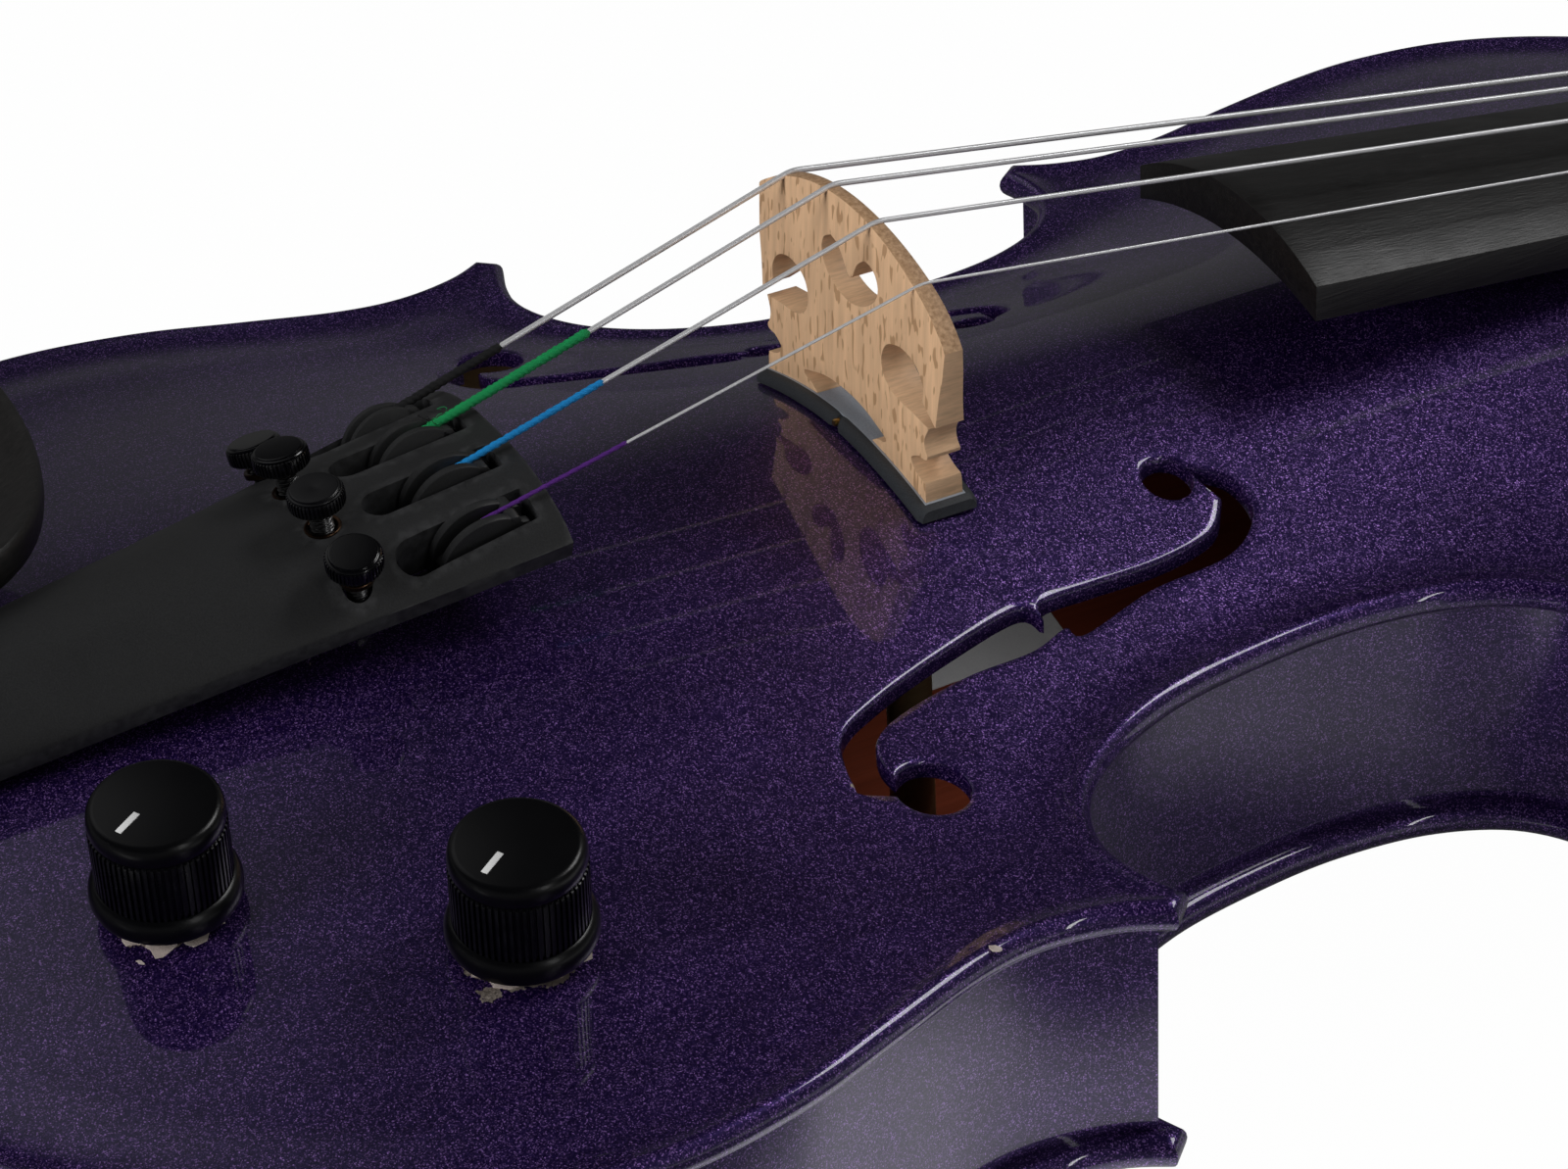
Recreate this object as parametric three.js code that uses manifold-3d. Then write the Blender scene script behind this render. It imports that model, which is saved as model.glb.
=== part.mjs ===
// Electric violin, full size, in millimetres, +Z up.
// It lies on its back: z = 0 is the flat crown of the back arch. X points to the treble side and
// Y from the end button to the scroll.

import * as THREE from "three";
import Module from "manifold-3d";
import { mergeVertices } from "three/addons/utils/BufferGeometryUtils.js";

const wasm = await Module();
wasm.setup();

// Clearances

const gap = 0.3;
const facetSlack = 0.25;
const runningGap = 0.35;
const overrun = 3;

// Body

const bodyLength = 356;
const bridgeShare = 0.45225;
const bridgeStop = bridgeShare * bodyLength;
const restPoint = 190;
const lowerBoutWidth = 209;
const waistWidth = 107.2;
const upperBoutWidth = 164;
const ribHeight = 30;
const backArch = 14.5;
const backFlatDepth = 1.6;
const bellyArch = 18;
const edgeThickness = 4.2;
const edgeRound = 1.4;
const channelDepth = 0.6;
const edgeOverhang = 3;
const bellyThickness = 2.8;
const backThickness = 3.2;
const ribThickness = 1.2;
const liningThickness = 3.2;
const liningHeight = 6;
const liningBevel = 1.6;
const buttonRadius = 11.5;
const buttonReach = 11;

// Half outline, from the end button round to the neck, as shares of the bout widths and the length.

const lowerBoutShares = [
  [0, 0], [0.21, 0.0025], [0.43, 0.0146], [0.632, 0.0407], [0.804, 0.08], [0.919, 0.129],
  [0.981, 0.174], [1, 0.225], [0.974, 0.2725], [0.923, 0.3146], [0.879, 0.351], [0.867, 0.3764],
  [0.882, 0.4003], [0.911, 0.4163],
];
const waistShares = [
  [1, 0, 0.4253], [0.839, 0, 0.4191], [0.684, 0, 0.4169], [0.516, 0, 0.4219], [0.347, 0, 0.4348],
  [0.192, 0, 0.4579], [0.0751, 0, 0.4888], [0.0155, 0, 0.5281], [0, 0, 0.5618], [0, 0.07, 0.5955],
  [0, 0.26, 0.622], [0, 0.54, 0.6365], [0, 0.8, 0.6385], [0, 1, 0.636],
];
const upperBoutShares = [
  [0.968, 0.6455], [0.932, 0.6615], [0.91, 0.6826], [0.92, 0.7107], [0.956, 0.7472], [0.99, 0.7893],
  [1, 0.8258], [0.971, 0.868], [0.89, 0.9073], [0.756, 0.9438], [0.573, 0.9719], [0.366, 0.9893],
  [0.171, 0.9978], [0, 1],
];
const lowerTipShare = 0.882;
const upperTipShare = 0.934;
const lowerSteps = 15;
const waistSteps = 10;
const upperSteps = 12;

// Half-width of the arching at equal steps round a half circle laid along the body.

const lowerArchShares = [0, 0.469, 0.756, 0.943, 0.981, 0.785];
const waistArchShares = [1.07, 1.08];
const upperArchShares = [0.921, 0.97, 0.72, 0.378, 0];
const archEdgeShare = 0.95;
const archCrossPower = 0.85;
const archLongPower = 0.62;
const spineStartShare = 0.14;
const spineEndShare = 0.87;
const innerRingShare = 0.86;
const archRingShares = [0.86, 0.6, 0.35, 0.15];
const undersideRingShares = [0.84, 0.56, 0.33, 0.15];
const smoothingPasses = 12;

// Blocks, bar and post

const blockDepth = 15;
const endBlockWidth = 48;
const topBlockWidth = 54;
const cornerBlockReach = 24;
const cornerBlockShares = [0.35, 0.5, 0.65, 0.82, 1];
const barWidth = 5.5;
const barHeight = 10;
const barEndHeight = 4;
const barLength = 268;
const barStart = 44;
const barLowerOffset = 20.5;
const barUpperOffset = 16;
const barSteps = 10;
const postDiameter = 6;
const postOffset = 19;
const postBehindBridge = 5;

// Sound holes, in shares of their length, measured from the notches

const soundHoleLength = 72;
const soundHoleOffset = 41.2;
const soundHoleAhead = 2.6;
const soundHoleStop = bridgeStop + soundHoleAhead;
const soundHoleInnerShares = [
  [-0.155, 0.455], [-0.1, 0.4], [-0.072, 0.28], [-0.062, 0.13], [-0.05, 0.02], [-0.014, 0],
  [-0.048, -0.03], [0, -0.19], [0.07, -0.37], [0.135, -0.475], [0.25, -0.51],
];
const soundHoleOuterShares = [
  [0.29, -0.42], [0.2, -0.44], [0.13, -0.39], [0.07, -0.21], [0.046, -0.06], [0.012, 0.03],
  [0.036, 0.05], [-0.02, 0.22], [-0.045, 0.4], [-0.11, 0.49], [-0.19, 0.49], [-0.24, 0.43],
];
const soundHoleSteps = 14;
const upperEyeShare = [-0.225, 0.385];
const lowerEyeShare = [0.285, -0.39];
const upperEyeDiameter = 6.6;
const lowerEyeDiameter = 9;

// Bridge and pickup

const bridgeHeight = 32.7;
const bridgeFootSpan = 41.4;
const bridgeFootThickness = 4.4;
const bridgeTopThickness = 1.5;
const bridgeTopRadius = 42;
const bridgeTreblePoint = 25.6;
const bridgeBassPoint = 28.2;
const bridgeLift = 1.2;
const bridgeOutlineShares = [
  [0.34, -0.07], [1, -0.07], [1, 0.03], [0.905, 0.05], [0.845, 0.08], [0.84, 0.115], [0.92, 0.152],
  [1.005, 0.158], [1.02, 0.19], [1, 0.225], [0.995, 0.28], [1.03, 0.325], [0.78, 0.35],
  [0.5, 0.405], [0.465, 0.5], [0.54, 0.58], [0.7, 0.615], [0.87, 0.585], [0.975, 0.51],
  [0.965, 0.46], [1.1, 0.39], [1.155, 0.55],
];
const bridgeWingShare = 1.18;
const bridgeFootCentreShare = 0.68;
const bridgeArchShares = [
  [0.34, 0.03], [0.42, 0.055], [0.52, 0.06], [0.46, 0.1], [0.28, 0.155], [0, 0.18],
];
const bridgeHeartShares = [
  [0, 0.61], [0.16, 0.66], [0.33, 0.7], [0.35, 0.78], [0.24, 0.83], [0.1, 0.79], [0, 0.72],
];
const pickupThickness = 1.6;
const pickupWidth = 8.4;
const pickupLength = 47;
const pickupSteps = 8;

// Neck, fingerboard and nut

const neckLength = 130;
const boardLength = 269.6;
const nutStop = bodyLength + neckLength;
const boardEndStop = nutStop - boardLength;
const boardEndHeight = 75.3;
const boardNutHeight = 44.75;
const boardEndWidth = 42.4;
const boardNutWidth = 24;
const boardEdge = 5;
const boardRadius = 42;
const boardScoop = 4;
const boardStations = 7;
const neckRootDepth = 6;
const neckRootWidth = 33;
const heelButtonWidth = 22;
const neckDepthAtNut = 13.5;
const neckDepthAtHeel = 16;
const heelReach = 10;
const heelRun = 24;
const nutLength = 5.5;
const nutRise = 0.9;

// Pegbox and scroll

const pegboxLength = 70;
const pegboxWidthAtNut = 24;
const pegboxWidthAtThroat = 19;
const pegboxDepthAtNut = 19;
const pegboxDepthAtThroat = 24;
const pegboxWall = 4.4;
const pegboxFloor = 4;
const scrollRadius = 20;
const scrollEyeRadius = 5;
const scrollHalfWidthAtThroat = 7;
const scrollHalfWidthAtEye = 20;
const scrollTurns = 2;
const scrollStepsPerTurn = 10;
const scrollDrop = 13.5;
const scrollSink = 9;
const pegStops = [15, 30, 44, 57];
const pegDepth = 9.5;
const pegDiameter = 7.6;
const pegCollarDiameter = 11;
const pegCollarLength = 3;
const pegNeckLength = 12;
const pegThumbLength = 23;
const pegThumbWidth = 17;
const pegThumbThickness = 6.5;

// Tailpiece

const tailpieceFront = 110;
const tailpieceBack = 8;
const tailpieceCrown = 77.1;
const tailpieceSlope = 0.12;
const tailpieceEdge = 71.5;
const tailpieceEdgeSlope = 0.165;
const tailpieceWidth = 42.4;
const tailpieceWall = 2.2;
const tailpiecePlug = 8;
const tailpieceStationShares = [
  [0, 0.38], [0.08, 0.45], [0.3, 0.605], [0.68, 0.81], [0.86, 0.93], [1, 1],
];
const tailpieceAcrossShares = [-1, -0.96, -0.8, -0.45, 0, 0.45, 0.8, 0.96, 1];
const tailpieceCrownPower = 2.4;
const tailpieceRollPower = 0.75;

// Fine tuners, in their own frame: origin on the tailpiece's top at the string's end

const tunerRadius = 56;
const tunerStop = 102.5;
const tunerAngles = [-15.3, -5.2, 5.2, 15.3];
const tunerRaises = [0, 2, 2, 0];
const tunerSlotWidth = 4.8;
const tunerSlotFront = 5;
const tunerSlotBack = 12.6;
const tunerBedDepth = 7.6;
const leverWidth = 4;
const leverStringGap = 1.7;
const leverArcRadius = 6.2;
const leverArcBehind = 1.7;
const leverArcCentre = -4.6;
const leverArcSteps = 8;
const leverPivotDepth = 5.2;
const leverPivotAhead = 1;
const leverPinDiameter = 2;
const leverPinLength = 7.4;
const leverArmDepth = 6.2;
const leverArmThickness = 2;
const leverStringSlotDepth = 3.4;
const screwBehind = 18.1;
const screwHeadDiameter = 7.1;
const screwHeadHeight = 2.8;
const screwHeadStandoff = 1.2;
const screwShankDiameter = 3;
const screwKnurls = 12;
const screwKnurlDepth = 0.25;

// Strings

const stringDiameters = [0.82, 0.76, 0.68, 0.4];
const bridgeSpacing = 11.3;
const nutSpacing = 5.45;
const stringSeat = 0.15;
const windingTurns = 3;
const windingPitch = 1.3;
const windingStepsPerTurn = 8;
const stringSides = 5;

// Saddle, end button and tail gut

const saddleWidth = 36;
const saddleDepth = 6.5;
const saddleRise = 4.6;
const endButtonHeight = 31;
const endButtonHeadDiameter = 14;
const endButtonHeadLength = 10;
const endButtonNeckDiameter = 9;
const endButtonNeckLength = 4;
const endButtonShaftDiameter = 7.5;
const endButtonShaftLength = 20;
const gutDiameter = 2.2;
const gutSpread = 5;

// Chin rest

const restCentreX = -53;
const restCentreY = 30;
const restHalfLength = 49;
const restHalfWidth = 31;
const restTop = 75;
const restRim = 5.4;
const restDish = 7;
const restPower = 2.5;
const restStepsRound = 28;
const restRingShares = [0.94, 0.7, 0.4];
const clampPlace = -41;
const clampTurn = -10.6;
const clampSpan = 26;
const clampPadDepth = 13;
const clampPlate = 2.2;
const clampShelf = 56;
const clampSkirt = 9;
const clampCork = 1.5;
const clampClear = 1;
const barrelDiameter = 6;
const barrelRodDiameter = 3;
const barrelLength = 22;

// Controls

const knobPlaces = [[40.5, 48.5], [66, 80.6]];
const knobTilt = 9.6;
const knobLean = 2.8;
const knobTopDiameter = 15.8;
const knobFaceDiameter = 14.3;
const knobSkirtDiameter = 17.5;
const knobHubDiameter = 11.9;
const knobHeight = 14;
const knobStandoff = 1.6;
const knobHubSink = 0.6;
const knobSkirtHeight = 3.4;
const knobBevel = 1.4;
const knobRibs = 20;
const knobRibDepth = 0.35;
const controlHoleDiameter = 13;
const potDiameter = 17;
const potHeight = 9;
const potBushDiameter = 8.8;
const potBushRise = 1.4;
const potFloor = 3;
const potShaftDiameter = 6;
const knobBoreShare = 0.75;
const potSeatSteps = 12;

// Output socket and leads

const jackPlaceShare = 0.35;
const jackDiameter = 11;
const jackBore = 6.4;
const jackLength = 26;
const jackFlangeDiameter = 18;
const jackFlangeThickness = 2.4;
const jackNutAcross = 13.5;
const jackWasher = 0.6;
const jackNutThickness = 3;
const leadDiameter = 2.4;
const leadHoleDiameter = 3.4;

// Levels worked out from the sizes above

const ribBase = backArch;
const ribTop = backArch + ribHeight;
const halfBridgeFoot = bridgeFootSpan / 2;

const finishes = {
  purple: { color: 0x2a1552, roughness: 0.25, metalness: 0.55 },
  ebony: { color: 0x0d0c0c, roughness: 0.55, metalness: 0 },
  plastic: { color: 0x101011, roughness: 0.5, metalness: 0 },
  gloss: { color: 0x060607, roughness: 0.15, metalness: 0.1 },
  maple: { color: 0xd2ab7d, roughness: 0.6, metalness: 0 },
  spruce: { color: 0xd9bd8c, roughness: 0.7, metalness: 0 },
  steel: { color: 0xb9bbc0, roughness: 0.3, metalness: 1 },
  brass: { color: 0xb08d3c, roughness: 0.35, metalness: 1 },
  rubber: { color: 0x2e3033, roughness: 0.8, metalness: 0 },
  string: { color: 0xc9cacc, roughness: 0.35, metalness: 1 },
};

const violin = new THREE.Group();
const body = new THREE.Group();
body.position.y = -restPoint;
violin.add(body);

function place(name, geometry, finish, parent = body) {
  const mesh = new THREE.Mesh(geometry, new THREE.MeshStandardMaterial(finishes[finish]));
  mesh.name = name;
  parent.add(mesh);
  return mesh;
}

// Solids

function toSolid(geometry) {
  const bare = geometry.clone();
  bare.deleteAttribute("normal");
  bare.deleteAttribute("uv");
  const merged = mergeVertices(bare, 1e-5);
  return new wasm.Manifold(new wasm.Mesh({
    numProp: 3,
    vertProperties: new Float32Array(merged.attributes.position.array),
    triVerts: new Uint32Array(merged.index.array),
  }));
}

function toGeometry(solid) {
  const mesh = solid.getMesh();
  const positions = new Float32Array(mesh.numVert * 3);
  for (let i = 0; i < mesh.numVert; i += 1) {
    for (let k = 0; k < 3; k += 1) {
      positions[3 * i + k] = mesh.vertProperties[mesh.numProp * i + k];
    }
  }
  const geometry = new THREE.BufferGeometry();
  geometry.setAttribute("position", new THREE.BufferAttribute(positions, 3));
  geometry.setIndex(new THREE.BufferAttribute(new Uint32Array(mesh.triVerts), 1));
  return geometry;
}

function cut(geometry, ...cutters) {
  return toGeometry(cutters.reduce((solid, cutter) => solid.subtract(toSolid(cutter)), toSolid(geometry)));
}

function join(first, ...others) {
  return toGeometry(others.reduce((solid, other) => solid.add(toSolid(other)), toSolid(first)));
}

function common(first, second) {
  return toGeometry(toSolid(first).intersect(toSolid(second)));
}

function fromTriangles(positions, triangles) {
  const geometry = new THREE.BufferGeometry();
  geometry.setAttribute("position", new THREE.Float32BufferAttribute(positions.flat(), 3));
  geometry.setIndex(triangles.flat());
  return geometry;
}

// A skin through rings of equally many points, closed at both ends by strips across the ring.
function loft(rings) {
  const count = rings[0].length;
  const triangles = [];
  for (let r = 0; r + 1 < rings.length; r += 1) {
    for (let i = 0; i < count; i += 1) {
      const a = r * count + i;
      const b = r * count + ((i + 1) % count);
      triangles.push([a, b, b + count], [a, b + count, a + count]);
    }
  }
  const last = (rings.length - 1) * count;
  for (let i = 0; i < count / 2 - 1; i += 1) {
    const j = count - 1 - i;
    triangles.push([i, j, i + 1], [last + i, last + i + 1, last + j]);
    if (j - 1 > i + 1) {
      triangles.push([j, j - 1, i + 1], [last + j, last + i + 1, last + j - 1]);
    }
  }
  return facingOut(fromTriangles(rings.flat(), triangles));
}

function facingOut(geometry) {
  const p = geometry.attributes.position;
  const index = geometry.index.array;
  const corners = [new THREE.Vector3(), new THREE.Vector3(), new THREE.Vector3()];
  let volume = 0;
  for (let i = 0; i < index.length; i += 3) {
    corners.forEach((corner, k) => corner.fromBufferAttribute(p, index[i + k]));
    volume += corners[0].dot(corners[1].clone().cross(corners[2]));
  }
  if (volume < 0) {
    for (let i = 0; i < index.length; i += 3) {
      [index[i + 1], index[i + 2]] = [index[i + 2], index[i + 1]];
    }
  }
  return geometry;
}

function prism(points, low, high) {
  const shape = new THREE.Shape(points.map(([x, y]) => new THREE.Vector2(x, y)));
  const geometry = new THREE.ExtrudeGeometry(shape, { depth: high - low, bevelEnabled: false });
  geometry.translate(0, 0, low);
  return facingOut(mergedPositions(geometry));
}

function mergedPositions(geometry) {
  const bare = geometry.clone();
  bare.deleteAttribute("normal");
  bare.deleteAttribute("uv");
  return mergeVertices(bare, 1e-5);
}

function box(lowX, highX, lowY, highY, lowZ, highZ) {
  const geometry = new THREE.BoxGeometry(highX - lowX, highY - lowY, highZ - lowZ);
  geometry.translate((lowX + highX) / 2, (lowY + highY) / 2, (lowZ + highZ) / 2);
  return geometry;
}

// A cylinder along Z from low to high.
function rod(diameter, low, high, sides = 20) {
  const geometry = new THREE.CylinderGeometry(diameter / 2, diameter / 2, high - low, sides);
  geometry.rotateX(Math.PI / 2);
  geometry.translate(0, 0, (low + high) / 2);
  return geometry;
}

// A revolved piece along Z through [radius, height] points.
function turned(profile, sides = 24) {
  const geometry = new THREE.LatheGeometry(profile.map(([r, z]) => new THREE.Vector2(r, z)), sides);
  geometry.rotateX(Math.PI / 2);
  return facingOut(mergedPositions(geometry));
}

// A tube of few sides through points, with flat ends.
function tube(points, diameter, sides) {
  const path = points.map(([x, y, z]) => new THREE.Vector3(x, y, z));
  const rings = [];
  let side = null;
  path.forEach((point, i) => {
    const before = path[Math.max(i - 1, 0)];
    const after = path[Math.min(i + 1, path.length - 1)];
    const tangent = after.clone().sub(before).normalize();
    if (!side) {
      side = new THREE.Vector3(1, 0, 0).cross(tangent).normalize();
    }
    side = side.sub(tangent.clone().multiplyScalar(side.dot(tangent))).normalize();
    const other = tangent.clone().cross(side);
    rings.push(Array.from({ length: sides }, (_, k) => {
      const angle = (2 * Math.PI * k) / sides;
      const reach = side.clone().multiplyScalar(Math.cos(angle)).addScaledVector(other, Math.sin(angle));
      return point.clone().addScaledVector(reach, diameter / 2).toArray();
    }));
  });
  return loft(rings);
}

// Outline

function splinePoints(rows, steps) {
  return new THREE.SplineCurve(rows.map(([x, y]) => new THREE.Vector2(x, y)))
    .getSpacedPoints(steps).map((p) => [p.x, p.y]);
}

const lowerTip = (lowerBoutWidth / 2) * lowerTipShare;
const upperTip = (upperBoutWidth / 2) * upperTipShare;
const lowerRows = lowerBoutShares.map(([x, y]) => [(x * lowerBoutWidth) / 2, y * bodyLength]);
const waistRows = waistShares.map(([low, high, y]) => [
  waistWidth / 2 + low * (lowerTip - waistWidth / 2) + high * (upperTip - waistWidth / 2),
  y * bodyLength,
]);
const upperRows = upperBoutShares.map(([x, y]) => [(x * upperBoutWidth) / 2, y * bodyLength]);
const lowerCurve = splinePoints(lowerRows, lowerSteps);
const waistCurve = splinePoints(waistRows, waistSteps);
const upperCurve = splinePoints(upperRows, upperSteps);
const halfOutline = [...lowerCurve, ...waistCurve, ...upperCurve];
halfOutline[0][0] = 0;
halfOutline[halfOutline.length - 1][0] = 0;

function mirrored(half) {
  return [...half, ...half.slice(1, -1).reverse().map(([x, y]) => [-x, y])];
}

// Moves each point of a closed ring inwards, square to the ring.
function inset(ring, distance) {
  return ring.map(([x, y], i) => {
    const [ax, ay] = ring[(i + ring.length - 1) % ring.length];
    const [bx, by] = ring[(i + 1) % ring.length];
    const before = new THREE.Vector2(x - ax, y - ay).normalize();
    const after = new THREE.Vector2(bx - x, by - y).normalize();
    const along = before.clone().add(after).normalize();
    const stretch = Math.min(1 / Math.max(along.dot(before), 0.5), 1.5);
    return [x - along.y * distance * stretch, y + along.x * distance * stretch];
  });
}

function smoothed(ring, passes) {
  let points = ring;
  for (let pass = 0; pass < passes; pass += 1) {
    points = points.map(([x, y], i) => {
      const [ax, ay] = points[(i + points.length - 1) % points.length];
      const [bx, by] = points[(i + 1) % points.length];
      return [(ax + 2 * x + bx) / 4, (ay + 2 * y + by) / 4];
    });
  }
  return points;
}

// Arching

const archTable = [
  ...lowerArchShares.map((share) => (share * lowerBoutWidth) / 2),
  ...waistArchShares.map((share) => (share * waistWidth) / 2),
  ...upperArchShares.map((share) => (share * upperBoutWidth) / 2),
];

function archHalfWidth(y) {
  const along = Math.acos(THREE.MathUtils.clamp(1 - (2 * y) / bodyLength, -1, 1)) / Math.PI;
  const place = along * (archTable.length - 1);
  const k = Math.min(Math.floor(place), archTable.length - 2);
  const t = place - k;
  const p0 = k > 0 ? archTable[k - 1] : -archTable[1];
  const p1 = archTable[k];
  const p2 = archTable[k + 1];
  const p3 = k + 2 < archTable.length ? archTable[k + 2] : -archTable[archTable.length - 2];
  return p1 + 0.5 * t * (p2 - p0 + t * (2 * p0 - 5 * p1 + 4 * p2 - p3 + t * (3 * (p1 - p2) + p3 - p0)));
}

function archShare(x, y) {
  const width = Math.max(archHalfWidth(y), edgeThickness);
  const across = Math.min(Math.abs(x) / width / archEdgeShare, 1);
  const cross = ((1 + Math.cos(Math.PI * across)) / 2) ** archCrossPower;
  const along = Math.sin(Math.PI * THREE.MathUtils.clamp(y / bodyLength, 0, 1)) ** archLongPower;
  return cross * along;
}

function bellyTop(x, y) {
  return ribTop + edgeThickness + (bellyArch - edgeThickness) * archShare(x, y);
}

function bellyUnder(x, y) {
  return Math.max(ribTop, bellyTop(x, y) - bellyThickness);
}

function backBottom(x, y) {
  const depth = edgeThickness + (backArch + backFlatDepth - edgeThickness) * archShare(x, y);
  return Math.max(0, ribBase - depth);
}

function backUpper(x, y) {
  return Math.min(ribBase, backBottom(x, y) + backThickness);
}

const outline = mirrored(halfOutline);
const smoothOutline = smoothed(outline, smoothingPasses);

function towardsSpine([x, y], share) {
  const spine = THREE.MathUtils.clamp(y, spineStartShare * bodyLength, spineEndShare * bodyLength);
  return [x * share, spine + (y - spine) * share];
}

function ringAt(share) {
  return smoothOutline.map((point) => towardsSpine(point, share));
}

function blend(ringA, ringB, share) {
  return ringA.map(([x, y], i) => [x + (ringB[i][0] - x) * share, y + (ringB[i][1] - y) * share]);
}

// A plate as rings: round the edge, up over the arch, and back along the inside.
function plate(level, outward, outside, inside) {
  const lift = (ring, height) => ring.map(([x, y]) => [x, y, height(x, y)]);
  const inner = ringAt(innerRingShare);
  const edge = (share) => () => level + outward * edgeThickness * share;
  const outerRings = [
    lift(outline, edge(0.5)),
    lift(inset(outline, edgeRound), edge(1)),
    lift(blend(inset(outline, edgeRound), inner, 0.5), (x, y) => outside(x, y) - outward * channelDepth),
    ...archRingShares.map((share) => lift(ringAt(share), outside)),
  ];
  const insideRings = [
    lift(inset(outline, edgeRound / 2), () => level),
    lift(blend(inset(outline, edgeRound), inner, 0.7), () => level),
    ...undersideRingShares.map((share) => lift(ringAt(share), inside)),
  ];
  return loft([...outerRings.reverse(), ...insideRings]);
}

function soundHole(side) {
  const at = ([x, y]) => [side * (soundHoleOffset + x * soundHoleLength), soundHoleStop + y * soundHoleLength];
  const inner = splinePoints(soundHoleInnerShares.map(at), soundHoleSteps);
  const outer = splinePoints(soundHoleOuterShares.map(at), soundHoleSteps);
  const low = ribTop - overrun;
  const high = ribTop + bellyArch + overrun;
  const eye = (share, diameter) => {
    const [x, y] = at(share);
    return rod(diameter, low, high, 12).translate(x, y, 0);
  };
  return [
    prism([...inner, ...outer], low, high),
    eye(upperEyeShare, upperEyeDiameter),
    eye(lowerEyeShare, lowerEyeDiameter),
  ];
}

// Controls' frames stand square to the belly where each knob sits.
const knobGroups = knobPlaces.map(([x, y]) => {
  const group = new THREE.Group();
  group.position.set(x, y, bellyTop(x, y));
  group.rotation.set(THREE.MathUtils.degToRad(knobLean), THREE.MathUtils.degToRad(knobTilt), 0);
  group.updateMatrix();
  body.add(group);
  return group;
});

const saddleHalf = saddleWidth / 2;
const leadHole = rod(leadHoleDiameter, ribTop, ribTop + bellyArch + overrun, 10).translate(0, bridgeStop, 0);
const neckHalf = neckRootWidth / 2;
const mortise = bodyLength - neckRootDepth;

place("top_plate", cut(
  plate(ribTop, 1, bellyTop, bellyUnder),
  ...soundHole(1),
  ...soundHole(-1),
  ...knobGroups.map((group) => rod(controlHoleDiameter, -bellyArch, overrun, 16).applyMatrix4(group.matrix)),
  box(-saddleHalf - gap, saddleHalf + gap, -overrun, saddleDepth + gap, ribTop - overrun, ribTop + bellyArch),
  box(-neckHalf - gap, neckHalf + gap, mortise - gap, bodyLength + overrun, ribTop - overrun, ribTop + bellyArch),
  leadHole,
), "purple");

const button = prism(
  splinePoints([
    [-buttonRadius, bodyLength - buttonReach], [-buttonRadius, bodyLength], [0, bodyLength + buttonReach],
    [buttonRadius, bodyLength], [buttonRadius, bodyLength - buttonReach],
  ], 16),
  ribBase - edgeThickness,
  ribBase,
);
place("back_plate", join(plate(ribBase, -1, backBottom, backUpper), button), "purple");

// Ribs: the outline drawn in by the overhang, split at the corners and at the neck.

function distanceTo(curve, [x, y]) {
  let least = Infinity;
  for (let i = 0; i + 1 < curve.length; i += 1) {
    const [ax, ay] = curve[i];
    const [bx, by] = curve[i + 1];
    const length = (bx - ax) ** 2 + (by - ay) ** 2;
    const t = THREE.MathUtils.clamp(((x - ax) * (bx - ax) + (y - ay) * (by - ay)) / length, 0, 1);
    least = Math.min(least, Math.hypot(x - ax - t * (bx - ax), y - ay - t * (by - ay)));
  }
  return least;
}

// A strip's places: the curve moved inwards, kept where it stays clear of the neighbouring curves.
function drawnIn(curve, distance, others) {
  const moved = curve.map(([x, y], i) => {
    const [ax, ay] = curve[Math.max(i - 1, 0)];
    const [bx, by] = curve[Math.min(i + 1, curve.length - 1)];
    const length = Math.hypot(bx - ax, by - ay);
    return [x - ((by - ay) / length) * distance, y + ((bx - ax) / length) * distance];
  });
  return moved.map((point, i) => ({ point, i }))
    .filter(({ point }) => others.every(([other, clear]) => distanceTo(other, point) >= clear))
    .map(({ point, i }) => ({ point, inward: inwardAt(curve, i) }));
}

function inwardAt(curve, i) {
  const [ax, ay] = curve[Math.max(i - 1, 0)];
  const [bx, by] = curve[Math.min(i + 1, curve.length - 1)];
  const length = Math.hypot(bx - ax, by - ay);
  return [-(by - ay) / length, (bx - ax) / length];
}

// The section of a rib: a thin wall with a lining along its top and its bottom.
function ribWall(places) {
  const low = ribBase + gap;
  const high = ribTop - gap;
  const section = [
    [0, low], [0, high], [liningThickness, high], [liningThickness, high - liningHeight],
    [ribThickness, high - liningHeight - liningBevel],
    [ribThickness, low + liningHeight + liningBevel],
    [liningThickness, low + liningHeight], [liningThickness, low],
  ];
  const order = [1, 2, 3, 4, 5, 6, 7, 0];
  const rings = places.map(({ point: [x, y], inward: [nx, ny] }) => order.map((k) => {
    const [reach, z] = section[k];
    return [x + nx * reach, y + ny * reach, z];
  }));
  return loftC(rings);
}

// Like loft, for the rib's channel section, whose ends are closed in three convex parts.
function loftC(rings) {
  const count = rings[0].length;
  const triangles = [];
  for (let r = 0; r + 1 < rings.length; r += 1) {
    for (let i = 0; i < count; i += 1) {
      const a = r * count + i;
      const b = r * count + ((i + 1) % count);
      triangles.push([a, b, b + count], [a, b + count, a + count]);
    }
  }
  const last = (rings.length - 1) * count;
  const ends = [[0, 1, 2], [0, 2, 3], [0, 3, 4], [0, 4, 7], [7, 4, 5], [7, 5, 6]];
  ends.forEach(([a, b, c]) => {
    triangles.push([a, c, b], [last + a, last + b, last + c]);
  });
  return facingOut(fromTriangles(rings.flat(), triangles));
}

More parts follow.
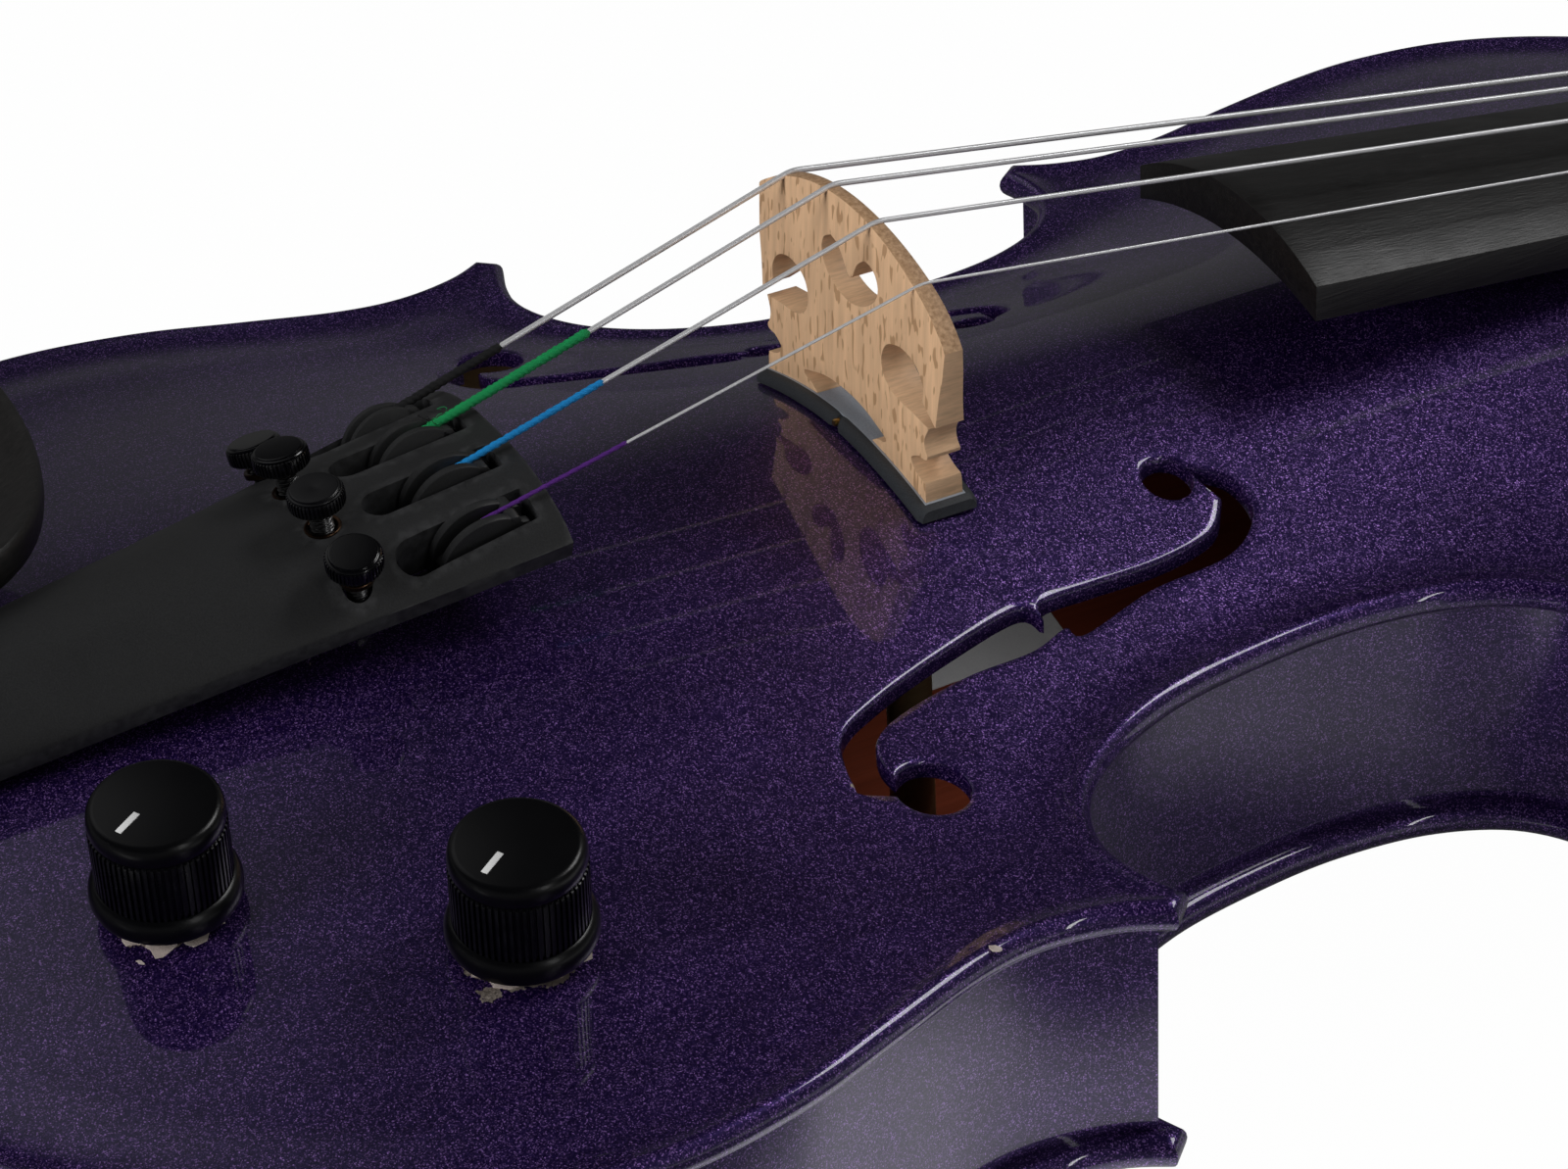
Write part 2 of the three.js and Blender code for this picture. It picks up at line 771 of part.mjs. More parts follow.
const flip = ({ point: [x, y], inward: [nx, ny] }) => ({ point: [-x, y], inward: [-nx, ny] });
const wallClear = edgeOverhang + liningThickness + gap;
const lowerRibHalf = drawnIn(lowerCurve, edgeOverhang, [[waistCurve, edgeOverhang]]);
lowerRibHalf[0].point[0] = 0;
lowerRibHalf[0].inward = [0, 1];
const lowerRib = [...lowerRibHalf.slice(1).reverse().map(flip), ...lowerRibHalf];
const waistRib = drawnIn(waistCurve, edgeOverhang, [[lowerCurve, wallClear], [upperCurve, wallClear]]);
const upperRib = drawnIn(upperCurve, edgeOverhang, [[waistCurve, edgeOverhang]])
  .filter(({ point: [x] }) => x > neckHalf + gap);

const endHoleY = [-overrun, blockDepth + 3 * overrun];
const endHole = rod(endButtonShaftDiameter + 2 * gap, ...endHoleY, 16).rotateX(-Math.PI / 2)
  .translate(0, 0, endButtonHeight);

// The output socket stands square to the treble lower rib.
const jackFoot = lowerRibHalf[Math.round(jackPlaceShare * lowerSteps)];
const jackGroup = new THREE.Group();
jackGroup.position.set(jackFoot.point[0], jackFoot.point[1], ribBase + ribHeight / 2);
jackGroup.quaternion.setFromUnitVectors(
  new THREE.Vector3(0, 0, 1),
  new THREE.Vector3(-jackFoot.inward[0], -jackFoot.inward[1], 0),
);
jackGroup.updateMatrix();
body.add(jackGroup);
const jackHole = rod(jackDiameter + 2 * gap, -jackLength, overrun * 2, 16).applyMatrix4(jackGroup.matrix);

place("lower_rib", cut(ribWall(lowerRib), endHole, jackHole), "purple");
place("waist_rib_treble", ribWall(waistRib), "purple");
place("waist_rib_bass", ribWall(waistRib.map(flip)), "purple");
place("upper_rib_treble", ribWall(upperRib), "purple");
place("upper_rib_bass", ribWall(upperRib.map(flip)), "purple");

// Blocks between the plates, drawn to the inside of the linings.

const blockLow = ribBase + gap;
const blockHigh = ribTop - gap;
const blockClear = edgeOverhang + liningThickness + gap;

// Places on a curve at shares of the block's reach from the curve's start.
function fromCorner(curve) {
  return cornerBlockShares.map((share) => {
    let left = share * cornerBlockReach;
    let k = 0;
    const stretch = () => Math.hypot(curve[k + 1][0] - curve[k][0], curve[k + 1][1] - curve[k][1]);
    while (left > stretch() && k + 2 < curve.length) {
      left -= stretch();
      k += 1;
    }
    const part = left / stretch();
    return curve[k].map((v, axis) => v + (curve[k + 1][axis] - v) * part);
  });
}

function cornerBlock(before, after) {
  const first = fromCorner([...before].reverse()).reverse();
  const second = fromCorner(after);
  const clear = blockClear + facetSlack;
  const a = drawnIn(first, clear, [[after, clear]]).map(({ point }) => point);
  const b = drawnIn(second, clear, [[before, clear]]).map(({ point }) => point);
  return [...a, ...b];
}

const lowerCornerBlock = cornerBlock(lowerCurve, waistCurve);
const upperCornerBlock = cornerBlock(waistCurve, upperCurve);
const across = (points) => points.map(([x, y]) => [-x, y]);
place("corner_block_lower_treble", prism(lowerCornerBlock, blockLow, blockHigh), "spruce");
place("corner_block_lower_bass", prism(across(lowerCornerBlock), blockLow, blockHigh), "spruce");
place("corner_block_upper_treble", prism(upperCornerBlock, blockLow, blockHigh), "spruce");
place("corner_block_upper_bass", prism(across(upperCornerBlock), blockLow, blockHigh), "spruce");

function endwise(curve, halfWidth) {
  const face = drawnIn(curve, blockClear, []).map(({ point }) => point)
    .filter(([x]) => x > gap && x < halfWidth);
  return face;
}

const endFace = endwise(lowerCurve, endBlockWidth / 2);
const endBlock = prism([
  ...across(endFace).reverse(), [0, blockClear], ...endFace,
  [endBlockWidth / 2, blockClear + blockDepth], [-endBlockWidth / 2, blockClear + blockDepth],
], blockLow, blockHigh);
place("end_block", cut(endBlock, endHole), "spruce");

const topFace = endwise(upperCurve, topBlockWidth / 2).reverse();
const topBlockEnd = bodyLength - blockClear;
place("top_block", cut(
  prism([
    ...across(topFace).reverse(), [0, topBlockEnd], ...topFace,
    [topBlockWidth / 2, topBlockEnd - blockDepth], [-topBlockWidth / 2, topBlockEnd - blockDepth],
  ], blockLow, blockHigh),
  box(-neckHalf - gap, neckHalf + gap, mortise - gap, bodyLength, ribBase - overrun, ribTop + overrun),
), "spruce");

// Bass bar and sound post

const barRings = Array.from({ length: barSteps + 1 }, (_, i) => {
  const share = i / barSteps;
  const y = barStart + share * barLength;
  const x = -THREE.MathUtils.lerp(barLowerOffset, barUpperOffset, share);
  const height = barEndHeight + (barHeight - barEndHeight) * Math.sin(Math.PI * share);
  const edges = [x - barWidth / 2, x + barWidth / 2];
  const top = edges.map((edge) => bellyUnder(edge, y) - gap - facetSlack);
  return [
    [edges[0], y, top[0]], [edges[1], y, top[1]], [edges[1], y, top[1] - height], [edges[0], y, top[0] - height],
  ];
});
place("bass_bar", loft(barRings), "spruce");

const postY = bridgeStop - postBehindBridge;
const postRing = (height, shift) => Array.from({ length: 12 }, (_, k) => {
  const angle = (2 * Math.PI * k) / 12;
  const x = postOffset + (postDiameter / 2) * Math.cos(angle);
  const y = postY + (postDiameter / 2) * Math.sin(angle);
  return [x, y, height(x, y) + shift];
});
place("sound_post", loft([
  postRing(backUpper, gap + 2 * facetSlack),
  postRing(bellyUnder, -gap - facetSlack),
]), "spruce");

// Pickup strip under the bridge, bent over the belly

const pickupRings = Array.from({ length: pickupSteps + 1 }, (_, i) => {
  const x = THREE.MathUtils.lerp(-pickupLength / 2, pickupLength / 2, i / pickupSteps);
  const under = [-1, 1].map((side) => bellyTop(x, bridgeStop + (side * pickupWidth) / 2) + gap);
  const low = Math.max(...under);
  const near = bridgeStop - pickupWidth / 2;
  const far = bridgeStop + pickupWidth / 2;
  return [[x, near, low], [x, far, low], [x, far, low + pickupThickness], [x, near, low + pickupThickness]];
});
place("pickup_strip", loft(pickupRings), "rubber");

const pickupTop = (x) => Math.max(...[-1, 1].map((side) =>
  bellyTop(x, bridgeStop + (side * pickupWidth) / 2))) + gap + pickupThickness;

// Bridge: a flat outline with cut-outs, thinned towards its top

const bridgeFootTop = pickupTop(halfBridgeFoot * bridgeFootCentreShare) + gap;
const bridgeAt = ([x, z]) => [x * halfBridgeFoot, bridgeFootTop + z * bridgeHeight];
const bridgeWing = bridgeWingShare * halfBridgeFoot;

function bridgeTop(x) {
  const drop = bridgeTopRadius - Math.sqrt(bridgeTopRadius ** 2 - x ** 2);
  return bridgeFootTop + bridgeHeight - drop - (bridgeLift * x) / (2 * bridgeSpacing * 1.5);
}

const bridgeRight = bridgeOutlineShares.map(bridgeAt);
const bridgeArch = bridgeArchShares.map(bridgeAt);
const flipX = (points) => points.map(([x, z]) => [-x, z]).reverse();
const bridgeCrown = Array.from({ length: 13 }, (_, i) => {
  const x = THREE.MathUtils.lerp(bridgeWing * 0.97, -bridgeWing * 0.97, i / 12);
  return [x, bridgeTop(x)];
});
const bridgeOutline = [
  ...bridgeRight,
  [bridgeWing, bridgeFootTop + bridgeTreblePoint - 1],
  ...bridgeCrown,
  [-bridgeWing, bridgeFootTop + bridgeBassPoint - 1],
  ...flipX(bridgeRight),
  ...bridgeArch.map(([x, z]) => [-x, z]),
  ...bridgeArch.slice(0, -1).reverse(),
];
const heartHalf = splinePoints(bridgeHeartShares.map(bridgeAt), 10);
const heart = [...heartHalf, ...flipX(heartHalf).slice(1, -1)];

function upright(geometry) {
  return geometry.rotateX(Math.PI / 2);
}

const bridgeBlank = cut(
  upright(prism(bridgeOutline, -bridgeFootThickness, bridgeFootThickness)),
  upright(prism(heart, -bridgeFootThickness * 2, bridgeFootThickness * 2)),
).translate(0, bridgeStop, 0);
const bridgeTaper = loft([-bridgeWing * 2, bridgeWing * 2].map((x) => {
  const low = bridgeFootTop - 2 * overrun;
  const high = bridgeFootTop + bridgeHeight + overrun;
  const back = bridgeStop - bridgeFootThickness / 2;
  return [
    [x, back, low], [x, back + bridgeFootThickness, low],
    [x, bridgeStop + bridgeTopThickness / 2, high], [x, bridgeStop - bridgeTopThickness / 2, high],
  ];
}));

const stringOffsets = [-1.5, -0.5, 0.5, 1.5];
const bridgePoints = stringOffsets.map((place, i) => {
  const x = place * bridgeSpacing;
  return [x, bridgeStop, bridgeTop(x) + stringSeat + stringDiameters[i] / 2];
});
const bridgeNotches = bridgePoints.map(([x, y, z], i) =>
  rod(stringDiameters[i] + 2 * gap, -bridgeFootThickness, bridgeFootThickness, 10)
    .rotateX(Math.PI / 2).translate(x, y, z));
// The feet are fitted to the curve of the strip under them.
const footCutter = loft(Array.from({ length: pickupSteps + 1 }, (_, i) => {
  const x = THREE.MathUtils.lerp(-pickupLength / 2, pickupLength / 2, i / pickupSteps);
  const high = pickupTop(x) + gap;
  const low = bridgeFootTop - bridgeHeight / 2;
  const near = bridgeStop - pickupWidth;
  const far = bridgeStop + pickupWidth;
  return [[x, near, low], [x, far, low], [x, far, high], [x, near, high]];
}));
place("bridge", cut(common(bridgeBlank, bridgeTaper), footCutter, ...bridgeNotches), "maple");

// Fingerboard

const boardSlope = (boardEndHeight - boardNutHeight) / (nutStop - boardEndStop);
const boardEdgeTop = (y) => boardNutHeight + boardSlope * (nutStop - y);
const boardHalf = (y) => THREE.MathUtils.lerp(boardNutWidth, boardEndWidth, (nutStop - y) / (nutStop - boardEndStop)) / 2;
const boardCrown = (x, y) => {
  const half = boardHalf(y);
  const rise = Math.sqrt(boardRadius ** 2 - x ** 2) - Math.sqrt(boardRadius ** 2 - half ** 2);
  return boardEdgeTop(y) + rise;
};
const boardUnder = (y) => boardEdgeTop(y) - boardEdge;
const boardRings = Array.from({ length: boardStations + 1 }, (_, i) => {
  const y = THREE.MathUtils.lerp(boardEndStop, nutStop, i / boardStations);
  const half = boardHalf(y);
  const scoop = y < bodyLength ? boardScoop * Math.min((bodyLength - y) / boardEndWidth, 1) : 0;
  const top = Array.from({ length: 9 }, (__, k) => {
    const x = THREE.MathUtils.lerp(-half, half, k / 8);
    return [x, y, boardCrown(x, y)];
  });
  const under = Array.from({ length: 9 }, (__, k) => {
    const share = THREE.MathUtils.lerp(1, -1, k / 8);
    return [share * half, y, boardUnder(y) + scoop * (1 - share ** 2)];
  });
  return [...top, ...under];
});
place("fingerboard", loft(boardRings), "ebony");

// Nut

const nutBack = nutStop + gap;
const nutTop = (x) => boardCrown(x, nutStop) + nutRise;
const nutRing = (y, drop) => {
  const half = boardNutWidth / 2;
  const top = Array.from({ length: 7 }, (_, k) => {
    const x = THREE.MathUtils.lerp(-half, half, k / 6);
    return [x, y, nutTop(x) - drop];
  });
  return [...top, ...top.map(([x]) => [x, y, boardUnder(y)]).reverse()];
};
// Each string lies in a slot that runs down over the nut's back edge.
const nutFall = 2 * nutRise;
const nutPoints = stringOffsets.map((place, i) => {
  const x = place * nutSpacing;
  const z = nutTop(x) + stringSeat + stringDiameters[i] / 2;
  return [[x, nutStop + nutLength * 0.2, z], [x, nutStop + nutLength, z - nutFall]];
});
const nutSlots = nutPoints.map(([front, back], i) => {
  const along = (share) => front.map((v, k) => v + (back[k] - v) * share);
  const before = [front[0], front[1] - nutLength, front[2]];
  return tube([before, front, back, along(2)], stringDiameters[i] + 2 * gap, 6);
});
place("nut", cut(loft([nutRing(nutBack, 0), nutRing(nutStop + nutLength * 0.3, 0), nutRing(nutStop + nutLength, nutFall)]), ...nutSlots), "ebony");

// Neck: shaft, heel, pegbox and scroll in one piece

const neckTop = (y) => boardUnder(y) - gap;
const shaftStart = bodyLength + neckRootDepth;
const shaftSteps = 4;
const shaftRings = Array.from({ length: shaftSteps + 1 }, (_, i) => {
  const share = i / shaftSteps;
  const y = THREE.MathUtils.lerp(shaftStart, nutStop + nutLength, share);
  const half = boardHalf(Math.min(y, nutStop));
  const depth = THREE.MathUtils.lerp(neckDepthAtHeel, neckDepthAtNut, share);
  const top = neckTop(y);
  const ring = [[-half, y, top], [half, y, top]];
  for (let k = 1; k < 8; k += 1) {
    const angle = (Math.PI * k) / 8;
    ring.push([half * Math.cos(angle), y, top - 1 - (depth - 1) * Math.sin(angle) ** 0.8]);
  }
  ring.push([-half, y, top - 1]);
  return ring;
});

const heelShares = [
  [0, 1, 0], [0.16, 1, 0.05], [0.45, 1, 0.16], [0.68, 1, 0.33], [0.84, 1, 0.62], [0.93, 1, 1],
];
const heelLow = ribBase + gap;
const heelHigh = neckTop(shaftStart) - 1;
const heelRings = heelShares.map(([share, , reach]) => {
  const z = THREE.MathUtils.lerp(heelLow, heelHigh, share);
  const half = THREE.MathUtils.lerp(heelButtonWidth, neckRootWidth, Math.min(share * 1.2, 1)) / 2;
  const front = bodyLength + heelReach + reach * heelRun;
  const ring = [[-half, mortise, z], [half, mortise, z], [half, bodyLength, z]];
  for (let k = 1; k < 6; k += 1) {
    const angle = (Math.PI * k) / 6;
    ring.push([half * Math.cos(angle), bodyLength + (front - bodyLength) * Math.sin(angle) ** 0.9, z]);
  }
  ring.push([-half, bodyLength, z]);
  return ring;
});
const heelCap = heelRings[heelRings.length - 1].map(([x, y]) => [x * 0.98, y, neckTop(y)]);
heelRings.push(heelCap);

// The pegbox follows the fingerboard's line past the nut.
const pegboxStart = nutStop + nutLength + gap;
const throat = pegboxStart + pegboxLength;
const pegboxTop = (y) => boardEdgeTop(y) - 1;
const pegboxHalf = (y) => THREE.MathUtils.lerp(pegboxWidthAtNut, pegboxWidthAtThroat, (y - pegboxStart) / pegboxLength) / 2;
const pegboxBottom = (y) => pegboxTop(y) - THREE.MathUtils.lerp(
  pegboxDepthAtNut, pegboxDepthAtThroat, (y - pegboxStart) / pegboxLength);
const pegboxRings = [0, 0.33, 0.66, 1].map((share) => {
  const y = pegboxStart - gap + share * (pegboxLength + gap);
  const half = pegboxHalf(y);
  const low = pegboxBottom(y);
  return [
    [-half, y, pegboxTop(y)], [half, y, pegboxTop(y)], [half, y, low + 4],
    [half * 0.6, y, low], [-half * 0.6, y, low], [-half, y, low + 4],
  ];
});
const cavity = loft([pegboxStart + 2, throat - 4].map((y) => {
  const half = pegboxHalf(y) - pegboxWall;
  const floor = pegboxBottom(y) + pegboxFloor;
  const high = pegboxTop(y) + overrun;
  return [[-half, y, high], [half, y, high], [half, y, floor], [-half, y, floor]];
}));

// Each step of the scroll is a slice of a shrinking spiral, wider towards the eye.
const scrollCentreY = throat + scrollRadius - scrollSink;
const scrollCentreZ = pegboxTop(throat) - scrollDrop;

function scrollTurn(turn) {
  const steps = scrollStepsPerTurn;
  const total = scrollTurns * steps;
  const points = Array.from({ length: steps + 1 }, (_, i) => {
    const share = (turn * steps + i) / total;
    const radius = THREE.MathUtils.lerp(scrollRadius, scrollEyeRadius, share ** 0.8);
    const angle = (-Math.PI * 3) / 4 + (2 * Math.PI * i) / steps;
    return [scrollCentreY + radius * Math.cos(angle), scrollCentreZ + radius * Math.sin(angle)];
  });
  const width = THREE.MathUtils.lerp(scrollHalfWidthAtThroat, scrollHalfWidthAtEye, (turn + 0.35) / scrollTurns);
  return sidePrism(points, width);
}

// A prism along X from a Y,Z outline.
function sidePrism(points, halfWidth) {
  const geometry = prism(points, -halfWidth, halfWidth);
  const swap = new THREE.Matrix4().set(0, 0, 1, 0, 1, 0, 0, 0, 0, 1, 0, 0, 0, 0, 0, 1);
  return facingOut(geometry.applyMatrix4(swap));
}

const eye = rod(2 * scrollEyeRadius, -scrollHalfWidthAtEye, scrollHalfWidthAtEye, 14)
  .rotateY(Math.PI / 2).translate(0, scrollCentreY, scrollCentreZ);
const pegAngles = Math.PI / 2;
const pegPlaces = pegStops.map((stop) => {
  const y = pegboxStart + stop;
  return [y, pegboxTop(y) - pegDepth];
});
const pegHoles = pegPlaces.map(([y, z]) =>
  rod(pegDiameter + 2 * gap, -pegboxWidthAtNut, pegboxWidthAtNut, 12).rotateY(pegAngles).translate(0, y, z));
const neckBlank = join(loft(shaftRings), loft(heelRings), loft(pegboxRings), scrollTurn(0), scrollTurn(1), eye);
place("neck", cut(neckBlank, cavity, ...pegHoles), "purple");

// Pegs: G and D on the bass side, E and A on the treble side, G nearest the nut

const pegNames = ["g", "e", "d", "a"];
const pegSides = [-1, 1, -1, 1];
const stringOfPeg = [0, 3, 1, 2];
pegNames.forEach((name, i) => {
  const [y, z] = pegPlaces[i];
  const half = pegboxHalf(y);
  const collar = half + pegNeckLength;
  const shaft = turned([
    [0, -half - 1], [pegDiameter / 2, -half - 1], [pegDiameter / 2, half + 1], [pegDiameter / 2 + 1, collar - 2],
    [pegCollarDiameter / 2, collar], [pegCollarDiameter / 2, collar + pegCollarLength - 1],
    [pegDiameter / 2, collar + pegCollarLength], [0, collar + pegCollarLength],
  ], 12);
  const thumb = new THREE.SphereGeometry(1, 10, 6);
  thumb.scale(pegThumbWidth / 2, pegThumbThickness / 2, pegThumbLength / 2);
  thumb.translate(0, 0, collar + pegCollarLength + pegThumbLength / 2 - 2);
  const peg = join(shaft, mergedPositions(thumb));
  peg.rotateY((pegSides[i] * Math.PI) / 2);
  peg.translate(0, y, z);
  place(`peg_${name}`, peg, "ebony");
});

// Tailpiece: a thin arched shell, solid at its tail, with a bed for the tuners' levers

const tailpieceRun = tailpieceFront - tailpieceBack;
const tailCrown = (y) => tailpieceCrown - tailpieceSlope * (tailpieceFront - y);
const tailEdge = (y) => tailpieceEdge - tailpieceEdgeSlope * (tailpieceFront - y);

function tailHalf(y) {
  const share = (y - tailpieceBack) / tailpieceRun;
  const rows = tailpieceStationShares;
  const k = Math.max(rows.findIndex(([at]) => at >= share), 1);
  const [a, wa] = rows[k - 1];
  const [b, wb] = rows[k];
  return (tailpieceWidth / 2) * THREE.MathUtils.lerp(wa, wb, (share - a) / (b - a));
}

function tailSkin(y, wall) {
  const half = tailHalf(y) - wall * 0.85;
  const rise = tailCrown(y) - tailEdge(y) - wall;
  return tailpieceAcrossShares.map((share) => [
    share * half,
    y,
    tailEdge(y) + rise * (1 - Math.abs(share) ** tailpieceCrownPower) ** tailpieceRollPower,
  ]);
}

const tailStations = tailpieceStationShares.map(([share]) => tailpieceBack + share * tailpieceRun);
const tailShell = loft(tailStations.map((y) => [...tailSkin(y, 0), ...tailSkin(y, tailpieceWall).reverse()]));
const tailPlugRing = (y) => {
  const top = tailSkin(y, tailpieceWall / 2);
  return [...top, ...top.map(([x]) => [x, y, tailEdge(y)]).reverse()
    .map(([x, , z], i) => [i === 0 || i === top.length - 1 ? x : x, y, z - gap])];
};
const tailPlug = loft([tailPlugRing(tailpieceBack), tailPlugRing(tailpieceBack + tailpiecePlug)]);
const bedBack = tunerStop - tunerSlotBack - 2;
const bedRing = (y) => {
  const top = tailSkin(y, tailpieceWall / 2);
  return [...top, ...top.map(([x, , z]) => [x, y, Math.min(z, tailCrown(y) - tunerBedDepth) - 0.2]).reverse()];
};
const tailBed = loft([bedRing(bedBack), bedRing(tailpieceFront)]);
const tailAngle = Math.atan(tailpieceSlope);

const tunerGroups = tunerAngles.map((degrees) => {
  const angle = THREE.MathUtils.degToRad(degrees);
  const group = new THREE.Group();
  group.position.set(
    tunerRadius * Math.sin(angle),
    tunerStop,
    tailCrown(tunerStop) - tunerRadius * (1 - Math.cos(angle)),
  );
  group.rotation.set(tailAngle, angle, 0);
  group.updateMatrix();
  body.add(group);
  return group;
});

const slotHalf = tunerSlotWidth / 2;
const slotCutter = () => join(
  box(-slotHalf, slotHalf, -tunerSlotBack + slotHalf, tunerSlotFront, -2 * tunerBedDepth, overrun),
  rod(tunerSlotWidth, -2 * tunerBedDepth, overrun, 10).translate(0, -tunerSlotBack + slotHalf, 0),
  box(-slotHalf, slotHalf, -screwBehind - overrun, 0, -2 * tunerBedDepth, -tailpieceWall - leverArmThickness / 2),
);
const pinCutter = () => rod(leverPinDiameter + 2 * gap, -leverPinLength / 2 - gap, leverPinLength / 2 + gap, 10)
  .rotateY(Math.PI / 2).translate(0, leverPivotAhead, -leverPivotDepth);
const screwCutter = () => rod(screwShankDiameter + 2 * gap, -overrun * 2, overrun, 12).translate(0, -screwBehind, 0);
const gutHoles = [-1, 1].map((side) => rod(gutDiameter + 2 * gap, -overrun, tailpiecePlug + overrun, 12)
  .rotateX(-Math.PI / 2).translate(side * gutSpread * 0.8, tailpieceBack, tailEdge(tailpieceBack) + 2.6));
place("tailpiece", cut(
  join(tailShell, tailPlug, tailBed),
  ...tunerGroups.flatMap((group) => [slotCutter(), pinCutter(), screwCutter()]
    .map((cutter) => cutter.applyMatrix4(group.matrix))),
  ...gutHoles,
), "plastic");

// Fine tuners: a forked lever on a cross pin, pushed down at its rear end by a screw

const tunerNames = ["g", "d", "a", "e"];
const leverArc = Array.from({ length: leverArcSteps + 1 }, (_, i) => {
  const angle = THREE.MathUtils.degToRad(THREE.MathUtils.lerp(15, 170, i / leverArcSteps));
  return [leverArcRadius * Math.cos(angle) - leverArcBehind, leverArcCentre + leverArcRadius * Math.sin(angle)];
});
const leverOutline = [
  ...leverArc,
  [-screwBehind + 3, -leverArmDepth],
  [-screwBehind - 2, -leverArmDepth],
  [-screwBehind - 2, -leverArmDepth - leverArmThickness],
  [-leverArcRadius, -leverArmDepth - leverArmThickness - 0.6],
  [leverArcRadius / 2, -leverArmDepth - leverArmThickness - 0.6],
];
const leverBlank = cut(
  join(
    sidePrism(leverOutline, leverWidth / 2),
    rod(leverPinDiameter, -leverPinLength / 2, leverPinLength / 2, 10).rotateY(Math.PI / 2)
      .translate(0, leverPivotAhead, -leverPivotDepth),
  ),
  box(-leverStringGap / 2, leverStringGap / 2, -2 * leverArcRadius, leverArcRadius - 3.6,
    -leverStringSlotDepth, leverArcRadius),
);

function knurledDisc(diameter, low, high, knurls, depth) {
  const points = Array.from({ length: 2 * knurls }, (_, i) => {
    const radius = diameter / 2 - (i % 2) * depth;
    const angle = (Math.PI * i) / knurls;
    return [radius * Math.cos(angle), radius * Math.sin(angle)];
  });
  return prism(points, low, high);
}

tunerNames.forEach((name, i) => {
  const group = tunerGroups[i];
  const raise = tunerRaises[i];
  const lever = leverBlank.clone();
  lever.translate(0, -leverPivotAhead, leverPivotDepth);
  lever.rotateX(-raise / (screwBehind + leverPivotAhead));
  lever.translate(0, leverPivotAhead, -leverPivotDepth);
  place(`tuner_lever_${name}`, lever, "plastic", group);
  const screw = new THREE.Group();
  screw.position.set(0, -screwBehind, raise);
  group.add(screw);
  place(`tuner_shank_${name}`, rod(screwShankDiameter, -leverArmDepth + runningGap, screwHeadStandoff - gap, 10),
    "steel", screw);
  const headTop = screwHeadStandoff + screwHeadHeight;
  const rim = screwHeadHeight * 0.2;
  const head = join(
    knurledDisc(screwHeadDiameter, screwHeadStandoff + rim, headTop - rim, screwKnurls, screwKnurlDepth),
    turned([
      [0, screwHeadStandoff], [screwHeadDiameter * 0.42, screwHeadStandoff],
      [screwHeadDiameter * 0.46, screwHeadStandoff + rim * 1.5], [screwHeadDiameter * 0.46, headTop - rim * 1.5],
      [screwHeadDiameter * 0.42, headTop], [0, headTop],
    ], 12),
  );
  place(`tuner_screw_${name}`, head, "gloss", screw);
});

// Strings: from the tuner's fork over bridge and nut, then wound on the peg

const pegOfString = [0, 2, 3, 1];
tunerNames.forEach((name, i) => {
  const diameter = stringDiameters[i];
  const start = new THREE.Vector3(0, -1.5, 0.2).applyMatrix4(tunerGroups[i].matrix);
  const peg = pegOfString[i];
  const [pegY, pegZ] = pegPlaces[peg];
  const radius = pegDiameter / 2 + gap + diameter / 2;
  const side = pegSides[peg];
  const wall = pegboxHalf(pegY) - pegboxWall - gap - diameter;
  const firstX = side * (wall - windingTurns * windingPitch);
  const steps = windingTurns * windingStepsPerTurn;
  const winding = Array.from({ length: steps + 1 }, (_, k) => {
    const angle = (2 * Math.PI * k) / windingStepsPerTurn;
    const x = firstX + side * windingPitch * (k / windingStepsPerTurn);
    return [x, pegY + radius * Math.sin(angle), pegZ + radius * Math.cos(angle)];
  });
  const turnGaps = winding.flatMap((from, a) => winding.slice(a + windingStepsPerTurn - 1)
    .map((to) => Math.hypot(...from.map((v, axis) => v - to[axis])) - diameter));
  console.log(`string_${name}: least gap between turns ${Math.min(...turnGaps).toFixed(2)} mm`);
  place(`string_${name}`, tube([start.toArray(), bridgePoints[i], ...nutPoints[i], ...winding], diameter, stringSides),
    "string");
});

// Saddle, end button and tail gut

const saddleLow = ribTop + gap;
const saddleHigh = ribTop + edgeThickness + saddleRise;
place("saddle", sidePrism([
  [edgeRound / 2, saddleLow], [saddleDepth, saddleLow], [saddleDepth, saddleHigh - saddleRise / 2],
  [saddleDepth * 0.7, saddleHigh - 0.4], [saddleDepth * 0.35, saddleHigh], [edgeRound / 2, saddleHigh - 1.4],
], saddleHalf), "ebony");

const endButtonFace = edgeOverhang;
const endButton = turned([
  [0, -endButtonHeadLength - endButtonNeckLength],
  [endButtonHeadDiameter * 0.34, -endButtonHeadLength - endButtonNeckLength],
  [endButtonHeadDiameter * 0.5, -endButtonHeadLength * 0.8 - endButtonNeckLength],
  [endButtonHeadDiameter * 0.5, -endButtonHeadLength * 0.45 - endButtonNeckLength],
  [endButtonHeadDiameter * 0.4, -endButtonHeadLength * 0.15 - endButtonNeckLength],
  [endButtonNeckDiameter / 2, -endButtonNeckLength], [endButtonNeckDiameter / 2, -gap],
  [endButtonShaftDiameter / 2, -gap], [endButtonShaftDiameter * 0.45, endButtonShaftLength],
  [0, endButtonShaftLength],
], 14);
endButton.rotateX(-Math.PI / 2);
endButton.translate(0, endButtonFace, endButtonHeight);
place("end_button", endButton, "ebony");

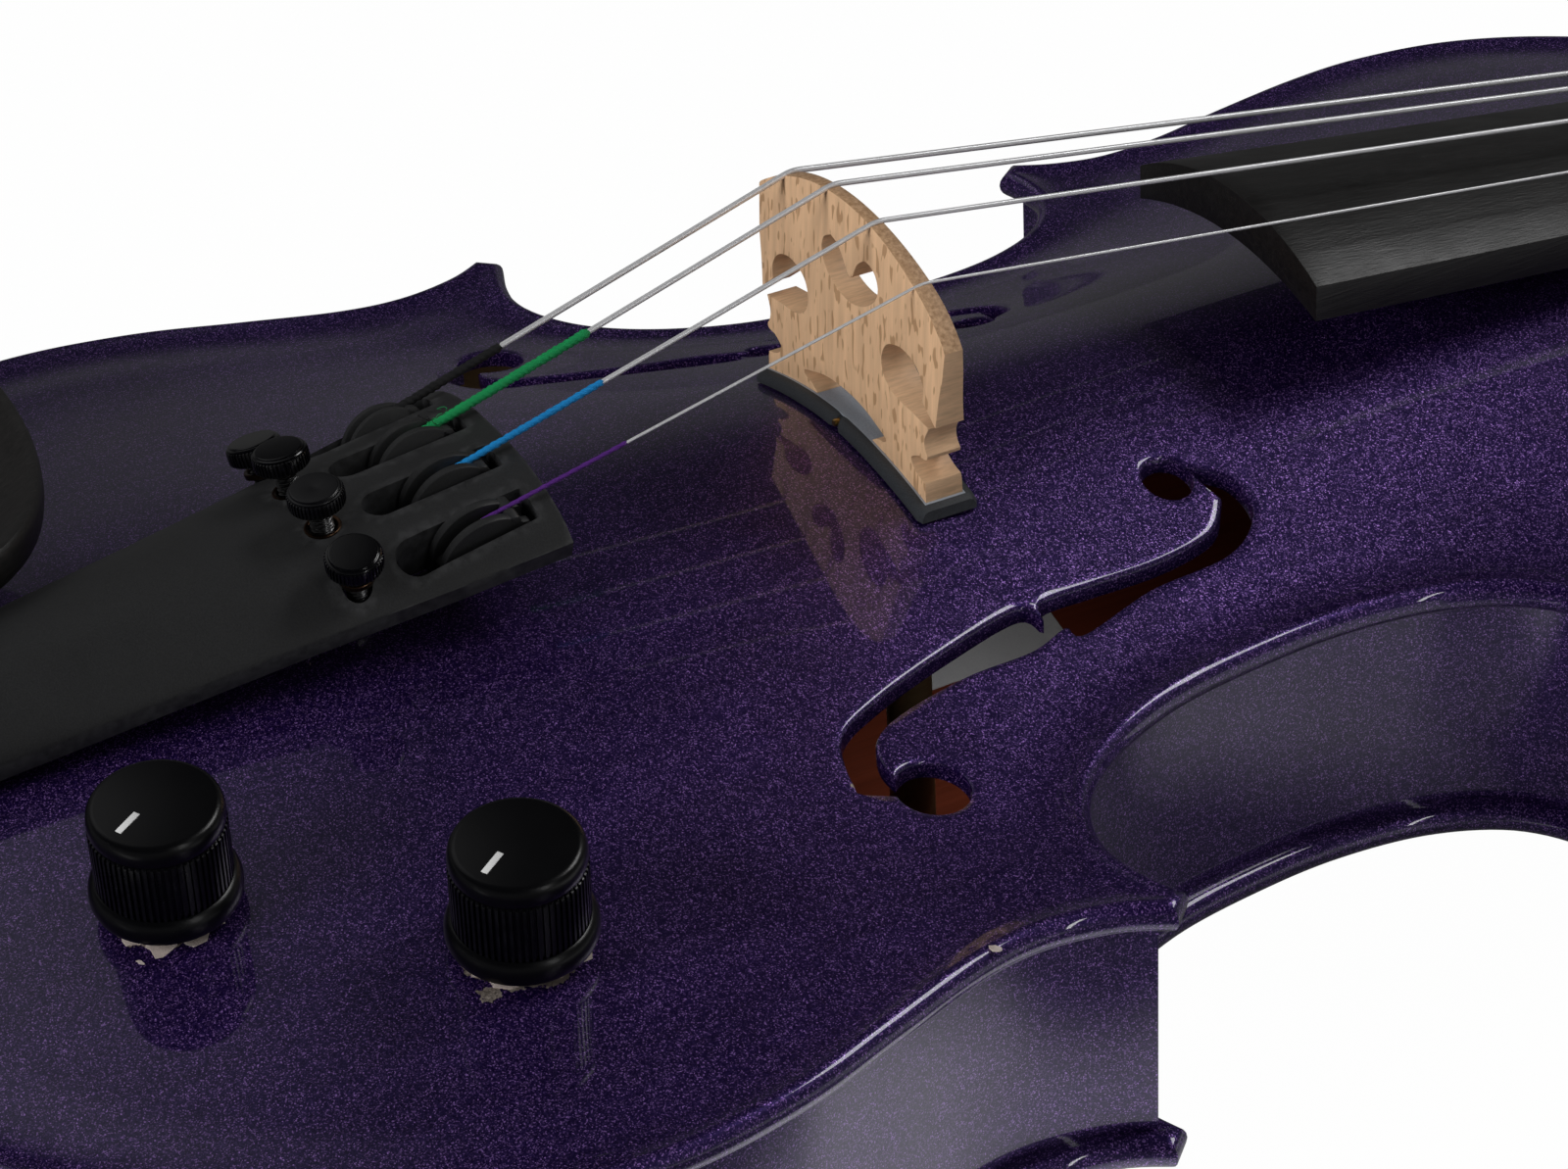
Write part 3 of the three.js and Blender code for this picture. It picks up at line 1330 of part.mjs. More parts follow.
const gutReach = endButtonNeckDiameter / 2 + gap + gutDiameter / 2;
const gutY = endButtonFace - endButtonNeckLength / 2;
const gutTop = saddleHigh + gap + gutDiameter / 2;
const gutHalf = [
  [gutSpread * 0.8, tailpieceBack + tailpiecePlug * 0.7, tailEdge(tailpieceBack) + 2.6],
  [gutSpread * 0.8, tailpieceBack - gutDiameter / 2, tailEdge(tailpieceBack) + 2.6],
  [gutSpread * 0.85, saddleDepth * 0.55, gutTop],
  [gutSpread * 0.9, saddleDepth * 0.12, gutTop - gap],
  [gutSpread * 0.95, -gutDiameter * 1.1, saddleHigh - 1.8],
  [gutReach, -gutDiameter / 2, ribTop - gutDiameter],
  [gutReach, gutY, endButtonHeight + gutReach],
];
const gutLoop = Array.from({ length: 9 }, (_, k) => {
  const angle = (Math.PI * k) / 8;
  return [gutReach * Math.cos(angle), gutY, endButtonHeight - gutReach * Math.sin(angle)];
});
const gutOther = gutHalf.map(([x, y, z]) => [-x, y, z]).reverse();
place("tail_gut", tube([...gutHalf, ...gutLoop, ...gutOther], gutDiameter, 6), "plastic");

// Chin rest: a dished cup over the bass lower bout, held by a bracket and two threaded barrels

function restRing(share, height) {
  return Array.from({ length: restStepsRound }, (_, k) => {
    const angle = (2 * Math.PI * (k + 0.5)) / restStepsRound;
    const c = Math.cos(angle);
    const s = Math.sin(angle);
    const reach = (Math.abs(c) ** restPower + Math.abs(s) ** restPower) ** (-1 / restPower);
    return [restCentreX + share * restHalfLength * reach * c, restCentreY + share * restHalfWidth * reach * s, height];
  });
}

const restUnder = restTop - restRim;
const cupRings = [
  restRing(restRingShares[2], restTop - restDish),
  restRing(restRingShares[1], restTop - restDish * 0.75),
  restRing(restRingShares[0], restTop - 1),
  restRing(0.97, restTop),
  restRing(1, restTop - restRim * 0.4),
  restRing(0.975, restUnder),
  restRing(restRingShares[1], restUnder - 2.4),
  restRing(restRingShares[2], restUnder - restDish * 0.6),
];
// The clamp stands in its own frame: X along the body's edge, Y inwards, origin on the edge.
const clampEdge = lowerCurve.reduce((best, point) =>
  (Math.abs(point[0] + clampPlace) < Math.abs(best[0] + clampPlace) ? point : best));
const clampGroup = new THREE.Group();
clampGroup.position.set(-clampEdge[0], clampEdge[1], 0);
clampGroup.rotation.z = THREE.MathUtils.degToRad(clampTurn);
clampGroup.updateMatrix();
body.add(clampGroup);
const clampHalf = clampSpan / 2 + barrelDiameter / 2 + 1;
const padFront = clampClear;
// The cup's foot follows the belly under it.
const padRing = (inwards) => {
  const low = [-clampHalf, clampHalf].map((x) => {
    const at = new THREE.Vector3(x, inwards, 0).applyMatrix4(clampGroup.matrix);
    return bellyTop(at.x, at.y) + gap;
  });
  return [
    [-clampHalf, inwards, low[0]], [clampHalf, inwards, low[1]],
    [clampHalf, inwards, restUnder], [-clampHalf, inwards, restUnder],
  ];
};
const restFoot = loft([0, 0.5, 1].map((share) => padRing(padFront + share * clampPadDepth)))
  .applyMatrix4(clampGroup.matrix);
place("chin_rest_cup", join(loft(cupRings), restFoot), "ebony");

const barrelY = -clampClear - barrelDiameter / 2;
const plateBack = barrelY - barrelDiameter / 2 - 0.5;
const rodHoles = (low, high) => [-1, 1].map((side) =>
  rod(barrelRodDiameter + 2 * gap, low, high, 12).translate((side * clampSpan) / 2, barrelY, 0));
const upperShelf = box(-clampHalf, clampHalf, plateBack, padFront - gap, clampShelf, clampShelf + clampPlate);
const upperSkirt = box(-clampHalf, clampHalf, padFront - gap - clampPlate, padFront - gap,
  clampShelf, clampShelf + clampSkirt);
place("chin_rest_bracket", cut(
  join(upperShelf, upperSkirt),
  ...rodHoles(clampShelf - overrun, clampShelf + clampPlate + overrun),
), "steel", clampGroup);

// The cork on the lower plate follows the back's arching.
const backOver = (x, inwards) => {
  const at = new THREE.Vector3(x, inwards, 0).applyMatrix4(clampGroup.matrix);
  return backBottom(at.x, at.y) - gap;
};
const corkDeep = [-clampHalf, clampHalf].map((x) => backOver(x, clampPadDepth));
const footLow = Math.min(...corkDeep) - clampCork - clampPlate;
const corkRing = (inwards) => [
  [-clampHalf, inwards, footLow], [clampHalf, inwards, footLow],
  [clampHalf, inwards, backOver(clampHalf, inwards)], [-clampHalf, inwards, backOver(-clampHalf, inwards)],
];
place("chin_rest_foot", cut(
  join(
    box(-clampHalf, clampHalf, plateBack, clampPadDepth, footLow, footLow + clampPlate),
    loft([0, 0.5, 1].map((share) => corkRing(padFront + share * (clampPadDepth - padFront)))),
  ),
  ...rodHoles(footLow - overrun, footLow + clampPlate + overrun),
), "steel", clampGroup);

const barrelMiddle = (footLow + clampShelf) / 2;
["inner", "outer"].forEach((name, i) => {
  const barrel = turned([
    [0, footLow], [barrelRodDiameter / 2, footLow], [barrelRodDiameter / 2, barrelMiddle - barrelLength / 2],
    [barrelDiameter / 2, barrelMiddle - barrelLength / 2 + 1], [barrelDiameter / 2, barrelMiddle + barrelLength / 2 - 1],
    [barrelRodDiameter / 2, barrelMiddle + barrelLength / 2], [barrelRodDiameter / 2, clampShelf + clampPlate],
    [0, clampShelf + clampPlate],
  ], 14);
  barrel.translate((i === 0 ? 1 : -1) * clampSpan / 2, barrelY, 0);
  place(`chin_rest_barrel_${name}`, barrel, "steel", clampGroup);
});

// Controls: each knob on the shaft of a rotary pot that hangs under the belly

knobGroups.forEach((group, i) => {
  const name = ["volume", "tone"][i];
  // The pot's top is as high as the inside of the arch round its hole lets it be.
  const seats = Array.from({ length: potSeatSteps }, (_, k) => {
    const angle = (2 * Math.PI * k) / potSeatSteps;
    const at = new THREE.Vector3((potDiameter / 2) * Math.cos(angle), (potDiameter / 2) * Math.sin(angle), 0)
      .applyMatrix4(group.matrix);
    return (bellyUnder(at.x, at.y) - at.z) * Math.cos(THREE.MathUtils.degToRad(knobTilt));
  });
  const potTop = Math.min(...seats) - gap;
  const potLow = potTop - potHeight;
  const bushTop = potBushRise;
  const boreRadius = potShaftDiameter / 2 + runningGap;
  place(`pot_${name}`, turned([
    [0, potLow], [potDiameter / 2, potLow], [potDiameter / 2, potTop], [potBushDiameter / 2, potTop],
    [potBushDiameter / 2, bushTop], [boreRadius, bushTop], [boreRadius, potLow + potFloor], [0, potLow + potFloor],
  ], 14), "steel", group);
  const low = -knobHubSink;
  const skirtLow = knobStandoff;
  const skirtTop = skirtLow + knobSkirtHeight;
  const top = skirtLow + knobHeight;
  const boreTop = low + (top - low) * knobBoreShare;
  place(`pot_shaft_${name}`, rod(potShaftDiameter, potLow + potFloor + runningGap, boreTop - gap, 12), "steel", group);
  const shell = turned([
    [0, boreTop], [potShaftDiameter / 2 + gap, boreTop], [potShaftDiameter / 2 + gap, bushTop + runningGap],
    [potBushDiameter / 2 + runningGap, bushTop + runningGap], [potBushDiameter / 2 + runningGap, low],
    [knobHubDiameter / 2, low], [knobHubDiameter / 2, skirtLow], [knobSkirtDiameter * 0.48, skirtLow],
    [knobSkirtDiameter / 2, skirtLow + knobSkirtHeight * 0.3], [knobSkirtDiameter / 2, skirtTop - knobSkirtHeight * 0.4],
    [knobTopDiameter / 2 - knobRibDepth * 2, skirtTop], [knobTopDiameter / 2 - knobRibDepth * 2, top - 2 * knobBevel],
    [knobTopDiameter / 2, top - 2 * knobBevel], [knobTopDiameter / 2, top - knobBevel], [knobFaceDiameter / 2, top],
    [0, top],
  ], 16);
  const ribs = cut(
    knurledDisc(knobTopDiameter - knobRibDepth * 2, skirtTop - knobSkirtHeight * 0.3, top - 1.9 * knobBevel,
      knobRibs, knobRibDepth),
    rod(knobHubDiameter, low, top + overrun, 12),
  );
  place(`knob_${name}`, join(shell, ribs), "gloss", group);
});

// Output socket and its nut

place("output_jack", turned([
  [0, -jackLength], [jackDiameter / 2, -jackLength], [jackDiameter / 2, gap], [jackFlangeDiameter / 2, gap],
  [jackFlangeDiameter / 2, gap + jackFlangeThickness * 0.6], [jackFlangeDiameter * 0.44, gap + jackFlangeThickness],
  [jackBore / 2, gap + jackFlangeThickness], [jackBore / 2, -jackLength + 2], [0, -jackLength + 2],
], 16), "plastic", jackGroup);
const nutSeat = -ribThickness - gap - jackWasher;
const hexagon = Array.from({ length: 6 }, (_, k) => {
  const angle = (Math.PI * (k + 0.5)) / 3;
  const radius = jackNutAcross / 2 / Math.cos(Math.PI / 6);
  return [radius * Math.cos(angle + Math.PI / 6), radius * Math.sin(angle + Math.PI / 6)];
});
place("jack_nut", cut(
  prism(hexagon, nutSeat - jackNutThickness, nutSeat),
  rod(jackDiameter + 2 * gap, nutSeat - 2 * jackNutThickness, overrun, 16),
), "steel", jackGroup);

// Leads inside the body

const potBase = (i, across) => new THREE.Vector3(across, 0, -potHeight - 2 * bellyThickness)
  .applyMatrix4(knobGroups[i].matrix);
const leadDrop = 6;
const leadShares = [[0.04, 0.05, 0.1], [0.34, 0.33, 0.55], [0.74, 0.7, 0.85]];
const leadStart = pickupTop(0) - pickupThickness - gap - leadDiameter / 2;
const leadEnd = potBase(0, -potDiameter / 4);
const leadLow = leadStart - leadDrop;
place("pickup_lead", tube([
  [0, bridgeStop, leadStart + leadDiameter / 2], [0, bridgeStop, leadLow],
  ...leadShares.map(([across, along, down]) => [
    across * leadEnd.x,
    bridgeStop + along * (leadEnd.y - bridgeStop),
    leadLow + down * (leadEnd.z - leadLow) - gap,
  ]),
  [leadEnd.x, leadEnd.y + leadDrop, leadEnd.z - leadDiameter], [leadEnd.x, leadEnd.y, leadEnd.z - gap],
], leadDiameter, 8), "plastic");
const jackEnd = new THREE.Vector3(0, 0, -jackLength - gap).applyMatrix4(jackGroup.matrix);
const jackIn = new THREE.Vector3(0, 0, -jackLength - gap - leadDrop).applyMatrix4(jackGroup.matrix);
const leadOut = potBase(0, potDiameter / 4);
place("output_lead", tube([
  [leadOut.x, leadOut.y, leadOut.z - gap], [leadOut.x, leadOut.y, leadOut.z - leadDrop / 2],
  jackIn.toArray(), jackEnd.toArray(),
], leadDiameter, 8), "plastic");

export default violin;
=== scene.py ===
import math

import bmesh
import bpy
import numpy as np
from bpy.props import FloatProperty, FloatVectorProperty, IntProperty, PointerProperty
from mathutils import Matrix, Vector
from mathutils.geometry import delaunay_2d_cdt


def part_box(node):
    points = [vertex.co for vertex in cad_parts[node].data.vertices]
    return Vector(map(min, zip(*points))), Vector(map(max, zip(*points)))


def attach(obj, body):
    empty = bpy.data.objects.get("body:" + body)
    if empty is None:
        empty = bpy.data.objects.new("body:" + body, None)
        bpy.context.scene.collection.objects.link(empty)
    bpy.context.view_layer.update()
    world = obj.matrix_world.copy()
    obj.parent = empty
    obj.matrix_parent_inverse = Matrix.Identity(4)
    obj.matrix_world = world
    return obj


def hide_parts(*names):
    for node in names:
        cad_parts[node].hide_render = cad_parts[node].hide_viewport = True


bl_info = {
    "name": "Electric Violin",
    "version": (1, 0, 0),
    "blender": (4, 5, 0),
    "location": "View3D > Sidebar > Violin",
    "description": "Dresses the violin's frame with its carved, lacquered and turned pieces",
    "category": "Add Mesh",
}

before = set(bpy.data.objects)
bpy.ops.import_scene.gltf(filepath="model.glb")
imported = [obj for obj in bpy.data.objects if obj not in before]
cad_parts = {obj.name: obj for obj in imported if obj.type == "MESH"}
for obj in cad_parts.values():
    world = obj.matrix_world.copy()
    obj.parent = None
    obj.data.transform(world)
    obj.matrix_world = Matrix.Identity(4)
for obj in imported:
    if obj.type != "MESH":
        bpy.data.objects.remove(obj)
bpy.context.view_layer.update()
ROOT = "violin"
MM = 0.001
REST_POINT = 190.0

# Half outline of the body as shares of the bouts' widths and of its length, as in the solids.
LOWER_BOUT_SHARES = [
    (0, 0), (0.21, 0.0025), (0.43, 0.0146), (0.632, 0.0407), (0.804, 0.08), (0.919, 0.129),
    (0.981, 0.174), (1, 0.225), (0.974, 0.2725), (0.923, 0.3146), (0.879, 0.351),
    (0.867, 0.3764), (0.882, 0.4003), (0.911, 0.4163),
]
WAIST_SHARES = [
    (1, 0, 0.4253), (0.839, 0, 0.4191), (0.684, 0, 0.4169), (0.516, 0, 0.4219),
    (0.347, 0, 0.4348), (0.192, 0, 0.4579), (0.0751, 0, 0.4888), (0.0155, 0, 0.5281),
    (0, 0, 0.5618), (0, 0.07, 0.5955), (0, 0.26, 0.622), (0, 0.54, 0.6365), (0, 0.8, 0.6385),
    (0, 1, 0.636),
]
UPPER_BOUT_SHARES = [
    (0.968, 0.6455), (0.932, 0.6615), (0.91, 0.6826), (0.92, 0.7107), (0.956, 0.7472),
    (0.99, 0.7893), (1, 0.8258), (0.971, 0.868), (0.89, 0.9073), (0.756, 0.9438),
    (0.573, 0.9719), (0.366, 0.9893), (0.171, 0.9978), (0, 1),
]
LOWER_TIP_SHARE = 0.882
UPPER_TIP_SHARE = 0.934
LOWER_ARCH_SHARES = (0, 0.469, 0.756, 0.943, 0.981, 0.785)
WAIST_ARCH_SHARES = (1.07, 1.08)
UPPER_ARCH_SHARES = (0.921, 0.97, 0.72, 0.378, 0)
SOUND_HOLE_INNER_SHARES = [
    (-0.155, 0.455), (-0.1, 0.4), (-0.072, 0.28), (-0.062, 0.13), (-0.05, 0.02), (-0.014, 0),
    (-0.048, -0.03), (0, -0.19), (0.07, -0.37), (0.135, -0.475), (0.25, -0.51),
]
SOUND_HOLE_OUTER_SHARES = [
    (0.29, -0.42), (0.2, -0.44), (0.13, -0.39), (0.07, -0.21), (0.046, -0.06), (0.012, 0.03),
    (0.036, 0.05), (-0.02, 0.22), (-0.045, 0.4), (-0.11, 0.49), (-0.19, 0.49), (-0.24, 0.43),
]
KNOB_PLACES = ((40.5, 48.5), (66.0, 80.6))
LAMPS = (
    ("key", (0.15, 0.9, 1.1), (0, 0, 0.05), (0.6, 0.35), 5.0, True),
    ("side", (1.2, 0.2, 0.7), (0, 0, 0.05), (0.055, 0.9), 1.5, True),
    ("front", (0.1, -1.2, 0.55), (0, 0, 0.05), (0.6, 0.6), 10.0, False),
    ("inside", (0.012, -0.02, 0.036), (-0.02, -0.01, 0), (0.01, 0.01), 0.006, False),
)
BRIDGE_SIDE_SHARES = (
    ((1.01, -0.01), (1.0, 0.032)),
    ((1.0, 0.032), (0.905, 0.05), (0.845, 0.08), (0.84, 0.115), (0.92, 0.152)),
    ((0.92, 0.152), (1.005, 0.158), (1.02, 0.185)),
    ((1.02, 0.185), (0.99, 0.225), (0.985, 0.28), (1.03, 0.338)),
    ((1.03, 0.338), (0.8, 0.358)),
    ((0.8, 0.358), (0.62, 0.37), (0.5, 0.415), (0.465, 0.485), (0.53, 0.557), (0.7, 0.588),
     (0.86, 0.563), (0.95, 0.5), (0.95, 0.43)),
    ((0.95, 0.43), (1.1, 0.36)),
    ((1.1, 0.36), (1.12, 0.47), (1.155, 0.58)),
)
BRIDGE_ARCH_SHARES = (
    (0, 0.18), (0.14, 0.175), (0.28, 0.155), (0.42, 0.12), (0.52, 0.09), (0.5, 0.065), (0.42, 0.055),
    (0.352, 0.03),
)
HEART_POINTS = (
    (-4, 43.3), (-2.2, 42.7), (-0.7, 41.4), (0.6, 39.9), (1.6, 39.7), (2.3, 41.0), (3.1, 42.2),
    (5, 43.3), (7.2, 42.7), (8.3, 41.0), (7.8, 39.2), (6.2, 37.8), (4.3, 36.8), (2.2, 36.3),
    (-0.2, 36.3), (-2.8, 37.0), (-5.0, 38.4), (-6.2, 40.3), (-5.9, 42.2), (-4, 43.3),
)
TAIL_STATION_SHARES = ((0, 0.38), (0.08, 0.45), (0.3, 0.605), (0.68, 0.81), (0.86, 0.93), (1, 1))
HEEL_SHARES = ((0, 0), (0.16, 0.05), (0.45, 0.16), (0.68, 0.33), (0.84, 0.62), (0.93, 1))
CUP_ROWS = (
    (0.02, 68.0), (0.2, 68.05), (0.4, 68.3), (0.55, 69.0), (0.7, 70.2), (0.82, 71.9), (0.9, 73.4),
    (0.945, 74.35), (0.968, 74.8), (0.985, 74.9), (0.996, 74.4), (1.0, 73.4), (1.0, 71.8),
    (0.992, 70.4), (0.975, 69.6), (0.9, 68.6), (0.7, 67.2), (0.4, 65.6), (0.02, 65.3),
)
CHIP_SPANS = (
    ((-74, -46, 1.6), (-44, -14, 3.4), (-8, 22, 3.2), (26, 54, 1.7)),
    ((-80, -60, 1.6), (-58, -30, 3.7), (4, 26, 0.8), (30, 58, 2.1)),
)
LOOSE_CHIPS = ((90.7, 126.8, 0.9, 0.5, 40), (47.6, 42.2, 0.7, 0.3, 30))
BARE_SPOTS = (
    ((0.0405, -0.1415, 0.0535), 0.0072, 0.0014), ((0.066, -0.1094, 0.0515), 0.0073, 0.0014),
    ((0.0584, -0.0616, 0.0505), 0.0016, 0.0014), ((0.0715, -0.1166, 0.0512), 0.0012, 0.0012),
)
TUNER_ANGLES = (-15.3, -5.2, 5.2, 15.3)
TUNER_RAISES = (0.0, 2.0, 2.0, 0.0)
STRING_DIAMETERS = (0.82, 0.76, 0.68, 0.4)
SILK_LENGTHS = (18.2, 26.3, 22.9, 20.6)
SOUND_EYES = (((-0.225, 0.385), 6.6), ((0.285, -0.39), 9.0))

FINISH = "finish_"

# Sizes that several pieces share: lengths in millimetres, turns in degrees, and plain shares
ROW_SHARE = 0.866
EDGE_RINGS = (0.12, 0.42, 0.9, 1.5, 2.1, 3.2, 4.6)
BODY_END = 356
STRIP_HEIGHT = 1.62
BRIDGE_HALF = 20.7
BRIDGE_HEIGHT = 32.7
BRIDGE_CROWN = 30.8
CROWN_RADIUS = 42
BOARD_LENGTH = 269.6
BOARD_WIDTHS = (24, 42.4)
BOARD_HEIGHTS = (44.75, 75.3)
BOARD_RADIUS = 42
BOARD_EDGE = 5
NUT_LENGTH = 5.8
PEGBOX_LENGTH = 70
PEGBOX_WIDTHS = (24, 19)
PEGBOX_WALL = 4.4
PEG_STEPS = (15, 30, 44, 57)
PEG_SIDES = (-1, 1, -1, 1)
PEG_TURNS = 3
TURN_STEPS = 24
TURN_PITCH = 1.3
TAIL_START = 8
TAIL_END = 110
TAIL_HALF = 21.2
TAIL_CROWN = 77.1
TAIL_CROWN_SLOPE = 0.12
TAIL_EDGE = 71.5
TAIL_EDGE_SLOPE = 0.165
TAIL_RADIUS = 56
TUNER_STOP = 102.5
SLOT_HALF = 2.55
SCREW_BACK = 18.1
LEVER_PIN = (0, 1, -5.2)
LEVER_REACH = 19.1
CLAMP_HALF = 17
CLAMP_DEGREES = -10.6
END_BUTTON_HEIGHT = 31

# The photo's camera: its place in metres, its turn, rise and roll, and its focal length
CAMERA_PLACE = (0.42705, -0.25541, 0.33484)
CAMERA_DEGREES = (63.407, 31.525, -3.047)
CAMERA_FOCAL_PIXELS = 4389.69
FRAME_WIDTH = 1600
SENSOR_WIDTH = 36.0


def measure(name, value, note="In mm"):
    return FloatProperty(name=name, description=note, default=value)


class ViolinBodySizes(bpy.types.PropertyGroup):
    length: measure("Body length", 356.0, "Button to neck, in mm")
    lower_width: measure("Lower bout", 209.0, "Widest part, in mm")
    waist_width: measure("Waist", 107.2, "Narrowest part, in mm")
    upper_width: measure("Upper bout", 164.0)
    rib_height: measure("Rib height", 30.0)
    back_arch: measure("Back arch", 14.5, "Height in mm")
    back_flat: measure("Back flat", 1.6, "Depth cut to a flat, in mm")
    belly_arch: measure("Belly arch", 18.0, "Height in mm")
    edge: measure("Edge thickness", 4.2)
    overhang: measure("Overhang", 3.0, "Edge past the ribs, in mm")
    channel: measure("Channel", 0.55, "Hollow inside the edge, in mm")
    belly_wall: measure("Belly wall", 2.8)
    back_wall: measure("Back wall", 3.2)
    rib_wall: measure("Rib wall", 1.2)
    control_hole: measure("Control hole", 13.0, "Diameter in mm")
    hole_length: measure("Sound hole", 72.0, "Length in mm")
    hole_offset: measure("Sound hole offset", 41.2)
    hole_stop: measure("Sound hole stop", 163.6)
    net: measure("Net spacing", 3.2, "Points over the arch, in mm")


class ViolinFittings(bpy.types.PropertyGroup):
    bridge_stop: measure("Bridge stop", 161.0)
    bridge_foot: measure("Foot thickness", 5.3)
    bridge_top: measure("Top thickness", 1.4)
    string_spacing: measure("Spacing on bridge", 11.3)
    nut_spacing: measure("Spacing on nut", 5.45)
    nut_stop: measure("Nut stop", 486.0)
    knob_ribs: IntProperty(name="Knob ribs", description="Ribs round a knob", default=64)
    head_knurls: IntProperty(name="Head knurls", description="Knurls on a screw", default=44)


def colour(name, value):
    return FloatVectorProperty(
        name=name, description=f"Colour of the {name.lower()}", subtype="COLOR", size=4,
        min=0.0, max=1.0, default=(*value, 1.0),
    )


class ViolinLooks(bpy.types.PropertyGroup):
    lacquer: colour("Lacquer", (0.014, 0.0035, 0.066))
    flake: colour("Flake", (0.38, 0.2, 0.64))
    maple: colour("Maple", (0.72, 0.46, 0.27))
    maple_fleck: colour("Maple fleck", (0.42, 0.23, 0.11))
    ebony: colour("Ebony", (0.007, 0.0062, 0.006))
    plastic: colour("Tailpiece plastic", (0.017, 0.0172, 0.018))
    gloss: colour("Gloss black", (0.0018, 0.0018, 0.0024))
    rubber: colour("Pickup strip", (0.035, 0.038, 0.043))
    spruce: colour("Spruce", (0.5, 0.33, 0.17))
    stained: colour("Inside wood", (0.12, 0.025, 0.012))
    steel: colour("Steel", (0.56, 0.56, 0.57))
    silk_g: colour("G silk", (0.012, 0.012, 0.013))
    silk_d: colour("D silk", (0.01, 0.3, 0.09))
    silk_a: colour("A silk", (0.01, 0.25, 0.62))
    silk_e: colour("E silk", (0.1, 0.02, 0.22))


# Lines and heights, in millimetres from the body's end


def smooth_line(rows, per=10):
    """Close points on a smooth line through the rows."""
    rows = [np.array(row, float) for row in rows]
    last = len(rows) - 1
    points = []
    for k in range(last):
        before, start, end = rows[max(k - 1, 0)], rows[k], rows[k + 1]
        after = rows[min(k + 2, last)]
        for step in range(per):
            t = step / per
            cubic = 3 * (start - end) + after - before
            square = 2 * before - 5 * start + 4 * end - after
            points.append(start + 0.5 * t * (end - before + t * (square + t * cubic)))
    points.append(rows[last])
    return np.array(points)


def even(points, step, closed=False):
    """The same line with points at even steps."""
    line = np.vstack([points, points[:1]]) if closed else np.asarray(points, float)
    lengths = np.r_[0, np.cumsum(np.linalg.norm(np.diff(line, axis=0), axis=1))]
    count = max(int(round(lengths[-1] / step)), 3)
    at = np.linspace(0, lengths[-1], count + 1)
    out = np.column_stack([np.interp(at, lengths, line[:, k]) for k in range(line.shape[1])])
    return out[:-1] if closed else out


def body_curves(body):
    """Lower bout, waist and upper bout of the treble side."""
    lower_half, waist_half = body.lower_width / 2, body.waist_width / 2
    upper_half = body.upper_width / 2
    lower_tip = lower_half * LOWER_TIP_SHARE - waist_half
    upper_tip = upper_half * UPPER_TIP_SHARE - waist_half
    lower = [(x * lower_half, y * body.length) for x, y in LOWER_BOUT_SHARES]
    waist = [
        (waist_half + low * lower_tip + high * upper_tip, y * body.length)
        for low, high, y in WAIST_SHARES
    ]
    upper = [(x * upper_half, y * body.length) for x, y in UPPER_BOUT_SHARES]
    return [smooth_line(rows) for rows in (lower, waist, upper)]


def whole(half):
    """A closed ring from the treble half of a line that starts and ends on the middle."""
    return np.vstack([half, (half * (-1, 1))[-2:0:-1]])


def body_ring(body, step=1.4):
    return whole(np.vstack([even(curve, step) for curve in body_curves(body)]))


def normals(ring, closed=True):
    """Unit vectors square to a line, pointing to its left."""
    after = np.roll(ring, -1, axis=0) - ring
    before = ring - np.roll(ring, 1, axis=0)
    if not closed:
        after[-1], before[0] = before[-1], after[0]
    after /= np.maximum(np.linalg.norm(after, axis=1, keepdims=True), 1e-9)
    before /= np.maximum(np.linalg.norm(before, axis=1, keepdims=True), 1e-9)
    along = after + before
    along /= np.maximum(np.linalg.norm(along, axis=1, keepdims=True), 1e-9)
    stretch = 1 / np.clip((along * after).sum(axis=1, keepdims=True), 0.6, 1)
    return np.column_stack([-along[:, 1], along[:, 0]]) * stretch


def distance_to(points, ring, closed=True):
    """Least distance of each point from a line."""
    ends = np.roll(ring, -1, axis=0) if closed else ring[1:]
    starts = ring if closed else ring[:-1]
    least = np.full(len(points), 1e9)
    for start, end in zip(starts, ends):
        along = end - start
        share = ((points - start) @ along) / max(along @ along, 1e-12)
        gaps = points - start - np.clip(share, 0, 1)[:, None] * along
        least = np.minimum(least, (gaps**2).sum(axis=1))
    return np.sqrt(least)


def inside(points, ring):
    """Whether each point lies in a closed ring."""
    x, y = points[:, 0], points[:, 1]
    found = np.zeros(len(points), bool)
    for (ax, ay), (bx, by) in zip(ring, np.roll(ring, -1, axis=0)):
        crosses = (ay > y) != (by > y)
        if ay != by:
            found ^= crosses & (x < (bx - ax) * (y - ay) / (by - ay) + ax)
    return found


def arch_share(body, x, y):
    """Height of the arch over a place, as a share of its crown."""
    table = [s * body.lower_width / 2 for s in LOWER_ARCH_SHARES]
    table += [s * body.waist_width / 2 for s in WAIST_ARCH_SHARES]
    table += [s * body.upper_width / 2 for s in UPPER_ARCH_SHARES]
    table = np.array([-table[1], *table, -table[-2]])
    share = np.clip(y / body.length, 0, 1)
    place = np.arccos(1 - 2 * share) / math.pi * (len(table) - 3)
    k = np.minimum(place.astype(int), len(table) - 4)
    t = place - k
    p0, p1, p2, p3 = (table[k + i] for i in range(4))
    square = 2 * p0 - 5 * p1 + 4 * p2 - p3
    width = p1 + 0.5 * t * (p2 - p0 + t * (square + t * (3 * (p1 - p2) + p3 - p0)))
    across = np.minimum(np.abs(x) / np.maximum(width, body.edge) / 0.95, 1)
    cross = ((1 + np.cos(math.pi * across)) / 2) ** 0.85
    return cross * np.sin(math.pi * share) ** 0.62


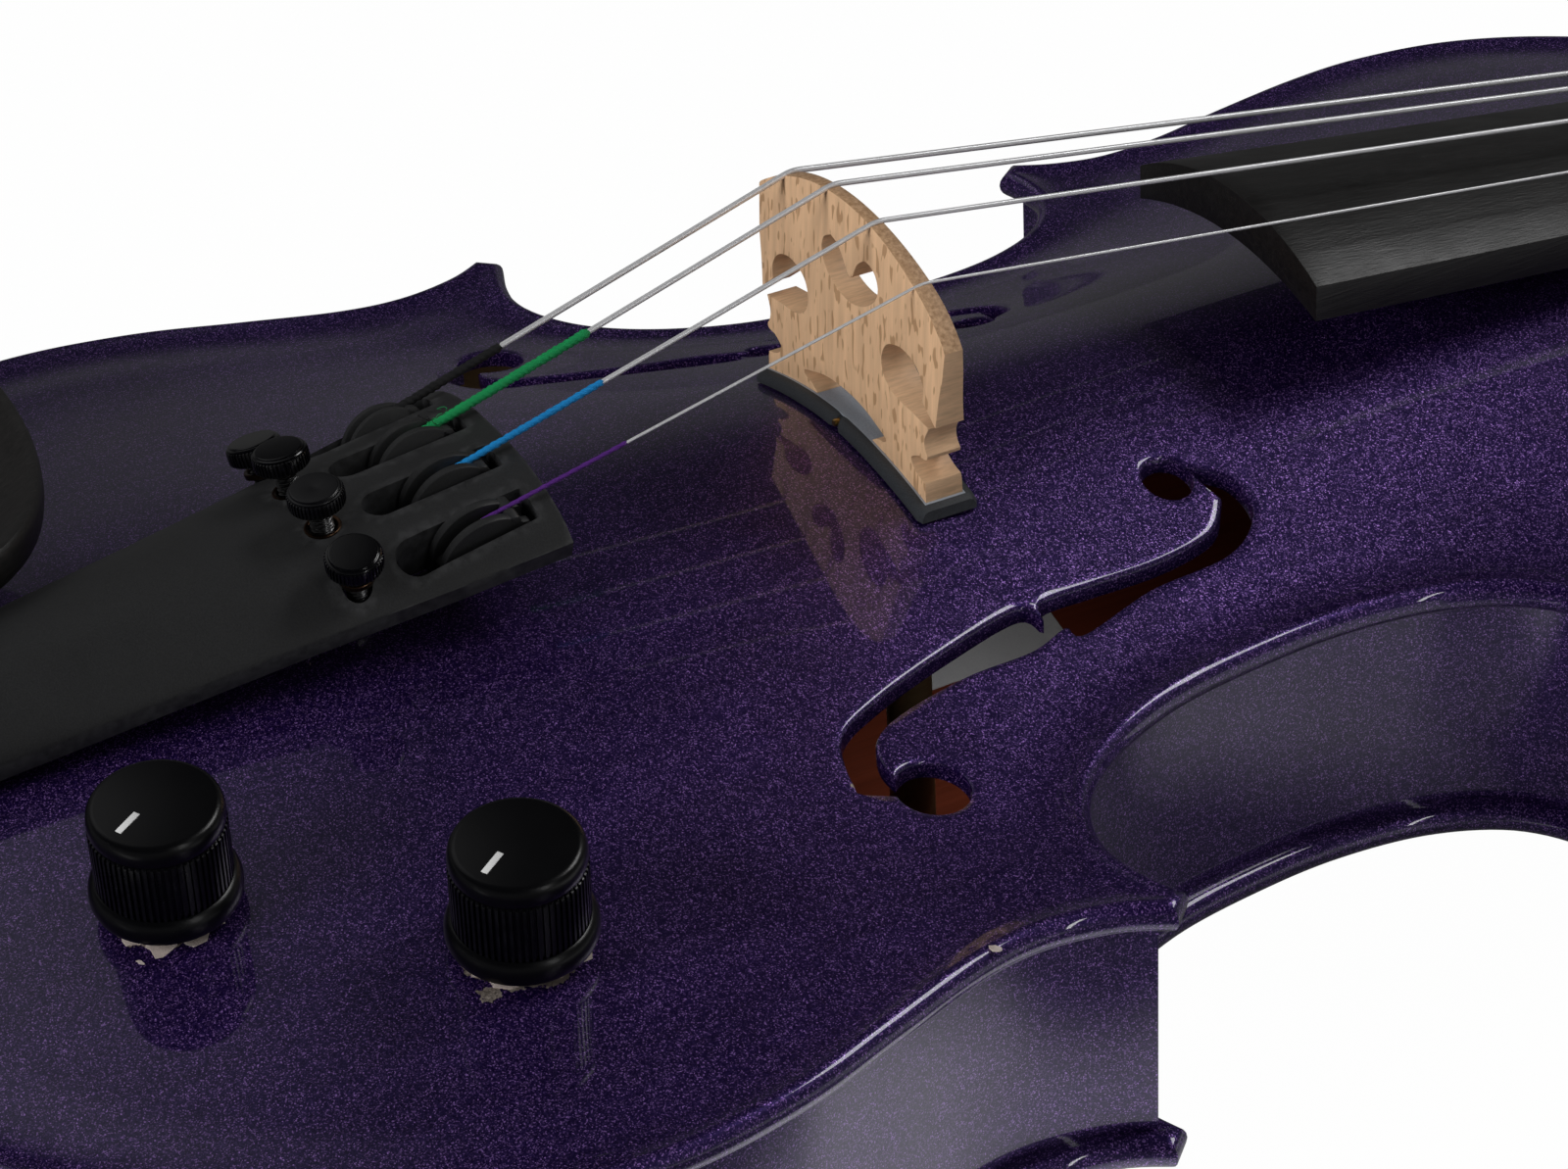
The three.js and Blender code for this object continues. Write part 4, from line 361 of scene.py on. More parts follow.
def belly_height(body, x, y):
    x, y = np.atleast_1d(np.asarray(x, float)), np.atleast_1d(np.asarray(y, float))
    rise = (body.belly_arch - body.edge) * arch_share(body, x, y)
    return body.back_arch + body.rib_height + body.edge + rise


def back_height(body, x, y):
    x, y = np.atleast_1d(np.asarray(x, float)), np.atleast_1d(np.asarray(y, float))
    rise = (body.back_arch + body.back_flat - body.edge) * arch_share(body, x, y)
    return np.maximum(0, body.back_arch - body.edge - rise)


def edge_fall(reach, radius):
    """How far a rounded edge lies below its top, by the distance from the rim."""
    inner = np.clip(radius - reach, 0, radius)
    return radius - np.sqrt(radius**2 - inner**2)


def channel_fall(body, reach):
    """The shallow hollow that runs inside the edge."""
    share = np.clip((reach - 1.6) / 11.0, 0, 1)
    return body.channel * np.sin(math.pi * share**0.7)


# Meshes


def only(*objects):
    bpy.ops.object.select_all(action="DESELECT")
    for obj in objects:
        obj.select_set(True)
    bpy.context.view_layer.objects.active = objects[0] if objects else None


def new_mesh(name, points, faces, body_frame=True):
    """An object from points in millimetres."""
    points = np.asarray(points, float).copy()
    if body_frame:
        points[:, 1] -= REST_POINT
    mesh = bpy.data.meshes.new(name)
    mesh.from_pydata((points * MM).tolist(), [], [list(map(int, f)) for f in faces])
    obj = bpy.data.objects.new(name, mesh)
    bpy.context.scene.collection.objects.link(obj)
    only(obj)
    return obj


def cleaned(obj, merge=0.00001):
    """Merges doubles and points the faces outwards."""
    only(obj)
    bpy.ops.object.mode_set(mode="EDIT")
    bpy.ops.mesh.select_all(action="SELECT")
    bpy.ops.mesh.remove_doubles(threshold=merge)
    bpy.ops.mesh.normals_make_consistent(inside=False)
    bpy.ops.object.mode_set(mode="OBJECT")
    return obj


def smooth(obj, degrees=35):
    only(obj)
    bpy.ops.object.shade_smooth_by_angle(angle=math.radians(degrees))
    return obj


def bevelled(obj, width, segments=2, degrees=30):
    """Rounds the edges that turn by more than an angle; the width is in millimetres."""
    only(obj)
    bevel = obj.modifiers.new("Bevel", "BEVEL")
    bevel.width, bevel.segments = width * MM, segments
    bevel.limit_method, bevel.angle_limit = "ANGLE", math.radians(degrees)
    bevel.use_clamp_overlap = True
    bpy.ops.object.modifier_apply(modifier=bevel.name)
    return obj


def coated(obj, *names):
    """Gives a mesh finishes, in the order of its slots."""
    for name in names:
        obj.data.materials.append(finishes()[name])


def dressed(obj, finish, body, slot, *nodes, degrees=35):
    """Gives a finished piece its finish and its body, and hides the solids that it stands for."""
    smooth(obj, degrees)
    if finish:
        obj.data.materials.clear()
        coated(obj, finish)
    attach(obj, body)
    if nodes:
        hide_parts(*nodes)
    return obj


def joined(first, *others):
    only(first, *others)
    bpy.ops.object.join()
    return first


def level(points, height):
    """Points with one more coordinate, the same for all of them."""
    return np.column_stack([points, np.full(len(points), height)])


def quads(rings, count, closed=True):
    """Faces between rings of as many points each."""
    return [
        (r * count + i, r * count + (i + 1) % count, (r + 1) * count + (i + 1) % count,
         (r + 1) * count + i)
        for r in range(rings - 1) for i in range(count if closed else count - 1)
    ]


def flat_net(outline, holes, spacing, edge_rings, hole_rings):
    """Triangles over a flat outline with holes, closer together near its edges."""
    points = [outline]
    for reach in edge_rings:
        ring = outline + normals(outline) * reach
        near = distance_to(ring, outline)
        clear = np.all([distance_to(ring, hole) > 1.2 for hole in holes] or [near > 0], axis=0)
        points.append(ring[(near > reach * 0.93) & inside(ring, outline) & clear])
    for hole in holes:
        points.append(hole)
        for reach in hole_rings:
            ring = hole - normals(hole) * reach
            clear = (distance_to(ring, hole) > reach * 0.93) & ~inside(ring, hole)
            clear &= inside(ring, outline) & (distance_to(ring, outline) > 1.0)
            for other in holes:
                if other is not hole:
                    clear &= ~inside(ring, other) & (distance_to(ring, other) > reach * 0.93)
            points.append(ring[clear])
    low, high = outline.min(axis=0), outline.max(axis=0)
    grid = np.vstack([
        level(np.arange(low[0] + (k % 2) * spacing / 2, high[0], spacing), y)
        for k, y in enumerate(np.arange(low[1], high[1], spacing * ROW_SHARE))
    ])
    margin = (edge_rings[-1] if edge_rings else 0) + spacing * 0.5
    keep = inside(grid, outline) & (distance_to(grid, outline) > margin)
    hole_margin = (hole_rings[-1] if hole_rings else 0) + spacing * 0.5
    for hole in holes:
        keep &= ~inside(grid, hole) & (distance_to(grid, hole) > hole_margin)
    points.append(grid[keep])
    edges, start = [], 0
    for group in points:
        if group is outline or any(group is hole for hole in holes):
            count = len(group)
            edges += [(start + i, start + (i + 1) % count) for i in range(count)]
        start += len(group)
    flat = np.vstack(points)
    net = delaunay_2d_cdt([Vector(p) for p in flat], edges, [], 0, 1e-6)
    flat = np.array([tuple(p) for p in net[0]])
    triangles = np.array([face for face in net[2] if len(face) == 3])
    middles = flat[triangles].mean(axis=1)
    keep = inside(middles, outline)
    for hole in holes:
        keep &= ~inside(middles, hole)
    return flat, triangles[keep]


def shell(name, flat, triangles, upper, lower, body_frame=True, under=1):
    """A closed solid between two heights over a flat net; its underside has a slot of its own."""
    count = len(flat)
    points = np.vstack([np.column_stack([flat, upper]), np.column_stack([flat, lower])])
    a, b, c = (flat[triangles[:, k]] for k in range(3))
    turn = (b - a)[:, 0] * (c - a)[:, 1] - (b - a)[:, 1] * (c - a)[:, 0]
    triangles = np.where((turn < 0)[:, None], triangles[:, ::-1], triangles)
    used = {(int(t[i]), int(t[(i + 1) % 3])) for t in triangles for i in range(3)}
    rim = [(p, q) for p, q in used if (q, p) not in used]
    faces = [tuple(t) for t in triangles] + [tuple(t[::-1] + count) for t in triangles]
    faces += [(p, p + count, q + count, q) for p, q in rim]
    obj = new_mesh(name, points, faces, body_frame)
    slots = np.zeros(len(faces), np.int32)
    slots[len(triangles):2 * len(triangles)] = under
    obj.data.polygons.foreach_set("material_index", slots)
    return obj


# Materials


def fed(tree, node, feeds):
    """Links or sets the inputs of a node."""
    for key, value in feeds.items():
        if isinstance(value, bpy.types.NodeSocket):
            tree.links.new(value, node.inputs[key])
        else:
            node.inputs[key].default_value = value
    return node


def add(tree, kind, feeds=None, **settings):
    """A shader node with its settings, and its inputs linked or set."""
    node = tree.nodes.new("ShaderNode" + kind)
    for key, value in settings.items():
        setattr(node, key, value)
    return fed(tree, node, feeds or {})


def maths(tree, operation, first, second=0.0):
    return add(tree, "Math", {0: first, 1: second}, operation=operation).outputs[0]


def vector_maths(tree, operation, feeds):
    return add(tree, "VectorMath", feeds, operation=operation).outputs[0]


def spread(tree, value, low, high, start=0.0, end=1.0, smooth_step=False):
    """Maps a value between start and end to low and high."""
    kind = "SMOOTHSTEP" if smooth_step else "LINEAR"
    feeds = {"Value": value, "From Min": start, "From Max": end, "To Min": low, "To Max": high}
    return add(tree, "MapRange", feeds, interpolation_type=kind).outputs["Result"]


def blended(tree, share, first, second):
    """A colour between two others."""
    feeds = {"Factor": share, 6: first, 7: second}
    return add(tree, "Mix", feeds, data_type="RGBA").outputs[2]


def object_place(tree, scale):
    place = add(tree, "TexCoord").outputs["Object"]
    return add(tree, "Mapping", {"Vector": place, "Scale": scale}).outputs[0]


def noise(tree, vector, scale, detail=2.0, roughness=0.5):
    feeds = {"Vector": vector, "Scale": scale, "Detail": detail, "Roughness": roughness}
    return add(tree, "TexNoise", feeds).outputs["Fac"]


def group(name, inputs, outputs):
    """A new node group with named sockets: its tree, inputs and output node."""
    tree = bpy.data.node_groups.new(name, "ShaderNodeTree")
    for label, kind, value in inputs:
        socket = tree.interface.new_socket(name=label, in_out="INPUT", socket_type="NodeSocket" + kind)
        socket.default_value = value
    for label, kind in outputs:
        tree.interface.new_socket(name=label, in_out="OUTPUT", socket_type="NodeSocket" + kind)
    sources = tree.nodes.new("NodeGroupInput").outputs
    return tree, sources, tree.nodes.new("NodeGroupOutput").inputs


def flake_group():
    """Metal flakes, each a small cell with its own colour and tilt."""
    tree, given, out = group(
        "Metal flake",
        [("Size", "Float", 0.00015), ("Dark", "Color", (0, 0, 0, 1)), ("Light", "Color", (1, 1, 1, 1)),
         ("Tilt", "Float", 0.2), ("Sparkle", "Float", 1.0)],
        [("Color", "Color"), ("Normal", "Vector"), ("Metal", "Float")],
    )
    place = add(tree, "TexCoord").outputs["Object"]
    scale = maths(tree, "DIVIDE", 1.0, given["Size"])
    cells = add(tree, "TexVoronoi", {"Vector": place, "Scale": scale}).outputs["Color"]
    parts = add(tree, "SeparateColor", {"Color": cells})
    bright = maths(tree, "POWER", parts.outputs[0], 8.0)
    cloud = noise(tree, place, 55.0, 3.0, 0.6)
    streak = noise(tree, object_place(tree, (900, 6, 900)), 1.0, 2.0, 0.5)
    share = maths(tree, "MULTIPLY", bright, given["Sparkle"])
    veil = maths(tree, "MULTIPLY", spread(tree, cloud, 0.7, 1.3), spread(tree, streak, 0.75, 1.25))
    colour_here = blended(tree, share, given["Dark"], given["Light"])
    veiled = vector_maths(tree, "SCALE", {0: colour_here, "Scale": veil})
    tree.links.new(veiled, out["Color"])
    centred = vector_maths(tree, "SUBTRACT", {0: cells, 1: (0.5, 0.5, 0.5)})
    jitter = vector_maths(tree, "SCALE", {0: centred, "Scale": given["Tilt"]})
    flat = add(tree, "NewGeometry").outputs["Normal"]
    leaning = add(tree, "VectorMath", {0: flat, 1: jitter}).outputs[0]
    normal = vector_maths(tree, "NORMALIZE", {0: leaning})
    tree.links.new(normal, out["Normal"])
    tree.links.new(spread(tree, parts.outputs[1], 0.45, 0.85), out["Metal"])
    return tree


def grain_group():
    """Wood fibres along one way: a colour share, a height and pores."""
    tree, given, out = group(
        "Wood grain",
        [("Stretch", "Vector", (1.0, 1.0, 1.0)), ("Detail", "Float", 4.0)],
        [("Share", "Float"), ("Height", "Float"), ("Pores", "Float")],
    )
    place = add(tree, "TexCoord").outputs["Object"]
    drawn = vector_maths(tree, "MULTIPLY", {0: place, 1: given["Stretch"]})
    wander = add(tree, "TexNoise", {"Vector": place, "Scale": 30.0, "Detail": 2.0})
    wandering = add(
        tree, "VectorMath", {0: wander.outputs["Color"], 1: (1.5, 1.5, 1.5), 2: drawn},
        operation="MULTIPLY_ADD",
    ).outputs[0]
    lines = add(tree, "TexNoise", {"Vector": wandering, "Scale": 1.0, "Detail": given["Detail"],
                                   "Roughness": 0.62}).outputs["Fac"]
    tree.links.new(spread(tree, lines, 0.0, 1.0, 0.32, 0.68), out["Share"])
    fine = add(tree, "TexNoise", {"Vector": drawn, "Scale": 3.1, "Detail": 2.0}).outputs["Fac"]
    tree.links.new(maths(tree, "MULTIPLY", lines, fine), out["Height"])
    tree.links.new(spread(tree, fine, 0.0, 1.0, 0.62, 0.72), out["Pores"])
    return tree


def mottle_group():
    """Slow changes over a surface, between two values."""
    tree, given, out = group(
        "Mottle",
        [("Scale", "Float", 60.0), ("Low", "Float", 0.3), ("High", "Float", 0.5)],
        [("Value", "Float"), ("Fine", "Float")],
    )
    place = add(tree, "TexCoord").outputs["Object"]
    slow = noise(tree, place, given["Scale"], 4.0, 0.6)
    value = spread(tree, slow, given["Low"], given["High"], 0.3, 0.7)
    tree.links.new(value, out["Value"])
    scale = maths(tree, "MULTIPLY", given["Scale"], 40.0)
    tree.links.new(noise(tree, place, scale, 1.0, 0.5), out["Fine"])
    return tree


def wear_group():
    """Where edges stick out, and get rubbed."""
    tree, given, out = group("Edge wear", [("Start", "Float", 0.54), ("End", "Float", 0.62)],
                             [("Mask", "Float")])
    point = add(tree, "NewGeometry").outputs["Pointiness"]
    place = add(tree, "TexCoord").outputs["Object"]
    rough = spread(tree, noise(tree, place, 700.0, 3.0, 0.6), 0.0, 1.0, 0.35, 0.65)
    edge = spread(tree, point, 0.0, 1.0, given["Start"], given["End"])
    tree.links.new(maths(tree, "MULTIPLY", edge, rough), out["Mask"])
    return tree


def chip_group():
    """A ragged spot round a place, where the lacquer is gone."""
    tree, given, out = group(
        "Chipped spot",
        [("Place", "Vector", (0.0, 0.0, 0.0)), ("Radius", "Float", 0.002), ("Ragged", "Float", 0.001)],
        [("Mask", "Float")],
    )
    place = add(tree, "TexCoord").outputs["Object"]
    reach = add(tree, "VectorMath", {0: place, 1: given["Place"]}, operation="DISTANCE").outputs["Value"]
    shift = maths(tree, "SUBTRACT", noise(tree, place, 420.0, 3.0, 0.7), 0.5)
    waved = add(tree, "Math", {0: shift, 1: given["Ragged"], 2: reach}, operation="MULTIPLY_ADD").outputs[0]
    tree.links.new(maths(tree, "LESS_THAN", waved, given["Radius"]), out["Mask"])
    return tree


def placed_group(tree, name, feeds):
    """One of the shared groups inside a material, with its own values."""
    makers = {"Metal flake": flake_group, "Wood grain": grain_group, "Mottle": mottle_group,
              "Edge wear": wear_group, "Chipped spot": chip_group}
    made = bpy.data.node_groups.get(name) or makers[name]()
    return add(tree, "Group", feeds, node_tree=made).outputs


def start_material(name, sockets):
    material = bpy.data.materials.new(name)
    material.use_nodes = True
    tree = material.node_tree
    shader = tree.nodes["Principled BSDF"]
    for key, value in sockets.items():
        shader.inputs[key].default_value = value
    return tree, shader.inputs


def bump(tree, height, strength, depth):
    feeds = {"Height": height, "Strength": strength, "Distance": depth}
    return add(tree, "Bump", feeds).outputs[0]


def lacquer_material(name, dark, light):
    """Flake under a clear coat, chipped to the wood at the bare spots."""
    tree, shader = start_material(FINISH + name, {"Coat Weight": 1.0, "Coat Roughness": 0.04})
    flake = placed_group(tree, "Metal flake", {"Dark": dark, "Light": light})
    bare = 0.0
    for place, radius, rough_edge in BARE_SPOTS:
        feeds = {"Place": place, "Radius": radius, "Ragged": 3 * rough_edge}
        spot = placed_group(tree, "Chipped spot", feeds)
        bare = maths(tree, "MAXIMUM", spot["Mask"], bare)
    grain = placed_group(tree, "Wood grain", {"Stretch": (900, 20, 900)})
    wood = blended(tree, grain["Share"], (0.34, 0.26, 0.22, 1), (0.62, 0.54, 0.48, 1))
    tree.links.new(blended(tree, bare, flake["Color"], wood), shader["Base Color"])
    tree.links.new(maths(tree, "SUBTRACT", 1.0, bare), shader["Coat Weight"])
    tree.links.new(flake["Normal"], shader["Normal"])
    tree.links.new(flake["Metal"], shader["Metallic"])
    mottle = placed_group(tree, "Mottle", {"Scale": 40.0, "Low": 0.38, "High": 0.5})
    tree.links.new(mottle["Value"], shader["Roughness"])


def wood_material(name, dark, light, stretch, rough=(0.45, 0.6), depth=0.00006, fleck=None):
    """Bare or stained wood: its grain, and flecks where it has them."""
    tree, shader = start_material(FINISH + name, {})
    grain = placed_group(tree, "Wood grain", {"Stretch": stretch})
    colour_here = blended(tree, grain["Share"], dark, light)
    if fleck is not None:
        place = object_place(tree, (1500, 1500, 420))
        spots = add(tree, "TexNoise", {"Vector": place, "Scale": 1.0, "Detail": 0.0}).outputs["Fac"]
        mask = spread(tree, spots, 0.0, 0.75, 0.63, 0.68)
        colour_here = blended(tree, mask, colour_here, fleck)
    mottle = placed_group(tree, "Mottle", {"Scale": 90.0, "Low": rough[0], "High": rough[1]})
    tree.links.new(colour_here, shader["Base Color"])
    tree.links.new(mottle["Value"], shader["Roughness"])
    tree.links.new(bump(tree, grain["Height"], 0.6, depth), shader["Normal"])


def plain_material(name, base, worn, rough, scale=120.0, metal=0.0, depth=0.00001, fine=0.0,
                   specular=0.5):
    """A moulded, turned or painted finish: slow shade, fine bump and rubbed edges."""
    sockets = {"Metallic": metal, "Specular IOR Level": specular}
    tree, shader = start_material(FINISH + name, sockets)
    mottle = placed_group(tree, "Mottle", {"Scale": scale, "Low": rough[0], "High": rough[1]})
    wear = placed_group(tree, "Edge wear", {})
    shade = spread(tree, mottle["Fine"], 1.0 - fine, 1.0 + fine, 0.3, 0.7)
    speckled = vector_maths(tree, "SCALE", {0: tuple(base[:3]), "Scale": shade})
    tree.links.new(blended(tree, wear["Mask"], speckled, worn), shader["Base Color"])
    tree.links.new(mottle["Value"], shader["Roughness"])
    tree.links.new(bump(tree, mottle["Fine"], 0.5, depth), shader["Normal"])


def toned(value, share):
    """A colour of the panel, darker or brighter."""
    return (*[part * share for part in value[:3]], 1.0)


def finishes():
    """Every finish of the violin, made once from the colours in the panel."""
    made = {m.name[len(FINISH):]: m for m in bpy.data.materials if m.name.startswith(FINISH)}
    if made:
        return made
    looks = bpy.context.scene.violin_looks
    lacquer_material("lacquer", looks.lacquer, looks.flake)
    wood_material("maple", looks.maple, toned(looks.maple, 1.25), (900, 900, 60),
                  fleck=looks.maple_fleck)
    wood_material("maple_cut", toned(looks.maple, 0.85), toned(looks.maple, 1.15), (2500, 300, 2500))
    wood_material("maple_edge", toned(looks.maple_fleck, 0.9), toned(looks.maple, 0.95),
                  (1800, 1800, 1800), rough=(0.5, 0.65))
    plain_material("band", toned(looks.rubber, 9.0), toned(looks.rubber, 10.0), (0.5, 0.6), fine=0.1)
    wood_material("ebony", toned(looks.ebony, 0.5), toned(looks.ebony, 1.6), (1400, 28, 1400),
                  rough=(0.36, 0.5), depth=0.00012)
    wood_material("spruce", toned(looks.spruce, 0.75), looks.spruce, (1200, 12, 1200))
    wood_material("stained", toned(looks.stained, 0.7), looks.stained, (700, 14, 700))
    plain_material("plastic", looks.plastic, toned(looks.plastic, 2.2), (0.5, 0.62), fine=0.2,
                   depth=0.00003)
    plain_material("gloss", looks.gloss, toned(looks.gloss, 3.0), (0.14, 0.22), fine=0.1)
    plain_material("knob", looks.gloss, toned(looks.gloss, 3.0), (0.26, 0.32), fine=0.1, specular=0.35)
    plain_material("rubber", looks.rubber, toned(looks.rubber, 1.4), (0.55, 0.7), fine=0.25,
                   depth=0.00004)
    plain_material("steel", looks.steel, toned(looks.steel, 1.2), (0.22, 0.36), metal=1.0,
                   fine=0.08)
    plain_material("wire", toned(looks.steel, 1.4), toned(looks.steel, 1.6), (0.32, 0.42), scale=900.0,
                   metal=0.45, fine=0.2)
    plain_material("dark_steel", toned(looks.steel, 0.18), toned(looks.steel, 0.5), (0.3, 0.4),
                   metal=1.0, fine=0.2)
    plain_material("black_metal", toned(looks.gloss, 2.0), toned(looks.steel, 0.3), (0.25, 0.4))
    plain_material("paper", (0.36, 0.36, 0.37, 1), (0.42, 0.42, 0.42, 1), (0.7, 0.8), fine=0.05)
    plain_material("white", (0.85, 0.85, 0.85, 1), (0.9, 0.9, 0.9, 1), (0.5, 0.6))
    plain_material("brass", (0.5, 0.33, 0.1, 1), (0.7, 0.5, 0.2, 1), (0.3, 0.4), metal=1.0)
    plain_material("cork", (0.3, 0.18, 0.09, 1), (0.4, 0.26, 0.15, 1), (0.8, 0.9), fine=0.5, scale=400.0,
                   depth=0.0002)
    plain_material("bronze", (0.06, 0.03, 0.018, 1), (0.16, 0.1, 0.06, 1), (0.3, 0.4), metal=1.0)
    plain_material("turned_gloss", toned(looks.gloss, 1.5), toned(looks.gloss, 3.0), (0.3, 0.4), fine=0.1)
    plain_material("bare", (0.55, 0.46, 0.42, 1), (0.7, 0.62, 0.58, 1), (0.6, 0.8), fine=0.35,
                   scale=500.0, depth=0.0001)
    for name in "gdae":
        silk = getattr(looks, f"silk_{name}")
        plain_material(f"silk_{name}", silk, toned(silk, 1.6), (0.75, 0.9), scale=1500.0,
                       fine=0.45, depth=0.0001)
    return finishes()


# The body


def sound_rings(body):
    """The f-holes: a slot and two eyes each, as closed rings."""
    rings = []
    for side in (1, -1):
        def at(share):
            x, y = share
            across = side * (body.hole_offset + x * body.hole_length)
            return across, body.hole_stop + y * body.hole_length
        slot = np.vstack([
            even(smooth_line([at(p) for p in shares], 8), 0.7)
            for shares in (SOUND_HOLE_INNER_SHARES, SOUND_HOLE_OUTER_SHARES)
        ])
        rings.append(slot if side > 0 else slot[::-1])
        rings += [round_ring(*at(share), diameter, 44) for share, diameter in SOUND_EYES]
    return rings


def round_ring(x, y, diameter, count=48):
    angle = np.linspace(0, 2 * math.pi, count, endpoint=False)
    return np.column_stack([x + diameter / 2 * np.cos(angle), y + diameter / 2 * np.sin(angle)])


def box_ring(x0, x1, y0, y1):
    return np.array([(x0, y0), (x1, y0), (x1, y1), (x0, y1)], float)


def lacquer_overhang(obj, triangles, rim, body, first):
    """The side of a plate that stands out past the ribs has lacquer too."""
    outside = rim[triangles].mean(axis=1) < body.overhang + 0.3
    for index in np.nonzero(outside)[0]:
        obj.data.polygons[first + int(index)].material_index = 0


class VIOLIN_OT_belly(bpy.types.Operator):
    """Carve the arched belly with its rounded edge, sound holes and control holes"""

    bl_idname = "violin.belly"
    bl_label = "Belly"

    def execute(self, context):
        body = context.scene.violin_body
        outline = body_ring(body)
        holes = sound_rings(body)
        holes += [round_ring(x, y, body.control_hole) for x, y in KNOB_PLACES]
        holes += [
            box_ring(-18.3, 18.3, -3, 6.8),
            box_ring(-16.8, 16.8, body.length - 6.3, body.length + 6),
            round_ring(0, context.scene.violin_fittings.bridge_stop, 3.4, 20),
        ]
        flat, triangles = flat_net(
            outline, holes, body.net, EDGE_RINGS, (0.16, 0.5, 1.3),
        )
        rim = distance_to(flat, outline)
        hole = np.min([distance_to(flat, ring) for ring in holes], axis=0)
        x, y = flat[:, 0], flat[:, 1]
        radius = body.edge / 2 - 0.05
        top = belly_height(body, x, y) - channel_fall(body, rim) - edge_fall(rim, radius)
        upper = top - edge_fall(hole, 0.5)
        seat = body.back_arch + body.rib_height
        hollow = np.maximum(belly_height(body, x, y) - body.belly_wall, seat)
        share = np.clip((rim - 6) / 6, 0, 1)
        lower = seat + (hollow - seat) * share + edge_fall(rim, radius)
        sound = np.min([distance_to(flat, ring) for ring in sound_rings(body)], axis=0)
        thinned = np.clip((7 - sound) / 4, 0, 1) * np.clip((rim - 4) / 3, 0, 1)
        lower += np.maximum(top - 2.3 - lower, 0) * thinned
        obj = shell("belly", flat, triangles, upper, np.minimum(lower, upper - 0.05))
        lacquer_overhang(obj, triangles, rim, body, len(triangles))
        dressed(obj, None, ROOT, "lacquer", "top_plate", degrees=40)
        coated(obj, "lacquer", "stained")
        return {"FINISHED"}


class VIOLIN_OT_back(bpy.types.Operator):
    """Carve the arched back with its button"""

    bl_idname = "violin.back"
    bl_label = "Back"

    def execute(self, context):
        body = context.scene.violin_body
        outline = body_ring(body)
        flat, triangles = flat_net(outline, [], body.net, EDGE_RINGS, ())
        rim = distance_to(flat, outline)
        x, y = flat[:, 0], flat[:, 1]
        radius = body.edge / 2 - 0.05
        lower = back_height(body, x, y) + channel_fall(body, rim) + edge_fall(rim, radius)
        hollow = np.minimum(back_height(body, x, y) + body.back_wall, body.back_arch)
        share = np.clip((rim - 6) / 6, 0, 1)
        upper = body.back_arch + (hollow - body.back_arch) * share - edge_fall(rim, radius)
        obj = shell("back", flat, triangles, np.maximum(upper, lower + 0.05), lower)
        slots = np.zeros(len(obj.data.polygons), np.int32)
        obj.data.polygons.foreach_get("material_index", slots)
        slots[:len(triangles)], slots[len(triangles):] = 1, 0
        obj.data.polygons.foreach_set("material_index", slots)
        lacquer_overhang(obj, triangles, rim, body, 0)
        button = self.button(body)
        for piece in (obj, button):
            coated(piece, "lacquer", "stained")
        obj = joined(obj, button)
        dressed(obj, None, ROOT, "lacquer", "back_plate", degrees=40)
        return {"FINISHED"}

    def button(self, body):
        """The half-round tab under the heel."""
        end = body.length
        ring = even(smooth_line([
            (-11.5, end - 11), (-11.4, end), (-6.5, end + 8.6), (0, end + 11), (6.5, end + 8.6),
            (11.4, end), (11.5, end - 11),
        ], 8), 1.0)[::-1]
        low, high = body.back_arch - body.edge, body.back_arch
        rings = [ring - normals(ring, False) * (-reach) for reach in (0.0, 0.5)]
        points = [level(r, z) for r, z in (
            (rings[1], low), (rings[0], low + 0.7), (rings[0], high - 0.7), (rings[1], high))]
        count = len(ring)
        faces = quads(4, count, closed=False)
        faces += [tuple(range(count)), tuple(range(4 * count - 1, 3 * count - 1, -1))]
        faces.append((0, count, 2 * count, 3 * count, 4 * count - 1, 3 * count - 1, 2 * count - 1, count - 1))
        obj = new_mesh("button", np.vstack(points), faces)
        return cleaned(obj)


class VIOLIN_OT_ribs(bpy.types.Operator):
    """Bend the ribs round the body, with their linings inside"""

    bl_idname = "violin.ribs"
    bl_label = "Ribs"

    def execute(self, context):
        body = context.scene.violin_body
        outline = body_ring(body, 1.6)
        low, high = body.back_arch, body.back_arch + body.rib_height
        outer = outline + normals(outline) * body.overhang
        keep = distance_to(outer, outline) > body.overhang * 0.985
        outer = outer[keep]
        neck = (np.abs(outer[:, 0]) < 16.8) & (outer[:, 1] > body.length - 20)
        start = int(np.argmax(neck & ~np.roll(neck, 1)))
        outer = np.roll(outer, -start, axis=0)[int(neck.sum()):]
        wall = body.rib_wall
        section = [
            (0.0, low), (0.0, high), (3.2, high), (3.2, high - 5.0), (wall, high - 7.0),
            (wall, low + 7.0), (3.2, low + 5.0), (3.2, low),
        ]
        inward = normals(outer, closed=False)
        rings = []
        for reach, z in section:
            inner = outer + inward * reach
            for share in (0.6, 0.35, 0.15, 0.04):
                near = distance_to(inner, outer, False) < reach * 0.93
                inner[near] = (outer + inward * reach * share)[near]
            rings.append(level(inner, z))
        points = np.stack(rings, axis=1).reshape(-1, 3)
        across, along = len(section), len(outer)
        faces = quads(along, across)
        faces += [tuple(range(across))[::-1], tuple(range((along - 1) * across, along * across))]
        obj = new_mesh("ribs", points, faces)
        inside_faces = np.array([
            0 if polygon.index < (along - 1) * across and polygon.index % across == 0 else 1
            for polygon in obj.data.polygons
        ], np.int32)
        obj.data.polygons.foreach_set("material_index", inside_faces)
        cleaned(obj)
        dressed(obj, None, ROOT, "lacquer", "lower_rib", "waist_rib_treble", "waist_rib_bass",
                "upper_rib_treble", "upper_rib_bass", degrees=40)
        coated(obj, "lacquer", "stained")
        return {"FINISHED"}


# Shapes that several pieces use


